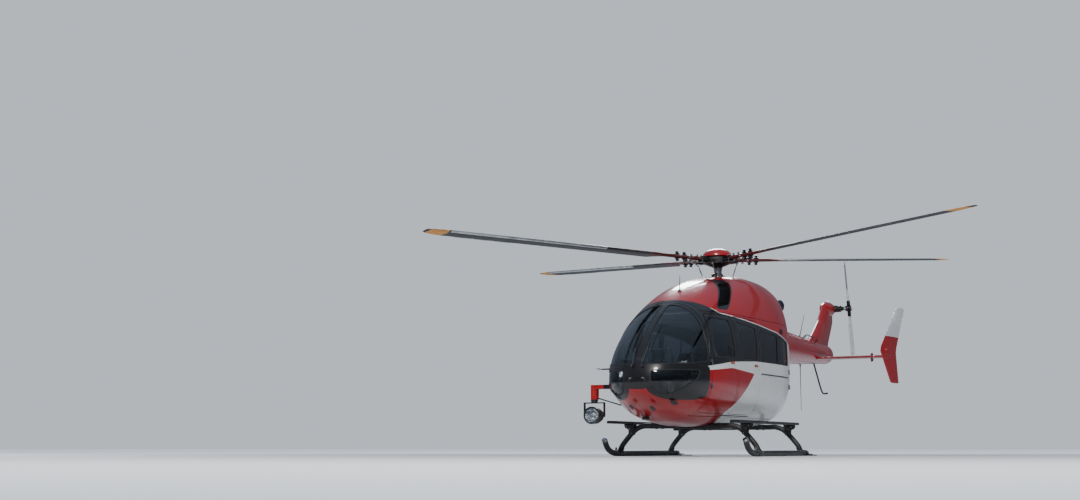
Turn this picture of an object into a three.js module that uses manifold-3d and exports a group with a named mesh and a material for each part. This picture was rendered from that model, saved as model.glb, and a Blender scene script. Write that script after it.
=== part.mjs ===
// A light twin-engine rescue helicopter on skids, with a four-blade main rotor, a two-blade tail rotor,
// hinged cockpit doors, sliding cabin doors, clamshell rear doors and a searchlight on a pan and tilt yoke.
// Millimetres, +X forward, +Y to port, +Z up. While it is built, X 0 is at the rotor hub and Z 0 on the
// ground; the finished group is moved so that its origin is below the middle of its bounding box.
import * as THREE from "three";
import { mergeVertices } from "three/addons/utils/BufferGeometryUtils.js";
import Module from "manifold-3d";

const wasm = await Module();
wasm.setup();

// Driving dimensions
const ROTOR_RADIUS = 5500;
const HUB_HEIGHT = 3240;
const MAST_TILT = THREE.MathUtils.degToRad(2);
const ROTOR_TURN = THREE.MathUtils.degToRad(-30); // where the first blade points, from the nose towards port
const BLADE_CHORD = 325;
const TAIL_ROTOR_RADIUS = 980;
const TAIL_HUB = new THREE.Vector3(-6550, 410, 2980);
const TRACK = 2400; // between the skid tubes' outer sides
const SKID_RADIUS = 45;
const STABILISER_SPAN = 3120; // over the end plates, at their middles
const NOSE_TIP = 3420;
const NOSE_LEVEL = 1090;
const BODY_HALF_WIDTH = 870;
const BELLY = 450;
const ROOF = 2980;
const WALL = 40; // a door or body panel, from skin to lining
const FLOOR_TOP = 640;
const DECK_TOP = 2185; // the deck that the engines and gearbox stand on
const COWL_EDGE = 2190;
const BOOM_ROOT = -1900;
const SEAM = 0.3; // between fixed pieces that touch
const DOOR_GAP = 8;
const SWING_GAP = 13; // at the edge of a hinged door that swings out of its frame

const GLASS_DEPTH = 8; // the glass lies this far inside the skin
const GLASS = 10;

const paint = (color, roughness = 0.3, metalness = 0) =>
  new THREE.MeshStandardMaterial({ color, roughness, metalness });
const RED = paint(0x9b1216);
const WHITE = paint(0xd9d8d2);
const BLACK = paint(0x15171a, 0.35);
const TINTED = new THREE.MeshStandardMaterial({
  color: 0x24384f,
  roughness: 0.05,
  transparent: true,
  opacity: 0.5,
});
const BLADE_GREY = paint(0x202226, 0.6);
const STEEL = paint(0x4a4c50, 0.4, 0.9);
const DARK_METAL = paint(0x26282b, 0.5, 0.7);
const GREY = paint(0x6a6d70, 0.7);
const SEAT_CLOTH = paint(0x30343a, 0.9);

const helicopter = new THREE.Group();
helicopter.name = "helicopter";

// Solids

// A closed three.js geometry as a solid that can be joined and cut.
function solid(geometry) {
  const bare = geometry.index ? geometry.toNonIndexed() : geometry.clone();
  const position = new THREE.BufferGeometry().setAttribute("position", bare.getAttribute("position"));
  const merged = mergeVertices(position, 1e-3);
  const mesh = new wasm.Mesh({
    numProp: 3,
    vertProperties: merged.attributes.position.array,
    triVerts: new Uint32Array(merged.index.array),
  });
  return new wasm.Manifold(mesh);
}

function geometryOf(piece) {
  const mesh = piece.getMesh();
  const geometry = new THREE.BufferGeometry();
  geometry.setAttribute("position", new THREE.BufferAttribute(new Float32Array(mesh.vertProperties), 3));
  geometry.setIndex(new THREE.BufferAttribute(new Uint32Array(mesh.triVerts), 1));
  geometry.computeVertexNormals();
  return geometry;
}

const largest = (piece) => piece.decompose().sort((a, b) => b.volume() - a.volume())[0];

const join = (...pieces) => pieces.map((p) => (p.isBufferGeometry ? solid(p) : p)).reduce((a, b) => a.add(b));

// The same solid on the other side of the helicopter.
function toStarboard(piece) {
  const geometry = geometryOf(piece).scale(1, -1, 1);
  const index = geometry.index.array;
  for (let i = 0; i < index.length; i += 3) [index[i + 1], index[i + 2]] = [index[i + 2], index[i + 1]];
  return solid(geometry);
}

function place(name, piece, material, parent = helicopter) {
  const mesh = new THREE.Mesh(piece.isBufferGeometry ? piece : geometryOf(piece), material);
  mesh.name = name;
  parent.add(mesh);
  return mesh;
}

// A solid and its mirror image, named with _left for port and _right for starboard.
function placePair(name, piece, material) {
  place(`${name}_left`, piece, material);
  place(`${name}_right`, toStarboard(piece), material);
}

// Shapes

const box = (x0, x1, y0, y1, z0, z1) =>
  new THREE.BoxGeometry(x1 - x0, y1 - y0, z1 - z0).translate((x0 + x1) / 2, (y0 + y1) / 2, (z0 + z1) / 2);

// A straight round bar from one point to another.
function bar(from, to, radius, sides = 10, endRadius = radius) {
  const a = new THREE.Vector3(...from);
  const b = new THREE.Vector3(...to);
  const along = b.clone().sub(a);
  const upright = new THREE.Vector3(0, 1, 0);
  const turn = new THREE.Quaternion().setFromUnitVectors(upright, along.clone().normalize());
  const middle = a.clone().add(b).multiplyScalar(0.5);
  return new THREE.CylinderGeometry(endRadius, radius, along.length(), sides)
    .applyQuaternion(turn)
    .translate(middle.x, middle.y, middle.z);
}

// A flat outline whose corners are rounded, as a three.js shape.
function roundedShape(points, radius) {
  const shape = new THREE.Shape();
  points.forEach(([x, y], i) => {
    const here = new THREE.Vector2(x, y);
    const before = new THREE.Vector2(...points.at(i - 1));
    const after = new THREE.Vector2(...points[(i + 1) % points.length]);
    const reach = (other) => Math.min(radius, here.distanceTo(other) / 2.2);
    const start = here.clone().add(before.sub(here).setLength(reach(before)));
    const end = here.clone().add(after.sub(here).setLength(reach(after)));
    if (i === 0) shape.moveTo(start.x, start.y);
    else shape.lineTo(start.x, start.y);
    shape.quadraticCurveTo(here.x, here.y, end.x, end.y);
  });
  shape.closePath();
  return shape;
}

const outline = (points, radius) =>
  radius ? roundedShape(points, radius) : new THREE.Shape(points.map((p) => new THREE.Vector2(...p)));

function extruded(points, depth, radius, segments = 3) {
  const settings = { depth, bevelEnabled: false, curveSegments: segments };
  return new THREE.ExtrudeGeometry(outline(points, radius), settings);
}

// An outline of x and z, pushed from one y to another.
const sidePrism = (points, y0, y1, radius = 0) =>
  extruded(points, y1 - y0, radius)
    .rotateX(Math.PI / 2)
    .translate(0, y1, 0);

// An outline of y and z, pushed from one x to another.
function frontPrism(points, x0, x1, radius = 0) {
  const turn = new THREE.Matrix4().makeBasis(
    new THREE.Vector3(0, 1, 0),
    new THREE.Vector3(0, 0, 1),
    new THREE.Vector3(1, 0, 0),
  );
  return extruded(points, x1 - x0, radius).applyMatrix4(turn).translate(x0, 0, 0);
}

// An outline grown outwards (or inwards, where by is negative) from its middle, by a length at each side.
function grown(points, by) {
  const xs = points.map((p) => p[0]);
  const ys = points.map((p) => p[1]);
  const middle = [(Math.max(...xs) + Math.min(...xs)) / 2, (Math.max(...ys) + Math.min(...ys)) / 2];
  const half = [(Math.max(...xs) - Math.min(...xs)) / 2, (Math.max(...ys) - Math.min(...ys)) / 2];
  return points.map((p) => p.map((v, k) => middle[k] + (v - middle[k]) * (1 + by / half[k])));
}

// A closed skin through rings of points, each ring in order round the same way, with a fan over each end.
function loft(rings) {
  const count = rings[0].length;
  const middleOf = (ring) => ring.reduce((sum, p) => sum.add(p), new THREE.Vector3()).divideScalar(count);
  const points = [...rings.flat(), middleOf(rings[0]), middleOf(rings.at(-1))];
  const index = [];
  rings.slice(1).forEach((_, r) => {
    for (let k = 0; k < count; k++) {
      const next = (k + 1) % count;
      const [a, b] = [r * count + k, r * count + next];
      index.push(a, a + count, b, b, a + count, b + count);
    }
  });
  const [first, last, offset] = [points.length - 2, points.length - 1, (rings.length - 1) * count];
  for (let k = 0; k < count; k++) {
    const next = (k + 1) % count;
    index.push(first, k, next, last, offset + next, offset + k);
  }
  const geometry = new THREE.BufferGeometry().setFromPoints(points).setIndex(index);
  return solid(geometry).volume() > 0 ? geometry : flipped(geometry);
}

function flipped(geometry) {
  const index = geometry.index.array;
  for (let i = 0; i < index.length; i += 3) [index[i + 1], index[i + 2]] = [index[i + 2], index[i + 1]];
  return geometry;
}

// A tube of even radius along a smooth curve through points. Its section has a flat side downwards.
function tube(points, radius, steps, sides = 10, tension = 0.5) {
  const knots = points.map((p) => new THREE.Vector3(...p));
  const path = new THREE.CatmullRomCurve3(knots, false, "catmullrom", tension);
  const corners = Array.from({ length: sides }, (_, k) => {
    const angle = ((k + 0.5) / sides) * 2 * Math.PI;
    const r = radius / Math.cos(Math.PI / sides);
    return new THREE.Vector2(r * Math.cos(angle), r * Math.sin(angle));
  });
  return new THREE.ExtrudeGeometry(new THREE.Shape(corners), { steps, extrudePath: path });
}

// The body's outer surface. Each section is a superellipse, wider powers being squarer.

const NOSE_CURVE = {
  side: { from: 1300, power: 2.6 },
  under: { from: 1400, power: 2.2 },
  over: { from: -300, power: 1.7 },
};
const WIDEST_LEVEL = 1300;

// The stations behind the rotor, from the engine bay to the end of the tail boom.
const STATIONS = [
  // x, halfWidth, low, widest, top, lowPower, topPower
  [0, 870, 450, 1300, 2964, 2.7, 3.0],
  [-600, 870, 452, 1310, 2955, 2.7, 3.3],
  [-1100, 835, 505, 1380, 2890, 2.6, 3.4],
  [-1400, 760, 730, 1520, 2770, 2.5, 3.2],
  [-1650, 625, 1120, 1720, 2600, 2.4, 2.8],
  [-1850, 480, 1490, 1900, 2450, 2.2, 2.3],
  [-2100, 360, 1612, 1975, 2365, 2.0, 2.0],
  [-3600, 285, 1690, 1990, 2290, 2.0, 2.0],
  [-5900, 185, 1812, 2008, 2208, 2.0, 2.0],
];

const TOP = 4; // the column of the highest level
const CROWN_SLOPE = -0.088; // of the roof's line at the rotor, so that both halves of it meet smoothly

const roundFall = (share, power) => (share <= 0 ? 1 : Math.max(0, 1 - share ** power) ** (1 / power));

// A value between stations, on a smooth curve that never overshoots them.
function stationValue(x, column) {
  const last = STATIONS.length - 1;
  const k = Math.min(last - 1, Math.max(0, STATIONS.findIndex((s) => s[0] < x) - 1));
  const row = x <= STATIONS[last][0] ? last - 1 : k;
  const step = (i, c) => STATIONS[i + 1][c] - STATIONS[i][c];
  const slope = (i) => step(i, column) / step(i, 0);
  const tangent = (i) => {
    if (i === 0) return column === TOP ? CROWN_SLOPE : 0;
    if (i === last) return slope(last - 1);
    const [a, b] = [slope(i - 1), slope(i)];
    return a * b <= 0 ? 0 : (2 * a * b) / (a + b);
  };
  const [from, to] = [STATIONS[row], STATIONS[row + 1]];
  const run = to[0] - from[0];
  const t = Math.min(1, (x - from[0]) / run);
  const value = (2 * t ** 3 - 3 * t ** 2 + 1) * from[column] + (3 * t ** 2 - 2 * t ** 3) * to[column];
  return value + (t ** 3 - 2 * t ** 2 + t) * run * tangent(row) + (t ** 3 - t ** 2) * run * tangent(row + 1);
}

function sectionAt(x) {
  if (x <= 0) {
    const values = [1, 2, 3, 4, 5, 6].map((column) => stationValue(x, column));
    const [halfWidth, low, widest, top, lowPower, topPower] = values;
    return { halfWidth, low, widest, top, lowPower, topPower };
  }
  const share = ({ from }) => (x - from) / (NOSE_TIP - from);
  const { side, under, over } = NOSE_CURVE;
  const ahead = x / NOSE_TIP;
  return {
    halfWidth: BODY_HALF_WIDTH * roundFall(share(side), side.power),
    low: NOSE_LEVEL - (NOSE_LEVEL - BELLY) * roundFall(share(under), under.power),
    widest: NOSE_LEVEL + (WIDEST_LEVEL - NOSE_LEVEL) * (1 - ahead ** 2),
    top: NOSE_LEVEL + (ROOF - NOSE_LEVEL) * roundFall(share(over), over.power),
    lowPower: 2.7 - 0.6 * ahead,
    topPower: 3.0 - 1.0 * ahead,
  };
}

function bodyRing(x, count) {
  const s = sectionAt(x);
  return Array.from({ length: count }, (_, k) => {
    const angle = (k / count) * 2 * Math.PI;
    const upper = Math.sin(angle) >= 0;
    const power = upper ? s.topPower : s.lowPower;
    const height = upper ? s.top - s.widest : s.widest - s.low;
    const reach = (v) => Math.sign(v) * Math.abs(v) ** (2 / power);
    const [across, up] = [reach(Math.cos(angle)), reach(Math.sin(angle))];
    return new THREE.Vector3(x, s.halfWidth * across, s.widest + height * up);
  });
}

const ROUND = 28; // corners of a ring of the outer skin
const ROUND_INSIDE = 20; // and of the lining
const POD_STATIONS = [
  3419, 3400, 3340, 3230, 3050, 2800, 2480, 2080, 1600, 900, 0, -600, -1000, -1300, -1550, -1800, -2050,
];

// The body's skin, moved inwards along its own normals by a depth.
function podSkin(depth) {
  const rings = POD_STATIONS.map((x) => bodyRing(x, depth < WALL ? ROUND : ROUND_INSIDE));
  const geometry = loft(rings);
  geometry.computeVertexNormals();
  const { position, normal } = geometry.attributes;
  for (let i = 0; i < position.count; i++) {
    const p = new THREE.Vector3().fromBufferAttribute(position, i);
    p.addScaledVector(new THREE.Vector3().fromBufferAttribute(normal, i), -depth);
    position.setXYZ(i, p.x, p.y, p.z);
  }
  return solid(geometry);
}

const BEYOND = 4000; // further than the body reaches, for prisms that cut right through
const skin = podSkin(0);
const inside = podSkin(WALL);
const shell = skin.subtract(inside).intersect(solid(box(BOOM_ROOT, BEYOND, -BEYOND, BEYOND, 0, BEYOND)));
const pane = podSkin(GLASS_DEPTH).subtract(podSkin(GLASS_DEPTH + GLASS));

// Outlines of the port side, in x and z unless they say otherwise
const WINDSCREEN = [[2520, 1400], [3000, 1345], [3700, 1325], [3700, 2450], [2225, 2450]];
const WINDSCREEN_POST = 45; // half the width of the centre post
// Of y and z, seen from the front
const CHIN_WINDOW = [[200, 1245], [730, 1262], [715, 1130], [590, 985], [430, 885], [300, 890], [215, 985]];
const NOSE_EDGE = [[2472, 0], [2472, 1460], [2180, 2450]];
const COCKPIT_DOOR = [[2425, 650], [1520, 650], [1520, 2150], [2165, 2150], [2425, 1420]];
const COCKPIT_WINDOW = [[2345, 1475], [1585, 1490], [1585, 2085], [2130, 2105]];
const SLIDING_DOOR = [[1430, 650], [480, 650], [480, 2140], [1430, 2150]];
const SLIDING_WINDOW = [[1360, 1490], [560, 1500], [560, 2030], [1360, 2080]];
const CABIN_WINDOW = [[400, 1505], [-1010, 1505], [-1010, 1890], [-480, 1975], [400, 2020]];
const CLAMSHELL = { front: -1110, top: 1520, split: 5, rear: -1885 };
const CLAMSHELL_WINDOW = [[150, 1060], [520, 1060], [520, 1440], [150, 1440]]; // y and z
const INTAKE = [[1700, 2285], [1330, 2350], [700, 2775], [1030, 2725]];
const INTAKE_SLATS = { from: 600, to: 1780, levels: [2360, 2440, 2520, 2600, 2680], thickness: 9 };

// A prism through the port side, with rounded corners, from a y that is well inside the cabin.
const throughSide = (points, y0 = 200, radius = 70) => solid(sidePrism(points, y0, 1200, radius));

// A strip of the skin between two depths, inside a box. A depth below zero stands out of the skin.
const strip = (from, to, ...sides) => podSkin(from).subtract(podSkin(to)).intersect(solid(box(...sides)));

// How high the roof lies at a distance from the middle.
function skinZ(x, y) {
  const s = sectionAt(x);
  return s.widest + (s.top - s.widest) * roundFall(Math.abs(y) / s.halfWidth, s.topPower);
}

// Two wipers at rest beside the centre post, each an arm on a pivot with its blade lying outside it.
const WIPER = { armY: 85, bladeY: 150, standOff: 17, arm: 7, blade: 6 };

function wipers() {
  const line = (y, stations, lift) => stations.map((x) => [x + lift * 0.6, y, skinZ(x, y) + lift]);
  const { armY, bladeY, standOff } = WIPER;
  const top = [3390, armY - 5, 1304];
  const arm = tube([top, ...line(armY, [3340, 3200, 3080, 2960], standOff)], WIPER.arm, 10, 6);
  const blade = tube(line(bladeY, [3200, 3060, 2920, 2780], standOff), WIPER.blade, 9, 6);
  const middle = (y) => line(y, [2990], standOff)[0];
  const pivot = bar([3300, armY - 5, 1285], [3398, armY - 5, 1304], 16, 8, 13);
  const link = bar(middle(armY), middle(bladeY), 6, 6);
  const port = join(arm, blade, pivot, link);
  return [port, toStarboard(port)];
}

// What stands out of the nose: two landing lamps between the chin windows, one below, and the pitot probe.
function noseFittings() {
  const lamp = (y) => bar([3330, y, 1100], [3412, y, 1100], 46, 14, 40);
  const below = bar([2620, -200, 588], [2620, -200, 545], 66, 14, 50);
  const stem = bar([2900, -640, 1300], [2900, -790, 1300], 11, 8);
  const probe = bar([2885, -790, 1300], [3070, -790, 1300], 10, 8, 7);
  return [...wipers(), lamp(95), lamp(-95), below, stem, probe];
}

const SIDE_FITTINGS = {
  rail: { from: -1035, to: 440, level: 1290, height: 24, standOff: 8 },
  post: { from: -478, to: -432 },
};

// The sliding door's rail and the post across the long window.
function sideFittings() {
  const { rail, post } = SIDE_FITTINGS;
  return [
    strip(-rail.standOff, 20, rail.from, rail.to, 200, 1200, rail.level, rail.level + rail.height),
    strip(0, GLASS_DEPTH - SEAM, post.from, post.to, 200, 1200, 1480, 2030),
  ];
}

const HANDLE = { length: 130, from: 1404, to: 1432, standOff: 15 };

// A door's handle, about its middle station.
function handle(x) {
  const half = HANDLE.length / 2;
  return strip(-HANDLE.standOff, 20, x - half, x + half, 200, 1200, HANDLE.from, HANDLE.to);
}

const BELLY_TOP = 650; // where the belly shell ends, at the foot of the doors

// The body is split at the nose frame, along the cowling's edge and at the foot of the doors.
function bodyShells() {
  const noseRegion = (shift) => {
    const edge = NOSE_EDGE.map(([x, z]) => [x + shift, z]);
    return solid(sidePrism([...edge, [BEYOND, 2450], [BEYOND, 0]], -BEYOND, BEYOND));
  };
  const chin = solid(frontPrism(CHIN_WINDOW, 2600, BEYOND, 50));
  const screen = throughSide(WINDSCREEN, WINDSCREEN_POST, 60);
  const holes = [chin, toStarboard(chin), screen, toStarboard(screen)];
  const nose = holes.reduce((a, b) => a.subtract(b), shell.intersect(noseRegion(SEAM)));
  place("nose_shell", join(nose, ...noseFittings()), RED);

  const middle = shell.subtract(noseRegion(0));
  const clamshellRegion = (gap) =>
    solid(box(-BEYOND, CLAMSHELL.front + gap, -BEYOND, BEYOND, 0, CLAMSHELL.top + gap));
  const cowlRegion = (gap) => solid(box(-BEYOND, 2150 + gap, -BEYOND, BEYOND, COWL_EDGE - gap, BEYOND));
  const openings = [
    solid(sidePrism(grown(COCKPIT_DOOR, SWING_GAP), 200, 1200)),
    solid(sidePrism(grown(SLIDING_DOOR, SEAM), 200, 1200)),
    throughSide(CABIN_WINDOW),
  ];
  const fuselage = openings
    .flatMap((opening) => [opening, toStarboard(opening)])
    .reduce((a, b) => a.subtract(b), middle.subtract(cowlRegion(SEAM)).subtract(clamshellRegion(DOOR_GAP)));
  const belly = fuselage.intersect(solid(box(-BEYOND, BEYOND, -BEYOND, BEYOND, 0, BELLY_TOP)));
  place("belly_shell", join(belly, bar([1300, -257, 480], [1300, -257, 400], 48, 12, 36)), WHITE);

  const port = solid(box(-BEYOND, BEYOND, SEAM / 2, BEYOND, BELLY_TOP + SEAM, BEYOND));
  const hinges = [COCKPIT_HINGE, CLAMSHELL_HINGE].flatMap((hinge) => knuckles(hinge, 1));
  const fixed = [...hinges, ...sideFittings()];
  place("side_frame_left", join(fuselage.intersect(port), ...fixed), WHITE);
  place("side_frame_right", join(fuselage.intersect(toStarboard(port)), ...fixed.map(toStarboard)), WHITE);
  return middle.intersect(cowlRegion(0));
}

// Hinges stand on the skin. Each has a knuckle on the body and one on the door, on one upright axis.
const HINGE = { radius: 9, knuckle: 40, leaf: 36, standOff: 10, clear: 6 };
const COCKPIT_HINGE = { x: 2431, levels: [1040, 1390] };
const CLAMSHELL_HINGE = { x: CLAMSHELL.front + DOOR_GAP / 2, levels: [1150, 1400] };

// How far out the skin lies at a level.
function skinY(x, z) {
  const s = sectionAt(x);
  const [height, power] = z > s.widest ? [s.top - s.widest, s.topPower] : [s.widest - s.low, s.lowPower];
  return s.halfWidth * roundFall(Math.abs(z - s.widest) / height, power);
}

const hingeY = ({ x, levels }) => Math.max(...levels.map((z) => skinY(x, z))) + HINGE.standOff;

// Knuckles with their leaves. The way is -1 for the leaves behind the axis and 1 for those ahead of it.
function knuckles(hinge, way) {
  const { x, levels } = hinge;
  const y = hingeY(hinge);
  return levels.map((level) => {
    const foot = way > 0 ? level + SEAM : level - HINGE.knuckle;
    const [rear, fore] = [x, x + way * HINGE.leaf].sort((a, b) => a - b);
    const leaf = box(rear, fore, skinY(x, level) - 30, y + 4, foot, foot + HINGE.knuckle);
    const barrel = bar([x, y, foot], [x, y, foot + HINGE.knuckle], HINGE.radius, 8);
    const [near, far] = [x - way * HINGE.leaf, x + way * HINGE.clear].sort((a, b) => a - b);
    const hole = box(near, far, 0, y - HINGE.radius, foot - 1, foot + HINGE.knuckle + 1);
    return join(leaf, barrel).subtract(solid(hole));
  });
}

// Thick curved doors, each cut from the body's wall, with the window cut out and its pane fitted inside.
function doorsAndGlass() {
  const panes = (name, prismOf) => {
    const glass = pane.intersect(prismOf(-SEAM));
    placePair(name, glass, TINTED);
  };
  panes("windscreen", (by) => throughSide(grown(WINDSCREEN, by * 2), WINDSCREEN_POST - by, 60));
  panes("chin_window", (by) => solid(frontPrism(grown(CHIN_WINDOW, by), 2600, BEYOND, 50)));
  panes("cabin_window", (by) => throughSide(grown(CABIN_WINDOW, by)));

  const cockpitDoor = shell
    .intersect(solid(sidePrism(COCKPIT_DOOR, 200, 1200)))
    .subtract(throughSide(COCKPIT_WINDOW));
  placePair("cockpit_door", join(cockpitDoor, handle(1720), ...knuckles(COCKPIT_HINGE, -1)), RED);
  panes("cockpit_door_glass", (by) => throughSide(grown(COCKPIT_WINDOW, by)));

  const slidingDoor = shell
    .intersect(solid(sidePrism(SLIDING_DOOR, 200, 1200)))
    .subtract(throughSide(SLIDING_WINDOW));
  placePair("sliding_door", join(slidingDoor, handle(650)), WHITE);
  panes("sliding_door_glass", (by) => throughSide(grown(SLIDING_WINDOW, by)));

  const { front, top, split, rear } = CLAMSHELL;
  const rearWindow = (by) => solid(frontPrism(grown(CLAMSHELL_WINDOW, by), -BEYOND, -1150, 70));
  const clamshell = shell
    .intersect(solid(box(rear, front, split, BEYOND, 0, top)))
    .subtract(rearWindow(0));
  placePair("clamshell_door", join(clamshell, ...knuckles(CLAMSHELL_HINGE, -1)), WHITE);
  panes("clamshell_glass", rearWindow);
}

// The mast, tilted forward, is the axis of the whole rotor and of the hole in the cowling.
const hub = new THREE.Group();
hub.position.set(0, 0, HUB_HEIGHT);
hub.rotation.y = MAST_TILT;
helicopter.add(hub);
hub.updateMatrixWorld(true);
const onMast = (geometry) => geometry.applyMatrix4(hub.matrixWorld);

const GEARBOX_TOP = 2600;
const MAST_FOOT = -700; // from the hub, in a socket on top of the gearbox
const MAST_OPENING = 300;
const ENGINE_REAR = -1160;
const EXHAUST = { radius: 112, wall: 9, from: [-1200, 335, 2500], to: [-1780, 470, 2610] };

// The engine deck, the gearbox with the fixed half of the swashplate on three rods, the cowling and exhausts.
function upperDeck(cowlingWall) {
  const slab = solid(box(-1840, 2130, -BEYOND, BEYOND, DECK_TOP - 30, DECK_TOP));
  const plate = slab.intersect(podSkin(WALL + SEAM));
  const engine = solid(box(ENGINE_REAR, -340, 170, 490, DECK_TOP - 10, DECK_TOP + 330));
  place("engine_deck", join(plate, engine, toStarboard(engine)), GREY);

  const intake = throughSide(INTAKE, 100, 60);
  const pipe = (radius) => solid(bar(EXHAUST.from, EXHAUST.to, radius, 16));
  const outlet = pipe(EXHAUST.radius + 12);
  const holes = [intake, toStarboard(intake), outlet, toStarboard(outlet)];
  const mastHole = solid(onMast(bar([0, 0, -900], [0, 0, 0], MAST_OPENING, 20)));
  const cowling = holes.reduce((a, b) => a.subtract(b), cowlingWall.subtract(mastHole));
  const slats = INTAKE_SLATS.levels.map((z) =>
    strip(12, 30, INTAKE_SLATS.from, INTAKE_SLATS.to, 100, 1200, z, z + INTAKE_SLATS.thickness),
  );
  const aerial = bar([1700, 0, 2530], [1685, 0, 2800], 8, 6, 4);
  place("engine_cowling", join(cowling, ...slats, ...slats.map(toStarboard), aerial), RED);

  const fixedRing = onMast(bar([0, 0, -412], [0, 0, -368], 190, 20));
  const rods = [60, 180, 300].map((degrees) => {
    const a = THREE.MathUtils.degToRad(degrees);
    const at = new THREE.Vector3(150 * Math.cos(a), 150 * Math.sin(a), -390).applyMatrix4(hub.matrixWorld);
    return bar([at.x, at.y, GEARBOX_TOP - 10], at.toArray(), 16, 8);
  });
  const casing = join(box(-290, 230, -230, 230, DECK_TOP + SEAM, GEARBOX_TOP), fixedRing, ...rods);
  const socket = solid(onMast(bar([0, 0, MAST_FOOT - SEAM], [0, 0, -200], 74, 20)));
  place("main_gearbox", casing.subtract(socket), GREY);

  const along = (share) => EXHAUST.from.map((v, i) => v + (EXHAUST.to[i] - v) * share);
  const bore = bar(along(0.05), along(1.3), EXHAUST.radius - EXHAUST.wall, 16);
  const joint = [EXHAUST.from[1], EXHAUST.from[2] - 45];
  const stub = bar([ENGINE_REAR - SEAM, ...joint], [ENGINE_REAR - 65, ...joint], EXHAUST.radius / 2, 12);
  placePair("exhaust", join(pipe(EXHAUST.radius), stub).subtract(solid(bore)), DARK_METAL);
}

// Cabin

// Forward and up, from the floor below the backrest
const SEAT_BUCKET = [
  [0, 210], [470, 225], [475, 325], [140, 300], [80, 620], [10, 1060], [-60, 1060], [-70, 620],
];
const SEAT_STAND = [[20, 0], [400, 0], [360, 260], [60, 260]];

function cabin() {
  const floor = solid(box(-1080, 2560, -BEYOND, BEYOND, FLOOR_TOP - 40, FLOOR_TOP));
  place("cabin_floor", floor.intersect(podSkin(WALL + SEAM)), GREY);

  const seat = (x, y) => {
    const prism = (profile, half) =>
      sidePrism(profile.map(([ahead, up]) => [x + ahead, FLOOR_TOP + SEAM + up]), y - half, y + half);
    return join(prism(SEAT_BUCKET, 215), prism(SEAT_STAND, 130));
  };
  place("crew_seat_left", seat(1720, 370), SEAT_CLOTH);
  place("crew_seat_right", seat(1720, -370), SEAT_CLOTH);
  place("cabin_seat", seat(520, -370), SEAT_CLOTH);

  const foot = FLOOR_TOP + SEAM;
  const bed = join(
    box(-900, 950, 120, 600, foot + 210, foot + 290),
    box(-700, -620, 200, 520, foot, foot + 215),
    box(640, 720, 200, 520, foot, foot + 215),
  );
  place("stretcher", bed, SEAT_CLOTH);

  const panel = [[2560, 1120], [2620, 1100], [2860, 1180], [2900, 1300], [2640, 1370], [2560, 1350]];
  const pedestal = [[2470, foot], [2780, foot + 80], [2800, 1200], [2600, 1200], [2560, 960]];
  const console = [[2300, foot], [2500, foot], [2580, 980], [2440, 960], [2300, 840]];
  const below = join(sidePrism(pedestal, -150, 150), sidePrism(console, -120, 120));
  place("instrument_panel", join(sidePrism(panel, -470, 470), below), BLACK);
}

// Tail

const BOOM_WALL = 14;

const BOOM_STATIONS = [BOOM_ROOT - SEAM, -2100, -2900, -3900, -4900, -5980];
const BOOM_SIDES = 16;

// The boom's round section, grown by a length.
function boomRing(station, by = 0, x = station) {
  const { halfWidth, widest } = sectionAt(station);
  const share = 1 + by / halfWidth;
  return bodyRing(station, BOOM_SIDES).map(
    (p) => new THREE.Vector3(x, p.y * share, widest + (p.z - widest) * share),
  );
}

const BOOM_END = { from: -5980, reach: 400, shares: [0.45, 0.8, 0.97] };

function boomSolid(by = 0) {
  const { from, reach, shares } = BOOM_END;
  const { halfWidth } = sectionAt(from);
  const shrunk = (share) => (halfWidth + by) * roundFall(share, 2) - halfWidth;
  const end = shares.map((share) => boomRing(from, shrunk(share), from - reach * share));
  return solid(loft([...BOOM_STATIONS.map((x) => boomRing(x, by)), ...end]));
}

function tailBoom() {
  const hollow = BOOM_STATIONS.slice(0, -1).map((x, i) => boomRing(x, -BOOM_WALL, i ? x : x + 20));
  const boom = boomSolid().subtract(solid(loft(hollow)));
  const slot = stabiliserRing(0, SEAM * 2);
  const through = solid(loft([shiftY(slot, -400), shiftY(slot, 400)]));
  const loopPath = [[-4000, 185, 2180], [-4050, 255, 2262], [-4850, 226, 2236], [-4900, 152, 2150]];
  const loopAerial = tube(loopPath, 9, 14, 6, 0.3);
  const bare = boom.subtract(through).subtract(solid(loft(finRings(SEAM))));
  place("tail_boom", join(bare, loopAerial), RED);
}

const EDGE_HALF = 1.5; // half the thickness that an aerofoil keeps at its trailing edge

// A wing section of a given chord and thickness, as pairs of how far behind the nose and how high.
function aerofoil(chord, thickness, count = 10) {
  return Array.from({ length: count }, (_, k) => {
    const angle = (k / count) * 2 * Math.PI;
    const back = (1 - Math.cos(angle)) / 2;
    const bulge = 1.48 * Math.sqrt(back) - 0.63 * back - 1.76 * back ** 2 + 0.91 * back ** 3;
    const side = k === 0 || 2 * k === count ? 0 : Math.sign(Math.sin(angle));
    return [back * chord, side * (thickness * bulge + EDGE_HALF)];
  });
}

const STABILISER = { nose: -4870, level: 1870, chord: 480, thickness: 58 };
const shiftY = (ring, y) => ring.map((p) => new THREE.Vector3(p.x, y, p.z));
const stabiliserRing = (y, grow = 0) =>
  aerofoil(STABILISER.chord + 2 * grow, STABILISER.thickness + 2 * grow).map(
    ([back, up]) => new THREE.Vector3(STABILISER.nose + grow - back, y, STABILISER.level + up),
  );

const PLATE_TURN = THREE.MathUtils.degToRad(8); // of both end plates, with their noses to starboard
const PLATE_MIDDLE = -5145;
const PLATE_SECTIONS = [
  // level, nose, chord, thickness
  [1370, -5215, 400, 22],
  [1960, -4760, 770, 40],
  [2060, -4800, 760, 40],
  [2870, -5640, 400, 22],
];

// One end plate, drawn on the port side. Inwards is 1 or -1: its nose points inwards or outwards.
const plateY = (x, inwards) => STABILISER_SPAN / 2 - 20 + inwards * (PLATE_MIDDLE - x) * Math.tan(PLATE_TURN);

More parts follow.
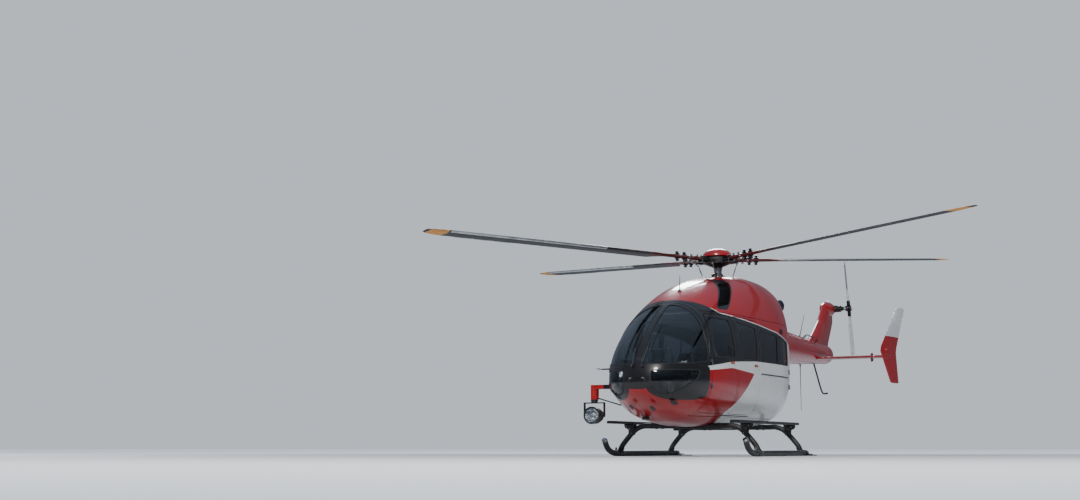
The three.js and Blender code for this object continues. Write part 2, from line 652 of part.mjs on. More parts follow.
function plateSolid(inwards, by = 0) {
  const rings = PLATE_SECTIONS.map(([level, nose, chord, thickness]) =>
    aerofoil(chord + 2 * by, thickness + 2 * by).map(([back, side]) => {
      const x = nose + by - back;
      return new THREE.Vector3(x, plateY(x, inwards) + side, level);
    }),
  );
  return solid(loft(rings));
}

const PLATE_LIGHT = { x: -5000, level: 2005, standOff: 21 };

const FIN_SECTIONS = [
  // level, nose, chord, thickness
  [1990, -4900, 1420, 200],
  [2250, -5120, 1270, 190],
  [2700, -5790, 950, 170],
  [3060, -6130, 640, 130],
];
const finRings = (grow = 0) =>
  FIN_SECTIONS.map(([level, nose, chord, thickness]) =>
    aerofoil(chord + 2 * grow, thickness + 2 * grow, 12).map(
      ([back, side]) => new THREE.Vector3(nose + grow - back, side, level),
    ),
  );

const TAIL_SHAFT_END = -110; // from the tail rotor's hub, where its gearbox ends

function tailSurfaces() {
  // Each end plate stands at the end of the stabiliser, which stops just inside it.
  const plate = (inwards) => {
    const lightY = plateY(PLATE_LIGHT.x, inwards) + PLATE_LIGHT.standOff;
    const light = new THREE.SphereGeometry(1, 8, 6).scale(38, 16, 20);
    return join(plateSolid(inwards), light.translate(PLATE_LIGHT.x, lightY, PLATE_LIGHT.level));
  };
  place("end_plate_left", plate(1), RED);
  place("end_plate_right", toStarboard(plate(-1)), RED);
  const half = STABILISER_SPAN / 2 + 60;
  const wing = solid(loft([stabiliserRing(-half), stabiliserRing(half)]));
  const between = wing.subtract(plateSolid(1, SEAM)).subtract(toStarboard(plateSolid(-1, SEAM)));
  place("stabiliser", largest(between), RED);

  const housing = new THREE.SphereGeometry(1, 12, 8).scale(330, 135, 150).translate(-6400, 0, 2965);
  const lamp = bar([-6480, 0, 3080], [-6480, 0, 3165], 45, 10, 30);
  const [x, y, z] = TAIL_HUB.toArray();
  const neck = [
    bar([x, 0, z], [x, 235, z], 85, 12, 55),
    bar([x, 225, z], [x, y + TAIL_SHAFT_END, z], 40, 12),
  ];
  place("tail_fin", join(loft(finRings()), housing, lamp, ...neck), RED);

  const line = [[-5300, 1830], [-5560, 1560], [-5850, 1255], [-5960, 1215], [-6230, 1235]];
  const bumper = tube(line.map(([along, up]) => [along, 0, up]), 17, 14, 8);
  place("tail_bumper", solid(bumper).subtract(boomSolid(SEAM)), BLACK);
}

// Rotors

const ARM_END = 386; // where the blades bolt to the hub's arms

const BLADE_SECTIONS = [
  // radius, chord, thickness, how far the nose is ahead of the blade's axis, how aerofoil-like
  [ARM_END + SEAM, 130, 74, 65, 0],
  [620, 104, 60, 52, 0],
  [1090, 112, 52, 56, 0],
  [1330, BLADE_CHORD, 44, 84, 1],
  [3400, BLADE_CHORD, 38, 82, 1],
  [5180, BLADE_CHORD, 34, 80, 1],
  [5400, 270, 26, 66, 1],
  [ROTOR_RADIUS, 165, 14, 28, 1],
];
const CONE = THREE.MathUtils.degToRad(2.5);
const BLADE_PITCH = THREE.MathUtils.degToRad(7);

// One main blade along +X, its nose towards +Y, with the neck that bolts into the hub and its weights.
function mainBlade() {
  const rings = BLADE_SECTIONS.map(([radius, chord, thickness, ahead, wing]) =>
    aerofoil(chord, thickness, 10).map(([back, up], k) => {
      const angle = (k / 10) * 2 * Math.PI;
      const round = (Math.sin(angle) * thickness) / 2;
      return new THREE.Vector3(radius, ahead - back, wing ? up : round);
    }),
  );
  const weights = [700, 850].map((r) =>
    join(box(r - 28, r + 28, -34, 34, -50, 50), bar([r, 0, -84], [r, 0, 84], 28, 8)),
  );
  return geometryOf(join(loft(rings), ...weights)).rotateX(BLADE_PITCH).rotateY(-CONE);
}

function mainRotor() {
  const turned = new THREE.Group();
  turned.rotation.z = ROTOR_TURN;
  hub.add(turned);

  const arm = (k) =>
    join(box(90, ARM_END, -62, 62, -48, 40), box(250, ARM_END, -78, 78, -60, -20))
      .rotate([0, -THREE.MathUtils.radToDeg(CONE), 0])
      .rotate([0, 0, 90 * k]);
  const horn = (k) => solid(box(250, 300, 40, 235, -52, -28)).rotate([0, 0, 90 * k]);
  const core = new THREE.LatheGeometry(
    [[0, -130], [78, -130], [150, -95], [240, -60], [250, 40], [0, 62]].map((p) => new THREE.Vector2(...p)),
    20,
  ).rotateX(Math.PI / 2);
  const star = [0, 1, 2, 3].reduce((a, k) => join(a, arm(k), horn(k)), solid(core));
  place("rotor_head", star, DARK_METAL, turned);

  const domeProfile = [[0, 62 + SEAM], [246, 62 + SEAM], [238, 100], [190, 148], [100, 182], [0, 192]];
  const dome = new THREE.LatheGeometry(domeProfile.map((p) => new THREE.Vector2(...p)), 20);
  place("rotor_cap", dome.rotateX(Math.PI / 2), RED, turned);

  const shaft = bar([0, 0, MAST_FOOT], [0, 0, -130 - SEAM], 62, 16);
  const mast = join(shaft, bar([0, 0, -350], [0, 0, -310], 250, 20));
  const link = (k) => solid(bar([165, 165, -330], [272, 200, -62], 11, 8)).rotate([0, 0, 90 * k]);
  const links = [0, 1, 2, 3].reduce((a, k) => a.add(link(k)), mast);
  place("rotor_mast", links, STEEL, turned);

  for (let k = 0; k < 4; k++) {
    const blade = place(`main_blade_${k + 1}`, mainBlade(), BLADE_GREY, turned);
    blade.rotation.z = (k * Math.PI) / 2;
  }
}

function tailRotor() {
  const axle = new THREE.Group();
  axle.position.copy(TAIL_HUB);
  axle.rotation.y = THREE.MathUtils.degToRad(14); // where the blades stopped
  helicopter.add(axle);

  const centre = join(
    bar([0, TAIL_SHAFT_END + SEAM, 0], [0, 55, 0], 26, 12),
    box(-52, 52, -24, 24, -165, 165),
    bar([0, -70, 0], [0, -45, 0], 62, 12),
    box(-95, 95, -70, -48, -14, 14),
    bar([85, -60, 0], [85, 40, 40], 8, 6),
    bar([-85, -60, 0], [-85, 40, -40], 8, 6),
    box(40, 92, 26, 44, 26, 52),
    box(-92, -40, 26, 44, -52, -26),
    box(-50, 50, 22, 44, 24, 54),
    box(-50, 50, 22, 44, -54, -24),
  );
  place("tail_rotor_hub", centre, DARK_METAL, axle);

  const sections = [
    // radius, chord, thickness
    [166, 96, 40],
    [300, 104, 36],
    [370, 200, 26],
    [TAIL_ROTOR_RADIUS - 60, 200, 20],
    [TAIL_ROTOR_RADIUS, 150, 12],
  ];
  const blade = loft(
    sections.map(([radius, chord, thickness]) =>
      aerofoil(chord, thickness).map(([back, side]) => new THREE.Vector3(chord * 0.4 - back, side, radius)),
    ),
  ).rotateZ(THREE.MathUtils.degToRad(8));
  place("tail_blade_1", blade, WHITE, axle);
  const other = place("tail_blade_2", blade.clone(), WHITE, axle);
  other.rotation.y = Math.PI;
}

// Landing gear: two bent cross tubes carry the skid tubes with their snow pads, and the long footsteps.

const GEAR = { front: 1450, rear: -650, bow: 470, skidFrom: -960, skidTo: 1760 };
const STEP = { from: -830, to: 2250, centre: 1010, halfWidth: 80, top: 545, thickness: 42 };

function landingGear() {
  const skidY = TRACK / 2 - SKID_RADIUS;
  const skid = tube(
    [
      [GEAR.skidFrom, skidY, SKID_RADIUS],
      [-300, skidY, SKID_RADIUS],
      [700, skidY, SKID_RADIUS],
      [1500, skidY, SKID_RADIUS],
      [GEAR.skidTo, skidY, SKID_RADIUS + 18],
      [1930, skidY, SKID_RADIUS + 85],
      [2040, skidY, SKID_RADIUS + 215],
    ],
    SKID_RADIUS,
    14,
    10,
  );
  const crossTube = (x, clear = 0) => {
    const foot = skidY - 6;
    const half = [
      [x, foot, SKID_RADIUS + 40 - clear],
      [x, skidY - 60, 190],
      [x, 905, 395],
      [x, 760, GEAR.bow - 4],
      [x, 600, GEAR.bow],
    ];
    const all = [...half, ...half.map(([a, y, z]) => [a, -y, z]).reverse()];
    return solid(tube(all, 42 + clear, 20, 8, 0.4));
  };
  const skidSolid = solid(skid);
  const saddles = [GEAR.front, GEAR.rear].map((x) => {
    const [from, to] = [x - 75, x + 75].map((end) => [end, skidY, SKID_RADIUS]);
    return solid(bar(from, to, 54, 10));
  });
  const ground = solid(box(-BEYOND, BEYOND, -BEYOND, BEYOND, -200, 0));
  const shod = saddles.reduce((a, b) => a.add(b), skidSolid).subtract(ground);
  const front = crossTube(GEAR.front);
  const rear = crossTube(GEAR.rear);
  const crossers = [crossTube(GEAR.front, SEAM), crossTube(GEAR.rear, SEAM)];
  const skidPort = crossers.reduce((a, b) => a.subtract(b), shod);
  const body = podSkin(-SEAM);
  place("cross_tube_front", front.subtract(body), BLACK);
  place("cross_tube_rear", rear.subtract(body), BLACK);

  const { from, to, centre, halfWidth, top, thickness } = STEP;
  const [near, far] = [centre - halfWidth, centre + halfWidth];
  const boardOutline = [[from, near], [to - 160, near], [to, centre], [to - 160, far], [from, far]];
  const board = extruded(boardOutline, thickness, 30).translate(0, 0, top - thickness);
  const bracket = (x) =>
    join(
      box(x - 45, x + 45, 880, centre + 50, 415, top - thickness + 2),
      box(x - 45, x + 45, 905, 990, 330, 430),
    );
  const step = crossers.reduce((a, b) => a.subtract(b), join(board, bracket(GEAR.front), bracket(GEAR.rear)));
  placePair("step", step, BLACK);

  const padOutline = [[-1330, -60], [-1250, -175], [-760, -175], [-660, 0], [-760, 110], [-1250, 110]];
  const pad = extruded(padOutline.map(([x, side]) => [x, skidY + side]), 14, 60);
  placePair("skid", join(skidPort, pad), BLACK);
}

// Searchlight on an arm at the starboard side: the yoke pans below the arm and the lamp tilts in the yoke.

const LAMP = new THREE.Vector3(2720, -1000, 615);

// Clear is the room above the lamp's axis.
const YOKE = { clear: 180, bar: 18, disc: 15, halfWidth: 172, arm: 14, depth: 26 };

function searchlight() {
  const { x, y, z } = LAMP;
  const crossbar = z + YOKE.clear;
  const pivot = crossbar + YOKE.bar + YOKE.disc;
  const arm = join(
    box(x - 45, x + 45, y + 40, -600, 1010, 1075),
    box(x - 45, x + 45, y - 45, y + 60, pivot + 25, 1075),
    bar([x, y, pivot + SEAM], [x, y, pivot + 30], 55, 14),
    bar([x - 10, y + 40, 880], [x - 10, -540, 760], 10, 8),
  );
  place("searchlight_arm", arm.subtract(podSkin(-SEAM)), RED);

  const side = (way) => {
    const faces = [YOKE.halfWidth - YOKE.arm, YOKE.halfWidth].map((v) => y + way * v);
    const [low, high] = [Math.min(...faces), Math.max(...faces)];
    return box(x - YOKE.depth, x + YOKE.depth, low, high, z - YOKE.depth, crossbar + YOKE.bar);
  };
  const span = YOKE.halfWidth;
  const yoke = join(
    bar([x, y, crossbar + 5], [x, y, pivot], 50, 14),
    box(x - YOKE.depth, x + YOKE.depth, y - span, y + span, crossbar, crossbar + YOKE.bar),
    side(-1),
    side(1),
  );
  place("searchlight_yoke", yoke, DARK_METAL);

  const profile = [[0, -150], [70, -150], [105, -110], [128, -40], [132, 110], [118, 118], [0, 96]];
  const drum = new THREE.LatheGeometry(profile.map((p) => new THREE.Vector2(...p)), 18)
    .rotateZ(-Math.PI / 2)
    .translate(x, y, z);
  const pinEnd = YOKE.halfWidth - YOKE.arm - SEAM;
  place("searchlight_lamp", join(drum, bar([x, y - pinEnd, z], [x, y + pinEnd, z], 16, 10)), BLACK);
}

// Whip aerials above and below the tail boom

const AERIAL = { x: -4450, radius: 11 };

function aerials() {
  const boom = boomSolid(SEAM);
  const { top, low } = sectionAt(AERIAL.x);
  const whip = (from, to) => solid(bar(from, to, AERIAL.radius, 6, AERIAL.radius / 2)).subtract(boom);
  place("boom_aerial_top", whip([AERIAL.x, 0, top - 20], [AERIAL.x - 350, 0, top + 470]), BLACK);
  place("boom_aerial_low", whip([AERIAL.x, 0, low + 20], [AERIAL.x, 0, low - 900]), BLACK);
}

const cowlingWall = bodyShells();
doorsAndGlass();
upperDeck(cowlingWall);
cabin();
tailBoom();
tailSurfaces();
mainRotor();
tailRotor();
landingGear();
searchlight();
aerials();

const reach = new THREE.Box3().setFromObject(helicopter, true);
helicopter.position.set(-(reach.min.x + reach.max.x) / 2, -(reach.min.y + reach.max.y) / 2, -reach.min.z);

export default helicopter;
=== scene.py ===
"""A light twin-engine rescue helicopter, parked on its skids, dressed around its solid frame.

Metres, +X to the nose, +Y to port, +Z up. Stations along the body are counted from the rotor mast.
"""

import math
import operator

import bmesh
import bpy
import numpy as np
from mathutils import Matrix, Vector, geometry


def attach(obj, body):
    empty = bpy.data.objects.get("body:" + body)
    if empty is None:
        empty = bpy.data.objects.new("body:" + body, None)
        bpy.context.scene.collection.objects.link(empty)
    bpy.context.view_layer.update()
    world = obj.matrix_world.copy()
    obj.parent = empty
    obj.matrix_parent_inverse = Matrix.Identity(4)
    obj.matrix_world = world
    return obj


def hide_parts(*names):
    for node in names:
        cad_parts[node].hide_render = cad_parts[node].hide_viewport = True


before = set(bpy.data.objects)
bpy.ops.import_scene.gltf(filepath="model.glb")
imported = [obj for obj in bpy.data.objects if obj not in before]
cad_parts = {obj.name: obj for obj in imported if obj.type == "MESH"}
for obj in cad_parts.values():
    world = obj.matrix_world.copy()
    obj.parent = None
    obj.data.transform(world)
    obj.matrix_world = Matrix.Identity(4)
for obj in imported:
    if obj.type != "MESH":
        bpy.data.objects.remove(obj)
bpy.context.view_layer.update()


# The view, the floor and the lights
# A long lens near the ground looks up at the helicopter from some twenty metres ahead and to port
# of the nose. The floor is plain and pale, and large soft lights stand above it as in a studio.

MAST_X = 1.03574  # where the rotor mast stands along the frame
FORE, PORT, UP = (1, 0, 0), (0, 1, 0), (0, 0, 1)
VIEW = {"distance": 24.0, "azimuth": 20.44, "height": 0.12, "left": 7.11, "up": 7.88, "lens": 47.8}


def placed(name, data):
    """An object of the scene."""
    made = bpy.data.objects.new(name, data)
    bpy.context.scene.collection.objects.link(made)
    return made


def new_mesh(name, verts, faces, edges=()):
    mesh = bpy.data.meshes.new(name)
    mesh.from_pydata(verts, edges, faces)
    return mesh


def studio_view():
    data = bpy.data.cameras.new("view")
    data.lens, data.sensor_width = VIEW["lens"], 36
    data.clip_start, data.clip_end = 0.5, 500
    camera = placed("view", data)
    azimuth = math.radians(VIEW["azimuth"])
    away = Vector((math.cos(azimuth), math.sin(azimuth), 0))
    camera.location = Vector((MAST_X, 0, VIEW["height"])) + away * VIEW["distance"]
    level = Matrix.Rotation(math.radians(VIEW["left"]), 3, "Z") @ -away
    up = math.radians(VIEW["up"])
    aim = level * math.cos(up) + Vector((0, 0, math.sin(up)))
    camera.rotation_euler = aim.to_track_quat("-Z", "Y").to_euler()
    bpy.context.scene.camera = camera


class Nodes:
    """A shader tree. Each method adds a node, and most give the output that is read from it."""

    def __init__(self, tree):
        self.tree = tree

    def feed(self, node, inputs):
        """Sets or links a node's inputs, by name or number."""
        for key, value in inputs.items():
            if isinstance(value, bpy.types.NodeSocket):
                self.tree.links.new(value, node.inputs[key])
            else:
                node.inputs[key].default_value = value

    def add(self, kind, inputs=None, **settings):
        made = self.tree.nodes.new("ShaderNode" + kind)
        for name, value in settings.items():
            setattr(made, name, value)
        self.feed(made, inputs or {})
        return made

    def maths(self, operation, a, b=0.0, c=0.0):
        return self.add("Math", {0: a, 1: b, 2: c}, operation=operation).outputs[0]

    def mixed(self, share, a, b):
        """Two colours mixed by a share, each three numbers or an output."""
        a, b = ((*colour, 1) if isinstance(colour, tuple) else colour for colour in (a, b))
        return self.add("Mix", {0: share, 6: a, 7: b}, data_type="RGBA").outputs[2]

    def ramp(self, value, low, high):
        """0 below low, 1 above high, smooth between."""
        return self.add("MapRange", {0: value, 1: low, 2: high}, interpolation_type="SMOOTHSTEP").outputs[0]

    def noise(self, place, scale, detail=2.0, roughness=0.5):
        inputs = {"Vector": place, "Scale": scale, "Detail": detail, "Roughness": roughness}
        return self.add("TexNoise", inputs).outputs[0]


class Look(Nodes):
    """A material with one Principled BSDF, whose even values stand on its own sockets."""

    def __init__(self, name, colour, roughness, **sockets):
        self.material = bpy.data.materials.new(name)
        self.material.use_nodes = True
        super().__init__(self.material.node_tree)
        self.shader = self.tree.nodes["Principled BSDF"]
        self.set(base_color=(*colour, 1), roughness=roughness, **sockets)

    def set(self, **sockets):
        names = {key: key.replace("_", " ").title().replace("Ior", "IOR") for key in sockets}
        self.feed(self.shader, {names[key]: value for key, value in sockets.items()})


def soft_light(name, place, aim, size, power, colour=(1, 1, 1), mirrored=True):
    data = bpy.data.lights.new(name, "AREA")
    data.shape, data.size, data.energy, data.color = "DISK", size, power, colour
    light = placed(name, data)
    light.location = place
    light.visible_glossy = mirrored
    light.rotation_euler = (Vector(aim) - Vector(place)).to_track_quat("-Z", "Y").to_euler()


def studio():
    look = Look("pale_floor", (0.62, 0.63, 0.64), 0.9, specular_ior_level=0.0, emission_strength=1.0)
    place = look.add("TexCoord").outputs["Object"]
    speckle = look.noise(place, 3.0, 6.0)
    look.set(base_color=look.mixed(speckle, (0.58, 0.59, 0.60), (0.66, 0.67, 0.68)))
    # Far from the lights the floor fades into the pale backdrop
    away = look.add("VectorMath", {0: place}, operation="LENGTH").outputs["Value"]
    seen = look.add("LightPath").outputs["Is Camera Ray"]
    share = look.maths("MULTIPLY", look.ramp(away, 5.0, 21.0), seen)
    look.set(emission_color=look.mixed(share, (0.0, 0.0, 0.0), (0.56, 0.60, 0.65)))
    far = 150
    mesh = new_mesh("floor", [(-far, -far, 0), (far, -far, 0), (far, far, 0), (-far, far, 0)], [(0, 1, 2, 3)])
    mesh.materials.append(look.material)
    floor = placed("floor", mesh)

    world = bpy.data.worlds.new("studio")
    world.use_nodes = True
    bpy.context.scene.world = world
    sky = Nodes(world.node_tree)
    seen = sky.add("LightPath").outputs["Is Camera Ray"]
    above = sky.add("SeparateXYZ", {0: sky.add("TexCoord").outputs["Generated"]}).outputs[2]
    above = sky.add("MapRange", {0: above, 1: 0.05, 2: 0.9}).outputs[0]
    room = sky.mixed(above, (0.10, 0.11, 0.13), (0.30, 0.38, 0.50))
    backdrop = sky.mixed(seen, room, (0.62, 0.67, 0.73))
    sky.feed(sky.tree.nodes["Background"], {"Color": backdrop})
    middle = (MAST_X + 0.5, 0, 1.6)
    soft_light("key", (17, 4, 13), middle, 3.2, 2500, (1, 0.97, 0.93))
    soft_light("side", (2, 17, 9), middle, 5, 900, mirrored=False)
    soft_light("back", (-14, -6, 11), middle, 5, 1500, (0.95, 0.98, 1))
    soft_light("starboard", (10, -16, 8), middle, 5, 1100, mirrored=False)


studio_view()
studio()


# Body paint
# The composite skins are sprayed in gloss red and white with a black band round the windows, under clear
# lacquer. The lacquer ripples slightly, and dust gathers low down, with oily streaks that run aft.

RED, WHITE, BLACK = (0.36, 0.003, 0.006), (0.76, 0.77, 0.76), (0.003, 0.0035, 0.005)


def new_group(name, inputs, outputs):
    """An empty shader group. Inputs are a name, a socket type and a value, outputs a name and a type."""
    group = bpy.data.node_groups.new(name, "ShaderNodeTree")
    for label, kind, value in inputs:
        socket = group.interface.new_socket(label, in_out="INPUT", socket_type="NodeSocket" + kind)
        if value is not None:
            socket.default_value = value
    for label, kind in outputs:
        group.interface.new_socket(label, in_out="OUTPUT", socket_type="NodeSocket" + kind)
    return group, group.nodes.new("NodeGroupInput"), group.nodes.new("NodeGroupOutput")


def weather_group():
    """Dust, more of it low down, streaks that run aft, and the ripple of sprayed lacquer."""
    group, given, out = new_group(
        "weather",
        [("Place", "Vector", None), ("Dust", "Float", 0.3), ("Streaks", "Float", 0.3),
         ("Size", "Float", 1.0)],
        [("Grime", "Float"), ("Ripple", "Float"), ("Fine", "Float")],
    )
    nodes = Nodes(group)
    place = given.outputs["Place"]
    height = nodes.add("SeparateXYZ", {0: place}).outputs[2]
    low = nodes.maths("ADD", nodes.ramp(height, 1.0, 0.1), 0.35)
    cloud = nodes.noise(place, 2.3, 8.0, 0.62)
    dust = nodes.maths("MULTIPLY", nodes.ramp(cloud, 0.45, 0.8), low)
    dust = nodes.maths("MULTIPLY", dust, given.outputs["Dust"])
    along = nodes.add("Mapping", {0: place, 3: (0.5, 3.0, 9.0)}).outputs[0]
    streak = nodes.ramp(nodes.noise(along, 2.0, 5.0), 0.55, 0.78)
    lines = nodes.maths("MULTIPLY", streak, given.outputs["Streaks"])
    sized = nodes.add("VectorMath", {0: place, 3: given.outputs["Size"]}, operation="SCALE").outputs[0]
    nodes.feed(out, {
        "Grime": nodes.maths("MAXIMUM", dust, lines),
        "Ripple": nodes.noise(sized, 160.0, 2.0),
        "Fine": nodes.noise(sized, 420.0, 3.0),
    })
    return group


WEATHER = weather_group()


class Weathered(Look):
    """A material that reads the weather group at the piece's own place."""

    def __init__(self, name, colour, roughness, dust=0.3, streaks=0.3, size=1.0, **sockets):
        super().__init__(name, colour, roughness, **sockets)
        self.place = self.add("TexCoord").outputs["Object"]
        inputs = {"Place": self.place, "Dust": dust, "Streaks": streaks, "Size": size}
        self.grime, self.ripple, self.fine = self.add("Group", inputs, node_tree=WEATHER).outputs

    def bumped(self, height, strength, distance):
        bump = self.add("Bump", {"Height": height, "Strength": strength, "Distance": distance})
        self.set(normal=bump.outputs[0])


# Lines of the livery in the side view: along the body from the mast, and their level
BAND_LOW = [(-1.9, 1.505), (-1.06, 1.505), (0.65, 1.49), (1.74, 1.43), (2.75, 1.30), (3.42, 1.28)]
BAND_HIGH = [(-1.9, 1.62), (-1.50, 1.72), (-1.12, 1.90), (-0.45, 2.03), (0.5, 2.10), (1.76, 2.18),
             (2.1, 2.36), (2.4, 2.9)]
STRIPE_LOW = [(-1.9, 1.29), (0.75, 1.29), (1.74, 1.335), (2.6, 1.262), (2.83, 1.245)]
# The red nose's edge: its level, and how far it lies from the mast
RED_EDGE = [(0.4, 1.38), (0.5, 1.45), (0.60, 1.56), (0.67, 1.60), (1.29, 0.75), (1.6, 0.33)]
# These two lines also hold the half width and the forward end of the thin white line along the band's top
# edge, a painted highlight of the rain gutter
BAND_AFT, GUTTER_HIGHLIGHT_FORE, STRIPE_FORE, TAIL_START = -1.075, 1.9, 2.83, -1.9
GUTTER_HIGHLIGHT_HALF, CHIN_AFT, PLATE_Y, PLATE_Z = 0.007, 2.5, 1.3, 2.27
# The black round the chin windows and on the block between: middle and half size across and up, roundness
CHIN_BLACK = [(0.47, 1.12, 0.36, 0.30, 2.6), (0.0, 1.155, 0.185, 0.185, 4.0)]
# The black round each air intake, partly a dark surround and partly painted shade of the intake's recess: its
# middle, half sizes, roundness and how far it leans forward per metre up
INTAKE_SHADE_RIM = {"x": 1.196012, "z": 2.53, "lean": 1.503, "half_x": 0.166, "half_z": 0.284, "round_x": 5.0,
         "round_z": 6.0}


def line_value(look, value, points):
    """The line through points as a function of a value, made with a Float Curve."""
    (x0, x1), top = (min(p[0] for p in points), max(p[0] for p in points)), 3.0
    share = look.add("MapRange", {0: value, 1: x0, 2: x1}).outputs[0]
    node = look.add("FloatCurve", {1: share})
    curve = node.mapping.curves[0]
    node.mapping.extend = "HORIZONTAL"
    curve.points[0].location = (0, points[0][1] / top)
    curve.points[1].location = (1, points[-1][1] / top)
    for x, y in points[1:-1]:
        curve.points.new((x - x0) / (x1 - x0), y / top)
    for point in curve.points:
        point.handle_type = "VECTOR"
    node.mapping.update()
    return look.maths("MULTIPLY_ADD", node.outputs[0], top, 0.0)


def body_paint():
    look = Weathered("body_paint", RED, 0.32, dust=0.22, streaks=0.10, coat_weight=0.6, coat_roughness=0.04,
                     specular_ior_level=0.3)
    maths = look.maths
    axes = look.add("SeparateXYZ", {0: look.place})
    x = maths("SUBTRACT", axes.outputs[0], MAST_X)
    y, z = maths("ABSOLUTE", axes.outputs[1]), axes.outputs[2]

    def crisp(distance):
        return look.ramp(distance, -0.0008, 0.0008)

    def power(value, exponent):
        return maths("POWER", maths("ABSOLUTE", value), exponent)

    # The black band round the windows, with a thin white line along its upper edge that is a painted
    # highlight, standing in for light caught by the rain gutter there
    band_low, band_high = line_value(look, x, BAND_LOW), line_value(look, x, BAND_HIGH)
    ahead_of_tail = maths("ADD", x, -BAND_AFT)
    in_band = maths("MINIMUM", maths("SUBTRACT", z, band_low), maths("SUBTRACT", band_high, z))
    in_band = crisp(maths("MINIMUM", in_band, ahead_of_tail))
    above_line = maths("SUBTRACT", z, band_high)
    pin = crisp(maths("SUBTRACT", GUTTER_HIGHLIGHT_HALF, maths("ABSOLUTE", above_line)))
    pin = maths("MULTIPLY", pin, crisp(maths("MINIMUM", maths("SUBTRACT", GUTTER_HIGHLIGHT_FORE, x), ahead_of_tail)))
    black = maths("MULTIPLY", in_band, maths("SUBTRACT", 1.0, pin))
    # White behind the red nose, along the stripe that runs forward from it, and on the end plates' tops
    in_stripe = maths("SUBTRACT", z, line_value(look, x, STRIPE_LOW))
    in_stripe = crisp(maths("MINIMUM", in_stripe, maths("SUBTRACT", STRIPE_FORE, x)))
    behind = crisp(maths("SUBTRACT", line_value(look, z, RED_EDGE), x))
    white = maths("MULTIPLY", maths("MAXIMUM", in_stripe, behind), crisp(maths("ADD", x, -TAIL_START)))
    white = maths("MULTIPLY", white, maths("SUBTRACT", 1.0, crisp(above_line)))
    plates = crisp(maths("MINIMUM", maths("SUBTRACT", y, PLATE_Y), maths("SUBTRACT", z, PLATE_Z)))
    # The thin white line joins the white here: a painted highlight along the rain gutter
    white = maths("MAXIMUM", maths("MAXIMUM", white, pin), plates)
    # Black round the chin windows, and round the air intakes, where the black is partly painted shade of
    # their recesses
    lobes = []
    for middle_y, middle_z, half_y, half_z, exponent in CHIN_BLACK:
        across = maths("DIVIDE", maths("SUBTRACT", y, middle_y), half_y)
        upward = maths("DIVIDE", maths("SUBTRACT", z, middle_z), half_z)
        reach = maths("ADD", power(across, exponent), power(upward, exponent))
        lobes.append(maths("SUBTRACT", 1.0, reach))
    lobe = maths("MINIMUM", maths("MAXIMUM", *lobes), maths("SUBTRACT", x, CHIN_AFT))
    leaning = maths("MULTIPLY_ADD", z, INTAKE_SHADE_RIM["lean"], -INTAKE_SHADE_RIM["x"] - INTAKE_SHADE_RIM["lean"] * INTAKE_SHADE_RIM["z"])
    across = maths("MULTIPLY", maths("ADD", x, leaning), 1 / INTAKE_SHADE_RIM["half_x"])
    upward = maths("MULTIPLY_ADD", z, 1 / INTAKE_SHADE_RIM["half_z"], -INTAKE_SHADE_RIM["z"] / INTAKE_SHADE_RIM["half_z"])
    reach = maths("ADD", power(across, INTAKE_SHADE_RIM["round_x"]), power(upward, INTAKE_SHADE_RIM["round_z"]))
    mouth = maths("MULTIPLY", look.ramp(reach, 1.01, 0.99), crisp(maths("SUBTRACT", y, 0.2)))
    black = maths("MAXIMUM", black, maths("MAXIMUM", look.ramp(lobe, -0.004, 0.004), mouth))
    colour = look.mixed(black, look.mixed(white, RED, WHITE), BLACK)
    colour = look.mixed(maths("MULTIPLY", look.fine, 0.03), colour, (0.30, 0.20, 0.17))
    look.set(base_color=look.mixed(look.grime, colour, (0.16, 0.14, 0.115)))
    look.set(roughness=maths("MULTIPLY_ADD", look.grime, 0.4, 0.30))
    look.set(coat_weight=maths("SUBTRACT", 0.6, maths("MULTIPLY", look.grime, 0.5)))
    look.bumped(look.ripple, 0.05, 0.002)
    return look.material


PAINT = body_paint()


def grained(name, colour, roughness, dark, light, scale, depth, streaks=0.3, **sockets):
    """A moulded or coated sheet with a fine grain, slightly uneven in shade."""
    look = Weathered(name, colour, roughness, streaks=streaks, **sockets)
    grain = look.add("TexVoronoi", {"Vector": look.place, "Scale": scale})
    look.set(base_color=look.mixed(look.fine, dark, light))
    look.bumped(grain.outputs[0], 0.3, depth)
    return look.material


LINER = grained("cabin_liner", (0.12, 0.125, 0.13), 0.75, (0.10, 0.105, 0.11), (0.15, 0.155, 0.16), 350.0,
                0.001)


# Nose shell
# The front of the cabin is one moulded skin with the windscreen and chin window
# openings and a centre post. Like every body skin it is cut from one smooth run of
# sections, 40 mm thick over its foam core, with rounded edges.

NOSE_TIP, NOSE_LEVEL, HALF_WIDTH, BELLY, ROOF, WALL = 3.42, 1.09, 0.87, 0.45, 2.98, 0.04
# The body's sections behind the mast: station, half width, lowest, widest and highest level, and the
# roundness below and above
STATIONS = np.array([
    (0.0, 0.870, 0.450, 1.300, 2.9645, 2.7, 3.0),
    (-0.6, 0.870, 0.452, 1.310, 2.955, 2.7, 3.3),
    (-1.1, 0.835, 0.505, 1.380, 2.890, 2.6, 3.4),
    (-1.4, 0.760, 0.730, 1.520, 2.770, 2.5, 3.2),
    (-1.65, 0.625, 1.120, 1.720, 2.600, 2.4, 2.8),
    (-1.85, 0.480, 1.490, 1.900, 2.450, 2.2, 2.3),
    (-2.1, 0.360, 1.612, 1.975, 2.365, 2.0, 2.0),
    (-3.6, 0.285, 1.690, 1.990, 2.290, 2.0, 2.0),
    (-5.9, 0.185, 1.812, 2.008, 2.208, 2.0, 2.0),
])


def fall(share, power):
    return (1 - np.clip(share, 0, 1) ** power) ** (1 / power)


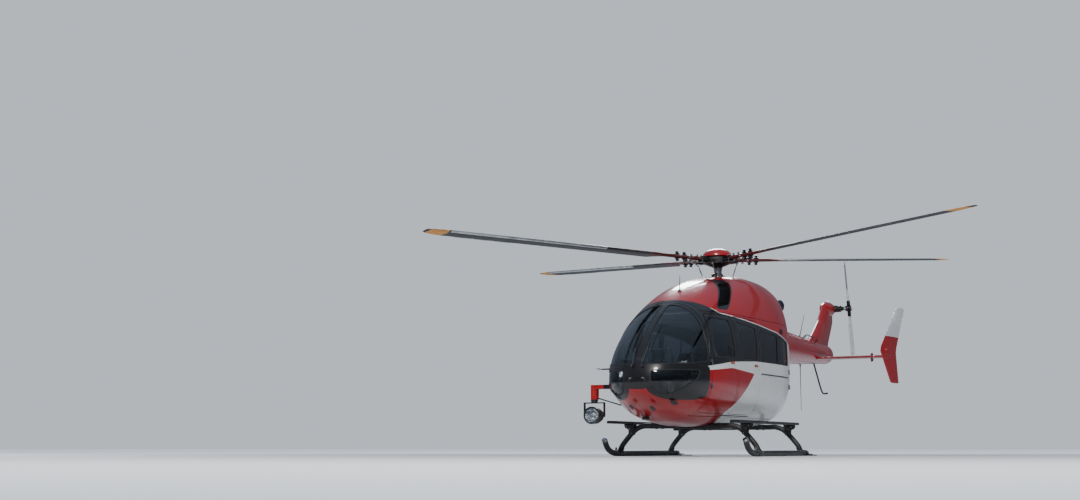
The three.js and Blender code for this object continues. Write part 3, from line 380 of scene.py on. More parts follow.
def nose_sections(x):
    ahead = np.clip(x, 0, None) / NOSE_TIP
    return [
        HALF_WIDTH * fall((x - 1.3) / (NOSE_TIP - 1.3), 2.6),
        NOSE_LEVEL - (NOSE_LEVEL - BELLY) * fall((x - 1.4) / (NOSE_TIP - 1.4), 2.2),
        NOSE_LEVEL + 0.21 * (1 - ahead**2),
        NOSE_LEVEL + (ROOF - NOSE_LEVEL) * fall((x + 0.3) / (NOSE_TIP + 0.3), 1.7),
        2.7 - 0.6 * ahead,
        3.0 - ahead,
    ]


def between_stations(x, column):
    """A smooth curve through the stations that never overshoots them."""
    at, value = STATIONS[:, 0], STATIONS[:, column]
    slope = np.diff(value) / np.diff(at)
    both = slope[:-1] * slope[1:]
    inner = np.where(both > 0, 2 * both / np.where(both > 0, slope[:-1] + slope[1:], 1), 0)
    start = (nose_sections(np.array(1e-4))[3] - value[0]) / 1e-4 if column == 4 else 0
    tangent = np.concatenate([[start], inner, slope[-1:]])
    k = np.clip(np.searchsorted(-at, -x, side="right") - 1, 0, len(at) - 2)
    run = at[k + 1] - at[k]
    t = np.clip((x - at[k]) / run, 0, 1)
    return (
        (2 * t**3 - 3 * t**2 + 1) * value[k]
        + (3 * t**2 - 2 * t**3) * value[k + 1]
        + (t**3 - 2 * t**2 + t) * run * tangent[k]
        + (t**3 - t**2) * run * tangent[k + 1]
    )


def sections(x):
    """Half width, lowest, widest and highest level, and the two roundnesses, at stations from the mast."""
    x = np.asarray(x, float)
    behind = [between_stations(np.minimum(x, 0), column) for column in range(1, 7)]
    return [np.where(x > 0, a, b) for a, b in zip(nose_sections(x), behind)]


STATIONS[0, 4] = nose_sections(np.array(0.0))[3]

# A place on the skin is a pair: how far aft of the nose tip it is, along the skin, and its share
# of the half turn from the middle of the roof to the middle of the belly, with port positive.
TABLE_X = NOSE_TIP - (NOSE_TIP + 6.0) * np.linspace(0, 1, 8000) ** 3
TABLE_ROUND = sections(TABLE_X)[0] / 2 + (sections(TABLE_X)[3] - sections(TABLE_X)[1]) / 4
TABLE_AFT = np.concatenate([[0], np.cumsum(np.hypot(np.diff(TABLE_X), np.diff(TABLE_ROUND)))])
# The skin is laid out flat round the nose tip, so that small shapes keep their form wherever they are.
TABLE_STEPS = np.diff(TABLE_AFT) / np.maximum(TABLE_ROUND[1:], 1e-5)
TABLE_SPREAD = np.exp(np.concatenate([[0], np.cumsum(TABLE_STEPS)]) - 8)
TABLE_SPREAD -= TABLE_SPREAD[0]


def aft_of(x):
    return np.interp(-np.asarray(x, float), -TABLE_X, TABLE_AFT)


def laid_flat(places):
    spread = np.interp(places[:, 0], TABLE_AFT, TABLE_SPREAD)
    return np.stack([spread * np.cos(math.pi * places[:, 1]), spread * np.sin(math.pi * places[:, 1])], -1)


def from_flat(flat):
    aft = np.interp(np.hypot(flat[:, 0], flat[:, 1]), TABLE_SPREAD, TABLE_AFT)
    return np.stack([aft, np.arctan2(flat[:, 1], flat[:, 0]) / math.pi], -1)


def bare_skin(aft, turn):
    x = np.interp(aft, TABLE_AFT, TABLE_X)
    half, low, widest, top, low_power, top_power = sections(x)
    turn = (turn + 1) % 2 - 1
    angle = math.pi / 2 * (1 - 2 * np.abs(turn))
    across, up = np.abs(np.cos(angle)), np.sin(angle)
    power = np.where(up >= 0, top_power, low_power)
    height = np.where(up >= 0, top - widest, widest - low)
    reach = (across**power + np.abs(up) ** power) ** (-1 / power)
    return np.stack([x + MAST_X, np.sign(turn) * half * across * reach, widest + height * up * reach], -1)


def slopes(places):
    """How the skin's point moves with each number of a place."""
    aft, turn = np.maximum(places[..., 0], 4e-4), places[..., 1]
    step = 2e-4
    along = (bare_skin(aft + step, turn) - bare_skin(aft - step, turn)) / (2 * step)
    around = (bare_skin(aft, turn + step) - bare_skin(aft, turn - step)) / (2 * step)
    return along, around


def skin(places, depth=0.0):
    """Points at a depth below the skin, and the skin's outward normals there."""
    along, around = slopes(places)
    normal = np.cross(around, along)
    normal /= np.maximum(np.linalg.norm(normal, axis=-1, keepdims=True), 1e-12)
    normal = np.where(places[..., :1] < 2e-3, (1.0, 0.0, 0.0), normal)
    points = bare_skin(places[..., 0], places[..., 1])
    return points - normal * np.reshape(depth, (-1, 1) if np.ndim(depth) else ()), normal


def pierced(starts, direction, limit=3.5):
    """Places where straight lines from inside the body come out of its skin. Stations count from the mast."""
    starts = np.atleast_2d(np.array(starts, float))
    directions = np.broadcast_to(np.array(direction, float), starts.shape)
    near, far = np.zeros(len(starts)), np.full(len(starts), limit)
    for _ in range(48):
        middle = (near + far) / 2
        x, y, z = (starts + directions * middle[:, None]).T
        half, low, widest, top, low_power, top_power = sections(x)
        power = np.where(z > widest, top_power, low_power)
        height = np.maximum(np.where(z > widest, top - widest, widest - low), 1e-9)
        within = (np.abs(y) / np.maximum(half, 1e-9)) ** power + (np.abs(z - widest) / height) ** power < 1
        near, far = np.where(within, middle, near), np.where(within, far, middle)
    x, y, z = (starts + directions * near[:, None]).T
    half, low, widest, top, _, _ = sections(x)
    height = np.where(z > widest, top - widest, widest - low)
    angle = np.arctan2((z - widest) / np.maximum(height, 1e-9), np.abs(y) / np.maximum(half, 1e-9))
    return np.stack([aft_of(x), np.where(y < 0, -1, 1) * (0.5 - angle / math.pi)], -1)


def dense(points, step=0.02, closed=True):
    """A plane outline with points added along its straight sides."""
    points = np.array(points, float)
    ends = np.roll(points, -1, 0) if closed else points[1:]
    out = []
    for a, b in zip(points, ends):
        count = max(1, int(np.ceil(np.linalg.norm(b - a) / step)))
        out.extend(a + (b - a) * k / count for k in range(count))
    return np.array(out if closed else [*out, points[-1]])


def from_side(points, closed=True):
    """Places on the port side under a line drawn in the side view: station and level."""
    points = dense(points, closed=closed)
    return pierced(np.stack([points[:, 0], 0 * points[:, 0], points[:, 1]], -1), PORT)


def from_front(points, closed=True, way=1):
    """Places under a line drawn in the front view, or in the back view where way is -1: to port and level."""
    points = dense(points, closed=closed)
    start = 0.0 if way > 0 else -1.0
    return pierced(np.stack([0 * points[:, 0] + start, points[:, 0], points[:, 1]], -1), (way, 0, 0))


def across(turns, aft0, aft1, ahead_of):
    """Places at given turns where a plane, given by how far a point lies ahead of it, cuts the skin."""
    turns = np.array(turns, float)
    near, far = np.full(len(turns), float(aft0)), np.full(len(turns), float(aft1))
    for _ in range(40):
        middle = (near + far) / 2
        point = bare_skin(middle, turns) - (MAST_X, 0, 0)
        ahead = ahead_of(point[:, 0], point[:, 2]) > 0
        near, far = np.where(ahead, middle, near), np.where(ahead, far, middle)
    return np.stack([near, turns], -1)


def turn_at(x, z):
    return float(from_side([(x, z), (x, z)], closed=False)[0, 1])


def ring(x, turn0, turn1, step=0.02):
    """Places round the body at one station."""
    count = max(2, int(abs(turn1 - turn0) * 3.3 / step))
    return np.stack([np.full(count, float(aft_of(x))), np.linspace(turn0, turn1, count)], -1)


def to_starboard(places):
    return places[::-1] * (1, -1)


def softened(loop, radius, closed=True):
    """The same outline with its corners rounded."""
    points, flat = skin(loop)[0], laid_flat(loop)
    count = len(loop)
    steps = np.roll(points, -1, 0) - points
    lengths = np.linalg.norm(steps, axis=1)
    ways = steps / np.maximum(lengths, 1e-9)[:, None]
    turn = np.einsum("ij,ij->i", np.roll(ways, 1, 0), ways)
    corners = [k for k in range(count) if turn[k] < 0.92 and (closed or 0 < k < count - 1)]
    if not corners:
        return loop
    total = np.concatenate([[0], np.cumsum(lengths)])
    whole = total[-1] if closed else total[-2]
    ends = np.vstack([flat, flat[:1]]) if closed else flat
    total = total if closed else total[:-1]

    def at(distance):
        distance = distance % whole if closed else distance
        return np.array([np.interp(distance, total, ends[:, k]) for k in range(2)])

    gone = np.zeros(count, bool)
    bends = []
    for n, k in enumerate(corners):
        before, after = corners[n - 1], corners[(n + 1) % len(corners)]
        gaps = [(total[k] - total[before]) % whole, (total[after] - total[k]) % whole]
        reach = min([radius, *(gap / 2.1 for gap in gaps if gap > 0)])
        distance = np.abs(total[:count] - total[k])
        distance = np.minimum(distance, whole - distance) if closed else distance
        gone |= distance < reach + 1e-6
        a, b, c = at(total[k] - reach), at(total[k] + reach), flat[k]
        bend = [(1 - t) ** 2 * a + 2 * t * (1 - t) * c + t * t * b for t in np.linspace(0, 1, 9)]
        bends.append((total[k], bend))
    kept = [(total[k], [flat[k]]) for k in range(count) if not gone[k]]
    runs = sorted(kept + bends, key=operator.itemgetter(0))
    return from_flat(np.array([p for _, run in runs for p in run]))


def area(flat):
    return np.sum(flat[:, 0] * np.roll(flat[:, 1], -1) - flat[:, 1] * np.roll(flat[:, 0], -1)) / 2


def outwards(loop, closed=True):
    """How a place on an outline moves for each metre out of it, and the way that is."""
    points, normal = skin(loop)
    along, around = slopes(loop)
    forward = np.roll(points, -1, 0) - np.roll(points, 1, 0) if closed else np.gradient(points, axis=0)
    side = np.cross(forward, normal)
    side /= np.maximum(np.linalg.norm(side, axis=1, keepdims=True), 1e-12)
    aa, ab, bb = ((p * q).sum(1) for p, q in ((along, along), (along, around), (around, around)))
    sa, sb = (along * side).sum(1), (around * side).sum(1)
    moves = np.stack([sa * bb - sb * ab, sb * aa - sa * ab], -1) / (aa * bb - ab * ab)[:, None]
    if closed and abs(area(laid_flat(loop + moves * 1e-4))) < abs(area(laid_flat(loop))):
        moves, side = -moves, -side
    return moves, side


def wrapped(places):
    return np.stack([places[:, 0], (places[:, 1] + 1) % 2 - 1], -1)


def shifted(loop, by, closed=True):
    """The outline moved outwards over the skin by a length in metres, inwards where it is negative."""
    return wrapped(loop + outwards(loop, closed)[0] * by)


def inside(points, loop):
    crosses = np.zeros(len(points), int)
    x, y = points[:, 0], points[:, 1]
    for (x0, y0), (x1, y1) in zip(loop, np.roll(loop, -1, 0)):
        if y0 != y1:
            crosses += ((y0 > y) != (y1 > y)) & (x < x0 + (y - y0) / (y1 - y0) * (x1 - x0))
    return crosses % 2 == 1


def filled(outer, holes, spacing):
    """Triangles that fill an outline on the skin, apart from its holes."""
    loops = [laid_flat(loop) for loop in (outer, *holes)]
    rims = np.vstack(loops)
    rows = [np.zeros((1, 2))]
    full = abs(outer[:, 1]).max() > 0.97 or outer[:, 1].min() * outer[:, 1].max() < 0
    low, high = (-1, 1) if full else (outer[:, 1].min(), outer[:, 1].max())
    for k in range(max(0, int(outer[:, 0].min() / spacing) - 1), int(outer[:, 0].max() / spacing) + 1):
        aft = spacing * (k + 0.6)
        step = spacing / (np.interp(aft, TABLE_AFT, TABLE_ROUND) * math.pi)
        turns = np.arange(low + step * (0.25 + 0.5 * (k % 2)), high, step)
        rows.append(np.stack([np.full(len(turns), aft), turns], -1))
    grid = np.vstack(rows)
    flat = laid_flat(grid)
    keep = inside(flat, loops[0])
    for hole in loops[1:]:
        keep &= ~inside(flat, hole)
    grid, flat = grid[keep], flat[keep]
    size = np.interp(grid[:, 0], TABLE_AFT, TABLE_ROUND)
    size /= np.maximum(np.hypot(flat[:, 0], flat[:, 1]), 1e-9)
    near = np.full(len(grid), 1e9)
    for rim in np.array_split(rims, max(1, len(rims) // 100)):
        near = np.minimum(near, np.hypot(flat[:, :1] - rim[:, 0], flat[:, 1:] - rim[:, 1]).min(1))
    flat = flat[(near * size > spacing * 0.5) | (grid[:, 0] == 0)]
    points = np.vstack([rims, flat])
    edges, start = [], 0
    for loop in loops:
        edges += [(start + k, start + (k + 1) % len(loop)) for k in range(len(loop))]
        start += len(loop)
    found = geometry.delaunay_2d_cdt([Vector(p) for p in points], edges, [], 0, 1e-9)
    verts, faces = np.array([tuple(v) for v in found[0]]), np.array(list(found[2]))
    middles = verts[faces].mean(1)
    keep = inside(middles, loops[0])
    for hole in loops[1:]:
        keep &= ~inside(middles, hole)
    return from_flat(verts), faces[keep]


class BodyPanel:
    """Sheets and bands that are laid on the body's skin, and welded into one piece."""

    def __init__(self):
        self.points, self.normals, self.faces, self.finishes, self.count = [], [], [], [], 0

    def add(self, points, normals, faces, finish):
        a, b, c = (points[faces[:, k]] for k in range(3))
        wrong = np.einsum("ij,ij->i", np.cross(b - a, c - a), normals[faces].sum(1)) < 0
        faces = np.where(wrong[:, None], faces[:, ::-1], faces)
        self.points.append(points)
        self.normals.append(normals)
        self.faces.append(faces + self.count)
        self.finishes.append(np.full(len(faces), finish))
        self.count += len(points)

    def sheet(self, outer, holes=(), depth=0.0, spacing=0.04, finish=0, inward=False):
        places, faces = filled(outer, holes, spacing)
        points, normals = skin(places, depth)
        self.add(points, -normals if inward else normals, faces, finish)

    def band(self, loop, profile, finish=0, closed=True, outward=1, ring=False):
        """A strip along an outline. Its profile is how far out of the outline and how deep below the skin.
        A ring's profile closes on itself, and any other's ends meet sheets smoothly."""
        profile = np.array(profile, float)
        around = np.vstack([profile[-1:], profile, profile[:1]])
        lean = around[2:] - around[:-2] if ring else np.gradient(profile, axis=0)
        lean /= np.maximum(np.linalg.norm(lean, axis=1, keepdims=True), 1e-9)
        moves, side = outwards(loop, closed)
        points, normals = [], []
        for k, (out, depth) in enumerate(profile):
            here, up = skin(wrapped(loop + moves * out * outward), depth)
            facing = up * lean[k, 0] + side * outward * lean[k, 1]
            if not ring and k in (0, len(profile) - 1):
                facing = up if k == 0 else -up
            points.append(here)
            normals.append(facing / np.linalg.norm(facing, axis=1, keepdims=True))
        count = len(loop)
        k = np.arange(count if closed else count - 1)
        faces = []
        for r in range(len(profile) if ring else len(profile) - 1):
            a, b = r * count + k, r * count + (k + 1) % count
            d = (r + 1) % len(profile) * count + k
            c = d - k + (k + 1) % count
            faces += [np.stack([a, b, c], -1), np.stack([a, c, d], -1)]
        self.add(np.vstack(points), np.vstack(normals), np.vstack(faces), finish)

    def made(self, name, materials, body, *nodes, slot=None):
        mesh = new_mesh(name, np.vstack(self.points).tolist(), np.vstack(self.faces).tolist())
        mesh.polygons.foreach_set("material_index", np.concatenate(self.finishes).astype(np.int32))
        smooth = mesh.attributes.new("smooth_normal", "FLOAT_VECTOR", "POINT")
        smooth.data.foreach_set("vector", np.vstack(self.normals).astype(np.float32).ravel())
        welded = bmesh.new()
        welded.from_mesh(mesh)
        bmesh.ops.remove_doubles(welded, verts=welded.verts, dist=2e-5)
        welded.to_mesh(mesh)
        welded.free()
        kept = np.zeros(len(mesh.vertices) * 3, np.float32)
        mesh.attributes["smooth_normal"].data.foreach_get("vector", kept)
        mesh.attributes.remove(mesh.attributes["smooth_normal"])
        mesh.polygons.foreach_set("use_smooth", np.ones(len(mesh.polygons), bool))
        mesh.normals_split_custom_set_from_vertices(kept.reshape(-1, 3).tolist())
        return finished(name, mesh, materials, body, *nodes, slot=slot)


def finished(name, mesh, materials, body, *nodes, slot=None):
    """The piece with its materials, riding on its body in place of its solids."""
    for material in materials:
        mesh.materials.append(material)
    piece = placed(name, mesh)
    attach(piece, body)
    if nodes:
        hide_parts(*nodes)
    return piece


def edge_profile(depth, thickness, rounding):
    """Over a panel's rounded edge, from its outer face to its inner face."""
    outer = [(rounding * math.sin(a), depth + rounding * (1 - math.cos(a)))
             for a in np.radians([0, 30, 60, 90])]
    return outer + [(out, 2 * depth + thickness - down) for out, down in outer[::-1]]


def panel(name, outer, holes, materials, body, *nodes, depth=0.0, thickness=WALL, spacing=0.04,
          rounding=0.003, slot=None, bead=None):
    """A thick curved panel, rounded round its outline and its holes. Its bead is of its third material."""
    made = BodyPanel()
    rim, openings = shifted(outer, -rounding), [shifted(hole, rounding) for hole in holes]
    made.sheet(rim, openings, depth, spacing)
    made.sheet(rim, openings, depth + thickness, spacing * 1.5, 1, inward=True)
    made.band(rim, edge_profile(depth, thickness, rounding))
    for opening in openings:
        made.band(opening, edge_profile(depth, thickness, rounding), outward=-1)
    if bead:
        made.band(*bead, 2, ring=True)
    return made.made(name, materials, body, *nodes, slot=slot)


def plate(name, loop, material, body, depth, thickness, spacing, rounding, holes=()):
    """A thin piece in one material, set into the skin."""
    panel(name, loop, holes, [material, material], body, depth=depth, thickness=thickness, spacing=spacing,
          rounding=rounding)


SIDES = ((1, "left"), (-1, "right"))


def on_side(loop, way):
    return loop if way > 0 else to_starboard(loop)


JOINT = 0.0035  # half the width of the joint between two skins
NOSE_EDGE, NOSE_BEND, NOSE_RAKE = 2.472, 1.46, 0.292 / 0.99  # upright below the bend, and raked above it
DOOR_POST, POST_RAKE, CENTRE_POST = (2.52, 1.40), (2.225 - 2.52) / (2.45 - 1.40), 0.045


def ahead_of_nose_edge(shift):
    def ahead(x, z):
        return x - shift - np.where(z < NOSE_BEND, NOSE_EDGE, NOSE_EDGE - (z - NOSE_BEND) * NOSE_RAKE)

    return ahead


def ahead_of_door_post(x, z):
    return x - (DOOR_POST[0] + (z - DOOR_POST[1]) * POST_RAKE)


def windscreen_outline():
    """Up the centre post, down the leaning door post and forward along the sill."""
    post = CENTRE_POST
    corner = turn_at(*DOOR_POST)
    rear = across(np.linspace(0.02, corner, 60), aft_of(3.2), aft_of(2.0), ahead_of_door_post)
    points = bare_skin(rear[:, 0], rear[:, 1]) - (MAST_X, 0, 0)
    rear, points = rear[points[:, 1] > post], points[points[:, 1] > post]
    up = from_front([(post, 1.35), (post, points[0, 2] - 0.012)], closed=False)
    y = np.linspace(points[-1, 1], post, 60)[1:]
    z = np.full(len(y), 1.34)
    for _ in range(6):
        places = pierced(np.stack([0 * y, y, z], -1), FORE)
        x = bare_skin(places[:, 0], places[:, 1])[:, 0] - MAST_X
        z = np.interp(x, [2.52, 3.0, 3.7], [1.40, 1.345, 1.325])
    return softened(np.vstack([rear, places, up[1:]]), 0.06)


WINDSCREEN = windscreen_outline()
CHIN_OUTLINE = [(0.200, 1.245), (0.730, 1.262), (0.715, 1.130), (0.590, 0.985), (0.430, 0.885),
                (0.300, 0.890), (0.215, 0.985)]
CHIN_WINDOW = softened(from_front(CHIN_OUTLINE), 0.07)


def nose():
    outer = across(np.linspace(-1, 1, 241)[:-1], aft_of(2.9), aft_of(1.9), ahead_of_nose_edge(JOINT))
    holes = [on_side(window, way) for window in (WINDSCREEN, CHIN_WINDOW) for way, _ in SIDES]
    panel("nose_skin", outer, holes, [PAINT, LINER], "airframe", "nose_shell", spacing=0.034, slot="body_red")


nose()


# Belly and side frames
# The belly is one white skin between the sills. Above it the side frames carry the door openings
# and the long cabin windows, and run over the roof ahead of the cowling as one bonded frame.

SILL, SEAL_GAP = 0.60, 0.011
COWL_EDGE, COWL_REAR, COWL_FORE = 2.19, -1.9, 2.15  # where the cowling meets the frame: level and stations
CLAM_FRONT, CLAM_TOP = -1.102, 1.528
COCKPIT_DOOR = softened(from_side([(2.425, 0.65), (1.52, 0.65), (1.52, 2.15), (2.165, 2.15),
                                   (2.425, 1.42)]), 0.07)
SLIDING_DOOR = softened(from_side([(1.43, 0.65), (0.48, 0.65), (0.48, 2.14), (1.43, 2.15)]), 0.07)
CABIN_WINDOW = softened(from_side([(0.4, 1.505), (-1.01, 1.505), (-1.01, 1.89), (-0.48, 1.975),
                                   (0.4, 2.02)]), 0.07)


def low_at(z):
    """The station behind the cabin where the belly's line has risen to a level."""
    x = np.linspace(-1.1, -2.0, 2000)
    return float(np.interp(z, sections(x)[1], x))


def level_line(z, x0, x1):
    return from_side([(x0, z), (x1, z)], closed=False)


def round_under(edge, rear, fore, turns):
    """Round the body at a level, and over the roof in front.
    The rear edge runs over the roof where turns is 0, and under the belly where it is 2."""
    side = level_line(edge, rear, fore)
    high, crown = turn_at(rear, edge), turn_at(fore, edge)
    front, back = ring(fore, crown, -crown), ring(rear, turns - high, high)
    return np.vstack([side[:-1], front[:-1], to_starboard(side)[:-1], back[:-1]])


def belly():
    foot, heel = turn_at(2.469, SILL - JOINT), turn_at(CLAM_FRONT, SILL - JOINT)
    port = level_line(SILL - JOINT, CLAM_FRONT, 2.469)
    outer = np.vstack([port[:-1], ring(2.469, foot, 2 - foot), to_starboard(port)[1:-1],
                       ring(CLAM_FRONT, 2 - heel, heel)[:-1]])
    panel("belly_skin", wrapped(outer), [], [PAINT, LINER], "airframe", "belly_shell", slot="body_white")


def side_frames():
    foot = turn_at(NOSE_EDGE - JOINT, SILL + JOINT)
    front = across(np.linspace(-foot, foot, 200), aft_of(2.9), aft_of(1.9), ahead_of_nose_edge(-JOINT))
    tail = low_at(CLAM_TOP)
    port = np.vstack([
        level_line(SILL + JOINT, 2.46, CLAM_FRONT)[:-1],
        from_side([(CLAM_FRONT, SILL + JOINT), (CLAM_FRONT, CLAM_TOP)], closed=False)[:-1],
        level_line(CLAM_TOP, CLAM_FRONT, tail + 0.004),
    ])
    inner = np.vstack([front[:-1], port, to_starboard(port)[:-1]])
    outer = round_under(COWL_EDGE - JOINT, COWL_REAR, COWL_FORE + JOINT, 2)
    holes = [on_side(shifted(door, SEAL_GAP), way) for door in (COCKPIT_DOOR, SLIDING_DOOR)
             for way, _ in SIDES]
    holes += [on_side(CABIN_WINDOW, way) for way, _ in SIDES]
    panel("side_frames", wrapped(outer), [wrapped(inner), *holes], [PAINT, LINER], "airframe",
          "side_frame_left", "side_frame_right", slot="body_white")


belly()
side_frames()


# Engine cowling
# A red cowling lies over the engines and gearbox, with an intake each side, a round opening
# for the mast and two for the exhausts. Quick-release screws hold it along its lower edge.

INTAKE = softened(from_side([(1.70, 2.285), (1.33, 2.35), (0.70, 2.775), (1.03, 2.725)]), 0.07)
EXHAUST = {"radius": 0.112, "wall": 0.009, "from": (-1.20, 0.335, 2.50), "to": (-1.78, 0.47, 2.61)}
MAST_LEAN = math.radians(2)


def round_hole(centre, direction, radius, count=48):
    """Places where a round bore comes out of the skin."""
    way = Vector(direction).normalized()
    one = way.orthogonal().normalized()
    two = way.cross(one)
    angles = np.linspace(0, 2 * math.pi, count, endpoint=False)
    starts = [Vector(centre) + radius * (math.cos(a) * one + math.sin(a) * two) for a in angles]
    return pierced([tuple(p) for p in starts], tuple(way))


def cowling():
    outer = round_under(COWL_EDGE + JOINT, COWL_REAR + JOINT, COWL_FORE - JOINT, 0)
    pipe = np.array(EXHAUST["to"]) - EXHAUST["from"]
    outlet = round_hole(EXHAUST["from"], pipe, EXHAUST["radius"] + 0.012)
    mast = round_hole((-0.0223, 0, 2.6), (math.sin(MAST_LEAN), 0, math.cos(MAST_LEAN)), 0.30)
    holes = [mast, *(on_side(hole, way) for hole in (INTAKE, outlet) for way, _ in SIDES)]
    panel("cowling_skin", outer, holes, [PAINT, LINER], "airframe", "engine_cowling", slot="body_red")


cowling()


# Window panes
# The windscreens, chin windows and cabin windows are tinted acrylic, 10 mm thick.
# Each is bonded into its opening with a bead of black sealant.


def clear_sheet(name, colour, roughness, ior, smears, ripples, dust, streaks, size=1.0):
    """Clear plastic or glass. Its smears are how much grime roughens it and how rough it is where clean,
    and its ripples are their strength and their depth."""
    look = Weathered(name, colour, roughness, dust, streaks, size, transmission_weight=1.0, ior=ior)
    look.set(roughness=look.maths("MULTIPLY_ADD", look.grime, *smears))
    look.bumped(look.ripple, *ripples)
    return look.material


def black_rubber():
    look = Weathered("black_rubber", (0.012, 0.012, 0.013), 0.62, dust=0.5, streaks=0.2)
    look.set(base_color=look.mixed(look.grime, (0.012, 0.012, 0.013), (0.07, 0.063, 0.055)))
    look.bumped(look.fine, 0.35, 0.0008)
    return look.material


ACRYLIC = clear_sheet("tinted_acrylic", (0.42, 0.48, 0.52), 0.02, 1.49, (0.35, 0.015), (0.02, 0.002),
                      0.35, 0.25, 0.3)
RUBBER = black_rubber()
SEALANT = [(-0.0125, 0.0078), (-0.011, 0.003), (-0.006, -0.0010), (0.0, -0.0022), (0.007, -0.0006),
           (0.002, 0.006), (-0.004, 0.0082)]


def pane(name, hole, way, body, node):
    """A pane with its bead of sealant, in its window opening."""
    outer = on_side(hole, way)
    panel(name, shifted(outer, -0.0004), [], [ACRYLIC, ACRYLIC, RUBBER], body, node, depth=0.008,
          thickness=0.010, spacing=0.045, rounding=0.0015, slot="window_tint", bead=(outer, SEALANT))


for way, side in SIDES:
    pane(f"windscreen_pane_{side}", WINDSCREEN, way, "airframe", f"windscreen_{side}")
    pane(f"chin_pane_{side}", CHIN_WINDOW, way, "airframe", f"chin_window_{side}")
    pane(f"cabin_pane_{side}", CABIN_WINDOW, way, "airframe", f"cabin_window_{side}")


# Cockpit doors and sliding doors
# Each door is a bonded shell as thick as the wall, with its own pane. The cockpit doors hang on hinges at
# their front edges, and the sliding doors ride on rails. A rubber bulb round each opening seals the gap.

COCKPIT_WINDOW = softened(from_side([(2.345, 1.475), (1.585, 1.49), (1.585, 2.085), (2.13, 2.105)]), 0.07)
SLIDING_WINDOW = softened(from_side([(1.36, 1.49), (0.56, 1.50), (0.56, 2.03), (1.36, 2.08)]), 0.07)
BULB = [(-0.0085, 0.018), (-0.0075, 0.0125), (-0.003, 0.0105), (0.001, 0.0105), (0.001, 0.026),
        (-0.004, 0.0255), (-0.0075, 0.0235)]
BODY_OF = {"cockpit_left": "cockpit_door_port", "cockpit_right": "cockpit_door_starboard",
           "sliding_left": "airframe", "sliding_right": "airframe",
           "clamshell_left": "clamshell_port", "clamshell_right": "clamshell_starboard"}


def side_doors():
    for way, side in SIDES:
        for kind, door, window in (("cockpit", COCKPIT_DOOR, COCKPIT_WINDOW),
                                   ("sliding", SLIDING_DOOR, SLIDING_WINDOW)):
            body = BODY_OF[f"{kind}_{side}"]
            panel(f"{kind}_door_skin_{side}", on_side(door, way), [on_side(window, way)], [PAINT, LINER],
                  body, f"{kind}_door_{side}", slot="body_red" if kind == "cockpit" else "body_white")
            pane(f"{kind}_door_pane_{side}", window, way, body, f"{kind}_door_glass_{side}")
            bulb = BodyPanel()
            bulb.band(on_side(shifted(door, SEAL_GAP), way), BULB, ring=True)
            bulb.made(f"{kind}_door_seal_{side}", [RUBBER], "airframe")


side_doors()


# Clamshell doors
# Two white doors close the round tail of the cabin. They meet on the middle line and
# hang at their outer front edges.


def clamshells():
    tail = low_at(1.52)
    x = np.linspace(-1.11, tail, 60)
    middle = pierced(np.stack([x, 0 * x + 0.005, sections(x)[2]], -1), (0, 0, -1))
    top = level_line(1.52, -1.11, tail + 0.006)
    front = ring(-1.11, float(middle[0, 1]), turn_at(-1.11, 1.52))
    door = softened(np.vstack([middle[::-1], front[1:-1], top]), 0.02)
    window = softened(from_front([(0.15, 1.06), (0.52, 1.06), (0.52, 1.44), (0.15, 1.44)], way=-1), 0.07)
    for way, side in SIDES:
        body = BODY_OF[f"clamshell_{side}"]
        panel(f"clamshell_skin_{side}", on_side(door, way), [on_side(window, way)], [PAINT, LINER], body,
              f"clamshell_door_{side}", slot="body_white")
        pane(f"clamshell_pane_{side}", window, way, body, f"clamshell_glass_{side}")


clamshells()


# Rails, handles and hinges
# The sliding doors run on alloy rails, and each door has a lever handle. The hinges are
# steel, with a knuckle on the body and one on the door. All of them stand on the skin.


def curve_through(points, steps=6):
    """A smooth path through some points."""
    points = [Vector(p) for p in points]
    last, out = len(points) - 1, []
    for k in range(last):
        p0, p1, p2, p3 = (points[min(max(k + n, 0), last)] for n in (-1, 0, 1, 2))
        for t in [n / steps for n in range(steps)]:
            bend = 2 * p1 + (p2 - p0) * t + (2 * p0 - 5 * p1 + 4 * p2 - p3) * t * t
            out.append(0.5 * (bend + (3 * p1 - p0 - 3 * p2 + p3) * t**3))
    return out + [points[-1]]


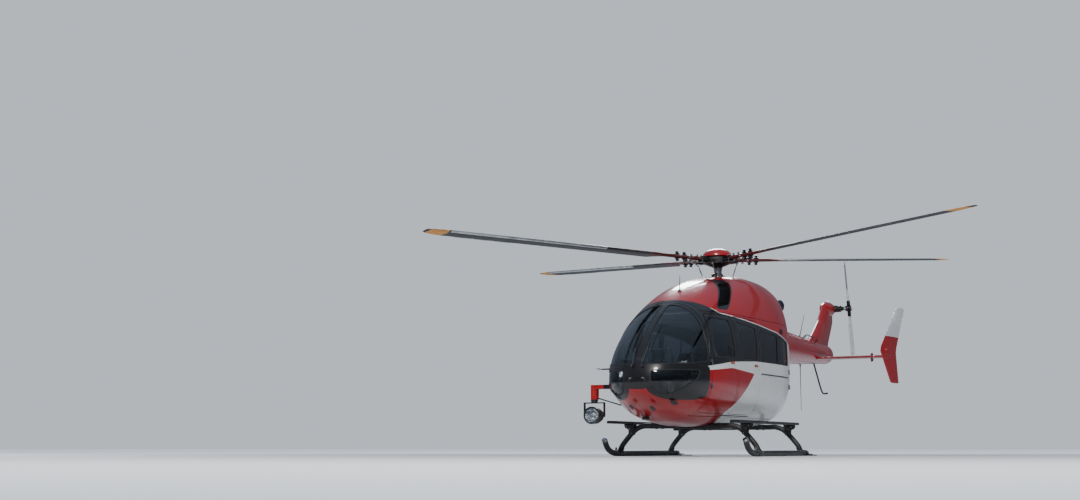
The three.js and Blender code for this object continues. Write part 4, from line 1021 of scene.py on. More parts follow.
class Shape:
    """Round bars, turned parts, boxes and lofts, joined into one piece and measured from the mast's foot."""

    def __init__(self, at=None):
        self.verts, self.faces, self.finishes, self.at = [], [], [], at or Matrix()

    def add(self, verts, faces, finish=0, at=None):
        place, start = self.at @ (at or Matrix()), len(self.verts)
        self.verts += [place @ Vector(v) for v in verts]
        self.faces += [tuple(start + k for k in face) for face in faces]
        self.finishes += [finish] * len(faces)

    def loft(self, rings, finish=0, at=None, ends=True, around=False):
        """A skin over rings of as many points each. Around joins the last ring to the first."""
        count, last = len(rings[0]), len(rings) - (0 if around else 1)
        faces = []
        for r in range(last):
            a, b = r * count, (r + 1) % len(rings) * count
            faces += [(a + k, a + (k + 1) % count, b + (k + 1) % count, b + k) for k in range(count)]
        if ends and not around:
            faces += [tuple(range(count))[::-1], tuple(range((len(rings) - 1) * count, len(rings) * count))]
        self.add([p for ring in rings for p in ring], faces, finish, at)

    def tube(self, points, radius, sides=16, steps=6, finish=0, at=None, smooth=True, flat=1.0, around=False):
        """A round bar along a path, curved where it is smooth. One radius, or one for each point."""
        points = [Vector(p) for p in points]
        radii = list(radius) if hasattr(radius, "__len__") else [radius] * len(points)
        path, size, last = points, radii, len(points) - 1
        if smooth and last > 1:
            path = curve_through(points, steps)
            size = [radii[k] + (radii[k + 1] - radii[k]) * (n / steps) for k in range(last)
                    for n in range(steps)]
            size.append(radii[-1])
        rings, side, last = [], None, len(path) - 1
        for k, here in enumerate(path):
            if around:
                after, before = path[(k + 1) % len(path)], path[k - 1]
            else:
                after, before = path[min(k + 1, last)], path[max(k - 1, 0)]
            way = (after - before).normalized()
            side = way.orthogonal() if side is None else side - way * side.dot(way)
            side = side.normalized()
            up = way.cross(side)
            angles = [2 * math.pi * (n + 0.5) / sides for n in range(sides)]
            rings.append([here + (math.cos(a) * side + math.sin(a) * flat * up) * float(size[k])
                          for a in angles])
        self.loft(rings, finish, at, around=around)

    def turned(self, profile, start, way, sides=32, finish=0, at=None, capped=True):
        """A turned part, from how far along the axis and how far out its profile runs, closed to the axis."""
        if capped:
            ends = [[(along, 0)] if out > 0 else [] for along, out in (profile[0], profile[-1])]
            profile = [*ends[0], *profile, *ends[1]]
        way = Vector(way).normalized()
        side = way.orthogonal().normalized()
        up = way.cross(side)
        angles = [2 * math.pi * n / sides for n in range(sides)]
        rings = [[Vector(start) + way * along + max(out, 1e-5) * (math.cos(a) * side + math.sin(a) * up)
                  for a in angles]
                 for along, out in profile]
        self.loft(rings, finish, at)

    def box(self, x0, x1, y0, y1, z0, z1, finish=0, at=None):
        corners = [[(x, y0, z0), (x, y1, z0), (x, y1, z1), (x, y0, z1)] for x in (x0, x1)]
        self.loft(corners, finish, at)

    def slab(self, outline, low, high, axis="y", finish=0, at=None):
        """A flat outline of two measures, pushed along the third axis."""
        third = "xyz".index(axis)
        self.loft([[(*p[:third], d, *p[third:]) for p in outline] for d in (low, high)], finish, at)

    def made(self, name, materials, body, *nodes, slot=None, edges=0.0015, angle=32, mirrored=False):
        turn = Matrix.Diagonal((1, -1, 1, 1)) if mirrored else Matrix()
        mesh = new_mesh(name, [tuple(turn @ v + Vector((MAST_X, 0, 0))) for v in self.verts], self.faces)
        mesh.polygons.foreach_set("material_index", self.finishes)
        work = bmesh.new()
        work.from_mesh(mesh)
        bmesh.ops.remove_doubles(work, verts=work.verts, dist=1e-6)
        bmesh.ops.dissolve_degenerate(work, edges=work.edges, dist=1e-6)
        bmesh.ops.recalc_face_normals(work, faces=work.faces)
        for face in work.faces:
            face.smooth = True
        for edge in work.edges:
            edge.smooth = not (edge.is_manifold and edge.calc_face_angle(0) > math.radians(angle))
        work.to_mesh(mesh)
        work.free()
        piece = finished(name, mesh, materials, body, *nodes, slot=slot)
        if edges:
            bevel = piece.modifiers.new("rounded_edges", "BEVEL")
            bevel.width, bevel.segments = edges, 2
            bevel.limit_method, bevel.angle_limit = "ANGLE", math.radians(angle)
            bevel.harden_normals = True
        return piece


def plain_metal(name, colour, roughness, grain=0.25, metallic=1.0, dust=0.35, stretch=(1, 1, 1), **sockets):
    """Bare or plated metal with fine brushing, smudges and dust."""
    look = Weathered(name, colour, roughness, dust, 0.25, metallic=metallic, **sockets)
    spread = look.add("Mapping", {0: look.place, 3: stretch})
    brushed = look.noise(spread.outputs[0], 180.0, 4.0)
    cloud = look.noise(look.place, 9.0, 5.0)
    dark = tuple(c * 0.55 for c in colour)
    shade = look.mixed(look.ramp(cloud, 0.35, 0.75), colour, dark)
    look.set(base_color=look.mixed(look.grime, shade, (0.11, 0.10, 0.085)))
    rough = look.maths("MULTIPLY_ADD", brushed, grain, roughness - grain / 2)
    look.set(roughness=look.maths("MULTIPLY_ADD", look.grime, 0.3, rough))
    look.bumped(brushed, 0.12, 0.0006)
    return look.material


def sprayed(name, colour, roughness, worn=(0.35, 0.34, 0.33), wear=0.5, dust=0.5, peel=0.08, **sockets):
    """Paint over metal, chipped through to it in small spots, with dust in the low places."""
    look = Weathered(name, colour, roughness, dust, 0.25, **sockets)
    cloud = look.noise(look.place, 6.0, 6.0)
    chip = look.noise(look.place, 70.0, 6.0, 0.75)
    chips = look.ramp(look.maths("MULTIPLY_ADD", cloud, 0.25, chip), 0.86 - 0.05 * wear, 0.88 - 0.05 * wear)
    light = tuple(min(1, c * 1.35 + 0.004) for c in colour)
    shade = look.mixed(look.ramp(cloud, 0.3, 0.8), colour, light)
    shade = look.mixed(chips, shade, worn)
    look.set(base_color=look.mixed(look.grime, shade, (0.13, 0.115, 0.095)))
    look.set(roughness=look.maths("MULTIPLY_ADD", look.grime, 0.35,
                                  look.maths("MULTIPLY_ADD", look.fine, 0.12, roughness - 0.06)))
    height = look.maths("SUBTRACT", look.maths("MULTIPLY", look.fine, peel),
                        look.maths("MULTIPLY", chips, 0.6))
    look.bumped(height, 0.35, 0.0012)
    return look.material


ALLOY = plain_metal("brushed_alloy", (0.62, 0.63, 0.64), 0.32)
STEEL = plain_metal("plated_steel", (0.42, 0.42, 0.43), 0.28)
BLACK_PAINT = sprayed("black_gear_paint", (0.012, 0.0125, 0.014), 0.42, wear=0.4)
ORANGE = sprayed("orange_handle_paint", (0.62, 0.115, 0.02), 0.38, worn=(0.3, 0.28, 0.25), dust=0.25)
COCKPIT_HINGE, CLAMSHELL_HINGE = (2.431, 0.80207, (1.04, 1.39)), (-1.106, 0.84432, (1.15, 1.40))


def rectangle(x0, x1, z0, z1, radius=0.008):
    return softened(from_side([(x0, z0), (x1, z0), (x1, z1), (x0, z1)]), radius)


def hinges(hinge, part, mirrored, body, name):
    """The knuckles and leaves of one side of a hinge: part is 1 for the body's and -1 for the door's."""
    x, y, levels = hinge
    made = Shape()
    for level in levels:
        low = level + 0.0008 if part > 0 else level - 0.040
        skin_y = float(skin(from_side([(x, level)] * 2, closed=False))[0][0, 1])
        made.turned([(0, 0.0075), (0.0015, 0.009), (0.0375, 0.009), (0.039, 0.0075)], (x, y, low), UP, 20)
        pin = -0.0002 if part > 0 else -0.0015
        made.turned([(0, 0.004), (0.041, 0.004)], (x, y, low + pin), UP, 12, 1)
        made.box(min(x, x + part * 0.036), max(x, x + part * 0.036), skin_y - 0.02, y + 0.003,
                 low + 0.001, low + 0.038)
        for k in (0.3, 0.7):
            made.turned([(0, 0.0042), (0.0015, 0.0034)], (x + part * 0.024, y + 0.003, low + 0.039 * k),
                        PORT, 12, 1)
    made.made(name, [STEEL, ALLOY], body, edges=0.001, mirrored=mirrored)


def rails_and_handles():
    for way, side in SIDES:
        door_body = BODY_OF[f"cockpit_{side}"]
        plate(f"door_rail_{side}", on_side(rectangle(-1.035, 0.44, 1.290, 1.314), way), ALLOY, "airframe",
              -0.008, 0.012, 0.03, 0.002)
        # A black strip along each rail is painted shade, standing in for the dark inside the rail's channel
        plate(f"rail_groove_{side}", on_side(rectangle(-1.02, 0.425, 1.298, 1.306, 0.003), way), RUBBER,
              "airframe", -0.0084, 0.004, 0.03, 0.0004)
        panel(f"window_post_{side}", on_side(rectangle(-0.478, -0.432, 1.49, 2.02), way), [],
              [PAINT, LINER], "airframe", depth=0.0, thickness=0.0076, spacing=0.04, rounding=0.002)
        for kind, x, body in (("cockpit", 1.72, door_body), ("sliding", 0.65, "airframe")):
            cup = on_side(rectangle(x - 0.075, x + 0.075, 1.398, 1.438, 0.012), way)
            plate(f"{kind}_handle_cup_{side}", cup, BLACK_PAINT, body, -0.003, 0.006, 0.02, 0.0015)
            lever = on_side(rectangle(x - 0.062, x + 0.05, 1.408, 1.428, 0.009), way)
            plate(f"{kind}_handle_{side}", lever, ORANGE, body, -0.015, 0.014, 0.02, 0.004)
        strip = on_side(rectangle(0.46, 1.70, 0.618, 0.630, 0.003), way)
        plate(f"sill_rub_strip_{side}", strip, RUBBER, "airframe", -0.003, 0.006, 0.03, 0.001)
        hinges(COCKPIT_HINGE, 1, way < 0, "airframe", f"cockpit_hinge_fixed_{side}")
        hinges(COCKPIT_HINGE, -1, way < 0, door_body, f"cockpit_hinge_{side}")
        hinges(CLAMSHELL_HINGE, 1, way < 0, "airframe", f"clamshell_hinge_fixed_{side}")
        hinges(CLAMSHELL_HINGE, -1, way < 0, BODY_OF[f"clamshell_{side}"], f"clamshell_hinge_{side}")


rails_and_handles()


# Tail boom
# A tapering laminate tube, painted red and bolted to the end of the cabin through a flanged
# ring. Its end is a round cap. A black loop aerial stands on four short feet over its port side.

BOOM_FRONT, BOOM_END, BOOM_CAP = -1.9003, -5.98, 0.40
BOOM_SEAMS = [-2.10, -3.30, -4.62, -5.97]
LOOP_AERIAL = [(-4.00, 0.185, 2.180), (-4.05, 0.255, 2.262), (-4.40, 0.246, 2.256), (-4.85, 0.226, 2.236),
               (-4.90, 0.152, 2.150)]


def boom_ring(x, inset=0.0, sides=88):
    """The boom's section at a station, drawn in at a seam and shrunk where its end is round."""
    aft = np.full(sides, float(aft_of(max(x, BOOM_END))))
    places = np.stack([aft, np.linspace(-1, 1, sides, endpoint=False)], -1)
    points = skin(places, inset)[0] - (MAST_X, 0, 0)
    if x < BOOM_END:
        middle = np.array([0, 0, float(sections(BOOM_END)[2])])
        points = middle + (points - middle) * max(float(fall((BOOM_END - x) / BOOM_CAP, 2)), 0.01)
        points[:, 0] = x
    return points


def seamed(shape, ring_at, stations, seams, joint=1, width=0.0022, depth=0.0016):
    """A run of rings with a narrow sealed groove at each seam."""
    stops = sorted([*stations, *(s + width * n for s in seams for n in (1, 0.6, -0.6, -1))], reverse=True)
    for a, b in zip(stops, stops[1:]):
        middle = (a + b) / 2
        sunk = [depth if any(abs(x - s) < width * 0.8 for s in seams) else 0.0 for x in (a, b)]
        in_seam = any(abs(middle - s) < width for s in seams)
        shape.loft([ring_at(a, sunk[0]), ring_at(b, sunk[1])], joint if in_seam else 0, ends=False)
    shape.add(list(ring_at(stops[0])), [tuple(range(len(ring_at(stops[0]))))], 0)
    shape.add(list(ring_at(stops[-1])), [tuple(range(len(ring_at(stops[-1]))))], 0)


def boom():
    made = Shape()
    run = [x for x in np.linspace(BOOM_FRONT, BOOM_END, 60) if min(abs(x - s) for s in BOOM_SEAMS) > 0.004]
    cap = [BOOM_END - BOOM_CAP * math.sin(a) for a in np.linspace(0, math.pi / 2, 18)[1:]]
    seamed(made, boom_ring, [*run, BOOM_END - 0.001, *cap], BOOM_SEAMS)
    for x0, x1 in ((-1.915, -1.93), (-2.055, -2.07)):
        hoop = ((x0, 0.001), (x0 - 0.002, -0.003), (x1 + 0.002, -0.003), (x1, 0.001))
        made.loft([boom_ring(x, inset) for x, inset in hoop], 0)
    made.made("tail_boom_skin", [PAINT, RUBBER], "airframe", "tail_boom", slot="body_red", edges=0)


def loop_aerial():
    loop = Shape()
    loop.tube(LOOP_AERIAL, 0.009, 16, 10)
    for x, y, z in ((-4.06, 0.250, 2.256), (-4.32, 0.247, 2.256), (-4.58, 0.236, 2.248),
                    (-4.84, 0.225, 2.235)):
        lean = Vector((0, -0.55, -0.84))
        loop.turned([(0, 0.011), (0.006, 0.012), (0.012, 0.007), (0.085, 0.007)],
                    Vector((x, y, z)) + lean * 0.002, lean, 14, capped=False)
    for x, y, z in (LOOP_AERIAL[0], LOOP_AERIAL[-1]):
        loop.turned([(-0.004, 0.020), (0.010, 0.017), (0.014, 0.0)], (x, y, z), (0, 0.55, 0.84), 20)
    loop.made("loop_aerial", [BLACK_PAINT], "airframe", edges=0)


boom()
loop_aerial()


# Fin, stabiliser and end plates
# The fin rises from the end of the boom and carries the tail gearbox in its head, with the beacon on top. The
# stabiliser passes through the boom, and an end plate with a position light is bolted to each of its ends.

FIN = [(1.99, -4.90, 1.42, 0.200), (2.25, -5.12, 1.27, 0.190), (2.70, -5.79, 0.95, 0.170),
       (3.06, -6.13, 0.64, 0.130)]
PLATE = [(1.37, -5.215, 0.40, 0.022), (1.96, -4.76, 0.77, 0.040), (2.06, -4.80, 0.76, 0.040),
         (2.87, -5.64, 0.40, 0.022)]
STABILISER = {"span": 3.12, "nose": -4.87, "level": 1.87, "chord": 0.48, "thickness": 0.058}
PLATE_TURN, PLATE_MIDDLE = math.radians(8), -5.145  # both plates turn their noses to starboard
SHAFT_X, SHAFT_Z = -6.55, 2.98  # where the tail rotor's shaft leaves the fin


def aerofoil(chord, thickness, points=44, edge=0.0015):
    """A wing section: how far each point lies behind the nose, and to which side."""
    ring = []
    for k in range(points):
        angle = 2 * math.pi * k / points
        back = (1 - math.cos(angle)) / 2
        bulge = 1.48 * math.sqrt(back) - 0.63 * back - 1.76 * back**2 + 0.91 * back**3
        side = 0 if 2 * k in (0, points) else math.copysign(1, math.sin(angle))
        ring.append((back * chord, side * (thickness * bulge + edge * min(1, 12 * back))))
    return ring


def between(table, at):
    """The row of a table for a value of its first column."""
    rows = np.array(sorted(table))
    return [float(np.interp(at, rows[:, 0], rows[:, k])) for k in range(1, rows.shape[1])]


def rounded_end(rings, reach):
    """The same rings, with the last one rounded over inside a length before it."""
    rings = [np.array(ring, float) for ring in rings]
    step = rings[-1] - rings[-2]
    step = step / np.linalg.norm(step.mean(0)) * reach
    start, out = rings[-1] - step, rings[:-1]
    for share in (0, 0.35, 0.65, 0.85, 0.96, 1.0):
        ring = start + step * share
        out.append(ring.mean(0) + (ring - ring.mean(0)) * max(float(fall(share, 2.6)), 0.03))
    return out


def fin():
    made = Shape()
    rings = []
    for z in np.linspace(FIN[0][0], FIN[-1][0], 34):
        nose, chord, thickness = between(FIN, z)
        rings.append([(nose - back, side, z) for back, side in aerofoil(chord, thickness)])
    made.loft(rounded_end(rings, 0.012))
    # The gearbox's housing, seamed across, and the neck that carries the tail rotor's shaft
    level = 2.965
    middle, size = Vector((-6.40, 0, level)), Vector((0.33, 0.135, 0.15))

    def housing(x, inset=0):
        share, drawn_in = max(math.sqrt(max(0, 1 - ((x - middle.x) / size.x) ** 2)), 0.01), 1 - inset * 7
        return [(x, size.y * share * math.cos(a) * drawn_in, level + size.z * share * math.sin(a) * drawn_in)
                for a in np.linspace(0, 2 * math.pi, 48, endpoint=False)]

    stations = [middle.x + size.x * math.cos(a) for a in np.linspace(0, math.pi, 40)]
    seamed(made, housing, stations, [-6.235, -6.60])
    neck = [(0, 0.085), (0.16, 0.072), (0.215, 0.066), (0.225, 0.070), (0.240, 0.070), (0.246, 0.058),
            (0.252, 0.040), (0.275, 0.040), (0.279, 0.046), (0.290, 0.046), (0.294, 0.036),
            (0.2998, 0.036), (0.2998, 0)]
    made.turned(neck, (SHAFT_X, 0, SHAFT_Z), PORT, 40, 2, capped=False)
    for k in range(8):
        a = 2 * math.pi * k / 8
        made.turned([(0, 0.0075), (0.010, 0.0075), (0.012, 0.005)],
                    (SHAFT_X + 0.058 * math.cos(a), 0.238, SHAFT_Z + 0.058 * math.sin(a)), PORT, 6, 3)
    made.made("tail_fin_skin", [PAINT, RUBBER, BLACK_PAINT, STEEL], "airframe", "tail_fin",
              slot="body_red", edges=0)


def beacon():
    made, foot = Shape(), (-6.48, 0, 3.082)
    made.turned([(-0.03, 0.050), (-0.002, 0.050), (0.002, 0.047), (0.010, 0.047)], foot, UP, 32, 1)
    made.turned([(0.010, 0.043), (0.030, 0.0425), (0.055, 0.038), (0.070, 0.030), (0.079, 0.018),
                 (0.0825, 0.0)], foot, UP, 36, 0)
    made.made("beacon", [LENS_CLEAR, ALLOY], "airframe", edges=0)


def lens_material(name, colour, painted_glow):
    """A pressed glass lens with fine ribs, painted lighter along the ribs as a painted highlight, with a
    faint painted glow that stands in for light from the lamp's reflector.
    """
    look = Weathered(name, colour, 0.06, coat_weight=0.6, coat_roughness=0.03, emission_strength=1.0,
                     dust=0.2, streaks=0.1)
    ribs = look.add("TexWave", {"Vector": look.place, "Scale": 55.0, "Distortion": 0.3}, bands_direction="Z")
    # The ribs are painted lighter: a painted highlight of the light they catch
    rib_highlight = tuple(min(1, c * 1.25 + 0.05) for c in colour)
    shade = look.mixed(ribs.outputs[0], colour, rib_highlight)
    look.set(base_color=look.mixed(look.grime, shade, (0.2, 0.17, 0.14)))
    # The emission is a painted glow, brighter along the ribs, standing in for light from the reflector behind
    # the lens
    dim, lit = (tuple(c * painted_glow * share for c in colour) for share in (0.5, 1.0))
    look.set(emission_color=look.mixed(ribs.outputs[0], dim, lit))
    look.bumped(ribs.outputs[0], 0.4, 0.001)
    return look.material


LENS_CLEAR = lens_material("clear_lens", (0.80, 0.82, 0.84), 0.25)
LENS_RED = lens_material("red_lens", (0.62, 0.02, 0.02), 0.30)
LENS_GREEN = lens_material("green_lens", (0.03, 0.42, 0.14), 0.25)


def stabiliser():
    made, wing = Shape(), STABILISER
    half = wing["span"] / 2 - 0.02
    section = aerofoil(wing["chord"], wing["thickness"], 60)

    def ring(y, inset=0.0):
        """A section, sheared near the ends to lie in the end plates."""
        shear = max(0, (abs(y) - 1.3) / 0.24) * math.tan(PLATE_TURN)
        middle = PLATE_MIDDLE - wing["nose"]
        return [(wing["nose"] - back, y + (middle + back) * shear, wing["level"] + side * (1 - inset * 18))
                for back, side in section]

    seamed(made, ring, list(np.linspace(half, -half, 24)), [1.30, 0.42, -0.42, -1.30])
    # Small strakes near the ends, held by angle feet
    for y in (1.24, -1.24):
        fore, aft = -4.98, -5.16
        strake = [(fore, 1.785), (fore - 0.05, 1.775), (aft, 1.80), (aft - 0.01, 1.93), (aft + 0.05, 1.955),
                  (fore - 0.02, 1.94)]
        made.slab(strake, y - 0.004, y + 0.004)
        for z in (1.835, 1.905):
            made.box(aft + 0.03, fore - 0.03, y - 0.018, y + 0.018, z - 0.003, z + 0.003, 2)
    made.made("stabiliser_skin", [PAINT, RUBBER, ALLOY], "airframe", "stabiliser", slot="body_red", edges=0)


def end_plates():
    for way, side in SIDES:
        made = Shape()

        def plate_y(x):
            return STABILISER["span"] / 2 - 0.02 + way * (PLATE_MIDDLE - x) * math.tan(PLATE_TURN)

        def ring(z):
            nose, chord, thick = between(PLATE, z)
            return [(nose - back, plate_y(nose - back) + off, z) for back, off in aerofoil(chord, thick, 60)]

        levels = [1.37, *np.linspace(1.42, 1.96, 10), 2.01, 2.06, *np.linspace(2.10, 2.87, 14)]
        rings = rounded_end([ring(z) for z in levels], 0.02)
        made.loft(rounded_end(rings[::-1], 0.02)[::-1])
        # Bolts round the stabiliser's end, and the position light in its fairing
        for x, z in ((-4.93, 1.905), (-4.93, 1.835), (-5.05, 1.91), (-5.05, 1.83), (-5.19, 1.895),
                     (-5.19, 1.845)):
            made.turned([(-0.004, 0.011), (0.002, 0.011), (0.002, 0.007), (0.005, 0.006)],
                        (x, plate_y(x) + 0.0175, z), PORT, 12, 1)
        lamp_y = plate_y(-5.0) + 0.021
        made.turned([(0, 0.017), (0.010, 0.019), (0.040, 0.0175), (0.066, 0.009), (0.0745, 0)],
                    (-4.9645, lamp_y, 2.005), (-1, 0, 0), 28, 0)
        made.made(f"end_plate_skin_{side}", [PAINT, STEEL], "airframe", f"end_plate_{side}",
                  slot="body_red", edges=0, mirrored=way < 0)
        light = Shape()
        light.turned([(-0.003, 0.0175), (0.012, 0.0165), (0.024, 0.011), (0.0285, 0)],
                     (-4.9675, lamp_y, 2.005), (1, 0.15, 0), 28)
        light.made(f"position_light_{side}", [LENS_RED if way > 0 else LENS_GREEN], "airframe", edges=0,
                   mirrored=way < 0)


fin()
beacon()
stabiliser()
end_plates()


# Bumper and whip aerials
# A bent steel tube under the fin guards the tail rotor. A glass-fibre whip leans back
# above the boom, and a straight one hangs below it, each in a moulded base.

BUMPER = [(-5.30, 1.85), (-5.43, 1.70), (-5.56, 1.56), (-5.70, 1.40), (-5.85, 1.262), (-5.96, 1.220),
          (-6.10, 1.223), (-6.23, 1.235)]
WHIP = {"x": -4.45, "top": 0.470, "lean": -0.350, "low": 0.900, "radius": 0.0055}


def bumper_and_whips():
    guard = Shape()
    guard.tube([(x, 0, z) for x, z in BUMPER], 0.017, 24, 8)
    guard.turned([(0, 0.0185), (0.004, 0.020), (0.050, 0.020), (0.054, 0.0175)], (-6.176, 0, 1.2285),
                 (-1, 0, 0.09), 24, 1)
    guard.turned([(0, 0.034), (0.012, 0.034), (0.020, 0.020)], (-5.312, 0, 1.838), (-0.55, 0, -0.83), 28, 0)
    guard.made("tail_bumper_tube", [BLACK_PAINT, RUBBER], "airframe", "tail_bumper", slot="gear_black",
               edges=0)
    low, top = float(sections(WHIP["x"])[1]), float(sections(WHIP["x"])[3])
    for name, node, foot, tip in (
            ("whip_top", "boom_aerial_top", (WHIP["x"], 0, top),
             (WHIP["x"] + WHIP["lean"], 0, top + WHIP["top"])),
            ("whip_low", "boom_aerial_low", (WHIP["x"], 0, low), (WHIP["x"], 0, low - WHIP["low"]))):
        whip = Shape()
        foot, tip = Vector(foot), Vector(tip)
        way, length = (tip - foot).normalized(), (tip - foot).length
        up = Vector((0, 0, 1 if tip.z > foot.z else -1))
        whip.turned([(-0.010, 0.036), (0.006, 0.034), (0.010, 0.028), (0.012, 0)], foot, up, 28, 1)
        whip.turned([(0, 0.0145), (0.02, 0.0145), (0.06, 0.010), (0.075, 0.0075), (length * 0.5, 0.0060),
                     (length - 0.012, 0.0042), (length - 0.010, 0.0058), (length - 0.002, 0.0052),
                     (length, 0)], foot, way, 20)
        whip.made(name, [BLACK_PAINT, ALLOY], "airframe", node, slot="gear_black", edges=0)


bumper_and_whips()


# Main rotor
# Four glass-fibre blades are bolted to a hingeless titanium head on a leaning steel
# mast. Each blade neck carries two pendulum weights. Links run from the turning half
# of the swashplate to the head, which a red cap covers.

HEAD_TURN = Matrix.Rotation(math.radians(-30), 4, "Z")
HEAD_AT = Matrix.Translation((0, 0, 3.24)) @ Matrix.Rotation(MAST_LEAN, 4, "Y") @ HEAD_TURN
CONE, PITCH = math.radians(2.5), math.radians(7)
# Radius, chord, thickness, how far the nose is ahead of the blade's axis, and 1 where the section is a wing
BLADE = [
    (0.3863, 0.130, 0.074, 0.065, 0), (0.620, 0.104, 0.060, 0.052, 0), (1.090, 0.112, 0.052, 0.056, 0),
    (1.330, 0.325, 0.044, 0.084, 1), (3.400, 0.325, 0.038, 0.082, 1), (5.180, 0.325, 0.034, 0.080, 1),
    (5.400, 0.270, 0.026, 0.066, 1), (5.490, 0.175, 0.015, 0.032, 1), (5.500, 0.160, 0.010, 0.027, 1),
]
GUARD_PROUD = 0.0012  # how far the nose strip stands off the blade
EASED_SPANS = (2, 5)  # from these rows to the next the blade changes in a smooth curve


def quarter(k):
    return Matrix.Rotation(k * math.pi / 2, 4, "Z")


def own_places(piece, at):
    """The piece's points as they were before a matrix placed them."""
    places = np.zeros(len(piece.data.vertices) * 3, np.float32)
    piece.data.vertices.foreach_get("co", places)
    back = np.array((Matrix.Translation((MAST_X, 0, 0)) @ at).inverted())
    return places.reshape(-1, 3) @ back[:3, :3].T + back[:3, 3]


def marked(piece, name, values):
    """Keeps a number for each point of a piece, which its material reads."""
    stored = piece.data.attributes.new(name, "FLOAT", "POINT")
    stored.data.foreach_set("value", np.array(values, np.float32))


def blade_laminate():
    """Matt grey blade paint, worn at the nose, with an orange band at the tip and a reddish neck."""
    look = Weathered("blade_laminate", (0.012, 0.0125, 0.014), 0.55, specular_ior_level=0.3, dust=0.3,
                     streaks=0.15)
    span = look.add("Attribute", attribute_name="span").outputs["Fac"]
    chord = look.add("Attribute", attribute_name="behind").outputs["Fac"]
    cloud = look.noise(look.place, 5.0, 6.0)
    shade = look.mixed(look.ramp(cloud, 0.3, 0.75), (0.009, 0.0095, 0.011), (0.018, 0.0185, 0.020))
    neck = look.ramp(span, 1.42, 1.38)
    shade = look.mixed(look.maths("MULTIPLY", neck, 0.75), shade, (0.10, 0.010, 0.008))
    tip = look.maths("MULTIPLY", look.ramp(span, 5.149, 5.151), look.ramp(span, 5.451, 5.449))
    shade = look.mixed(tip, shade, (0.72, 0.30, 0.035))
    worn = look.maths("MULTIPLY", look.ramp(chord, 0.05, 0.0), look.ramp(cloud, 0.4, 0.65))
    shade = look.mixed(look.maths("MULTIPLY", worn, 0.5), shade, (0.16, 0.155, 0.15))
    look.set(base_color=look.mixed(look.grime, shade, (0.12, 0.105, 0.085)))
    look.set(roughness=look.maths("MULTIPLY_ADD", look.fine, 0.15, 0.42))
    look.bumped(look.fine, 0.12, 0.0008)
    return look.material


LAMINATE = blade_laminate()
TITANIUM = plain_metal("forged_titanium", (0.115, 0.112, 0.110), 0.42)
DARK_STEEL = plain_metal("blackened_steel", (0.055, 0.055, 0.058), 0.38)


def blade_row(radius):
    k = min(max(sum(r[0] <= radius for r in BLADE) - 1, 0), len(BLADE) - 2)
    a, b = np.array(BLADE[k]), np.array(BLADE[k + 1])
    share = min(max((radius - a[0]) / (b[0] - a[0]), 0), 1)
    if k in EASED_SPANS:
        share = share * share * (3 - 2 * share)
    return a + (b - a) * share


def blade(k):
    made = Shape(HEAD_AT @ quarter(k) @ Matrix.Rotation(-CONE, 4, "Y") @ Matrix.Rotation(PITCH, 4, "X"))
    count = 56

    def ring(radius):
        _, chord, thick, ahead, wing = blade_row(radius)
        out = []
        for n, (back, up) in enumerate(aerofoil(chord, thick, count)):
            round_up = math.sin(2 * math.pi * n / count) * thick / 2
            out.append((radius, ahead - back, up * wing + round_up * (1 - wing)))
        return out

    radii = [*np.linspace(0.3863, 1.05, 14), *np.linspace(1.09, 1.33, 12), *np.linspace(1.5, 5.1, 26),
             *np.linspace(5.18, 5.40, 8), 5.44, 5.47, 5.49, 5.497, 5.5]
    made.loft([ring(r) for r in radii], 0)
    # A bonded metal strip guards the nose of the outer half
    guard = []
    for r in np.linspace(2.3, 5.12, 12):
        row = ring(r)
        strip = []
        for n in range(-7, 8):
            _, y, z = row[n % count]
            ahead = GUARD_PROUD * (1 if n % count in (0, 1, count - 1) else 0.4)
            strip.append((r, y + ahead, z + (GUARD_PROUD if z > 0 else -GUARD_PROUD) * (abs(z) > 1e-4)))
        guard.append(strip + [(r, y - 0.003, z * 0.8) for _, y, z in reversed(strip)])
    made.loft(guard, 1)
    # Trim tabs, the root's bolts and the pendulum weights
    for r in (3.9, 4.25, 4.6):
        row = blade_row(r)
        tail = row[3] - row[1]
        made.box(r, r + 0.30, tail - 0.028, tail + 0.012, -0.0012, 0.0012, 1)
    for r in (0.43, 0.55):
        made.turned([(-0.062, 0.019), (-0.046, 0.019), (-0.046, 0.023), (-0.040, 0.023), (-0.040, 0.014),
                     (0.040, 0.014), (0.040, 0.023), (0.046, 0.023), (0.048, 0.017), (0.066, 0.017)],
                    (r, 0, 0), UP, 18, 2)
    for r in (0.70, 0.85):
        made.turned([(-0.034, 0.031), (-0.028, 0.037), (0.028, 0.037), (0.034, 0.031)], (r, 0, 0), PORT,
                    24, 3)
        made.box(r - 0.026, r + 0.026, -0.032, 0.032, -0.044, 0.044, 3)
        for up in (1, -1):
            made.turned([(0.030, 0.012), (0.046, 0.012), (0.048, 0.020), (0.053, 0.026), (0.064, 0.028),
                         (0.075, 0.026), (0.081, 0.020), (0.084, 0)],
                        (r, 0, 0), (0, 0, up), 24, 3)
        made.turned([(-0.040, 0.010), (0.040, 0.010)], (r, 0, 0), PORT, 6, 2)
    # A clamp ring where the neck meets the wing
    clamp = ((0.600, 1.0), (0.604, 1.10), (0.636, 1.10), (0.640, 1.0))
    made.loft([[(x, y * g, z * g) for _, y, z in ring(0.640)] for x, g in clamp], 2)
    piece = made.made(f"main_blade_skin_{k + 1}", [LAMINATE, ALLOY, STEEL, DARK_STEEL], "main_rotor",
                      f"main_blade_{k + 1}", slot="blade_grey", edges=0)
    span, across_blade = own_places(piece, made.at)[:, :2].T
    marked(piece, "span", span)
    marked(piece, "behind", np.interp(span, [row[0] for row in BLADE], [row[3] for row in BLADE])
           - across_blade)


def both_halves(half):
    """An outline that is the same on both sides of its axis."""
    return [(x, -y) for x, y in half] + half[::-1]


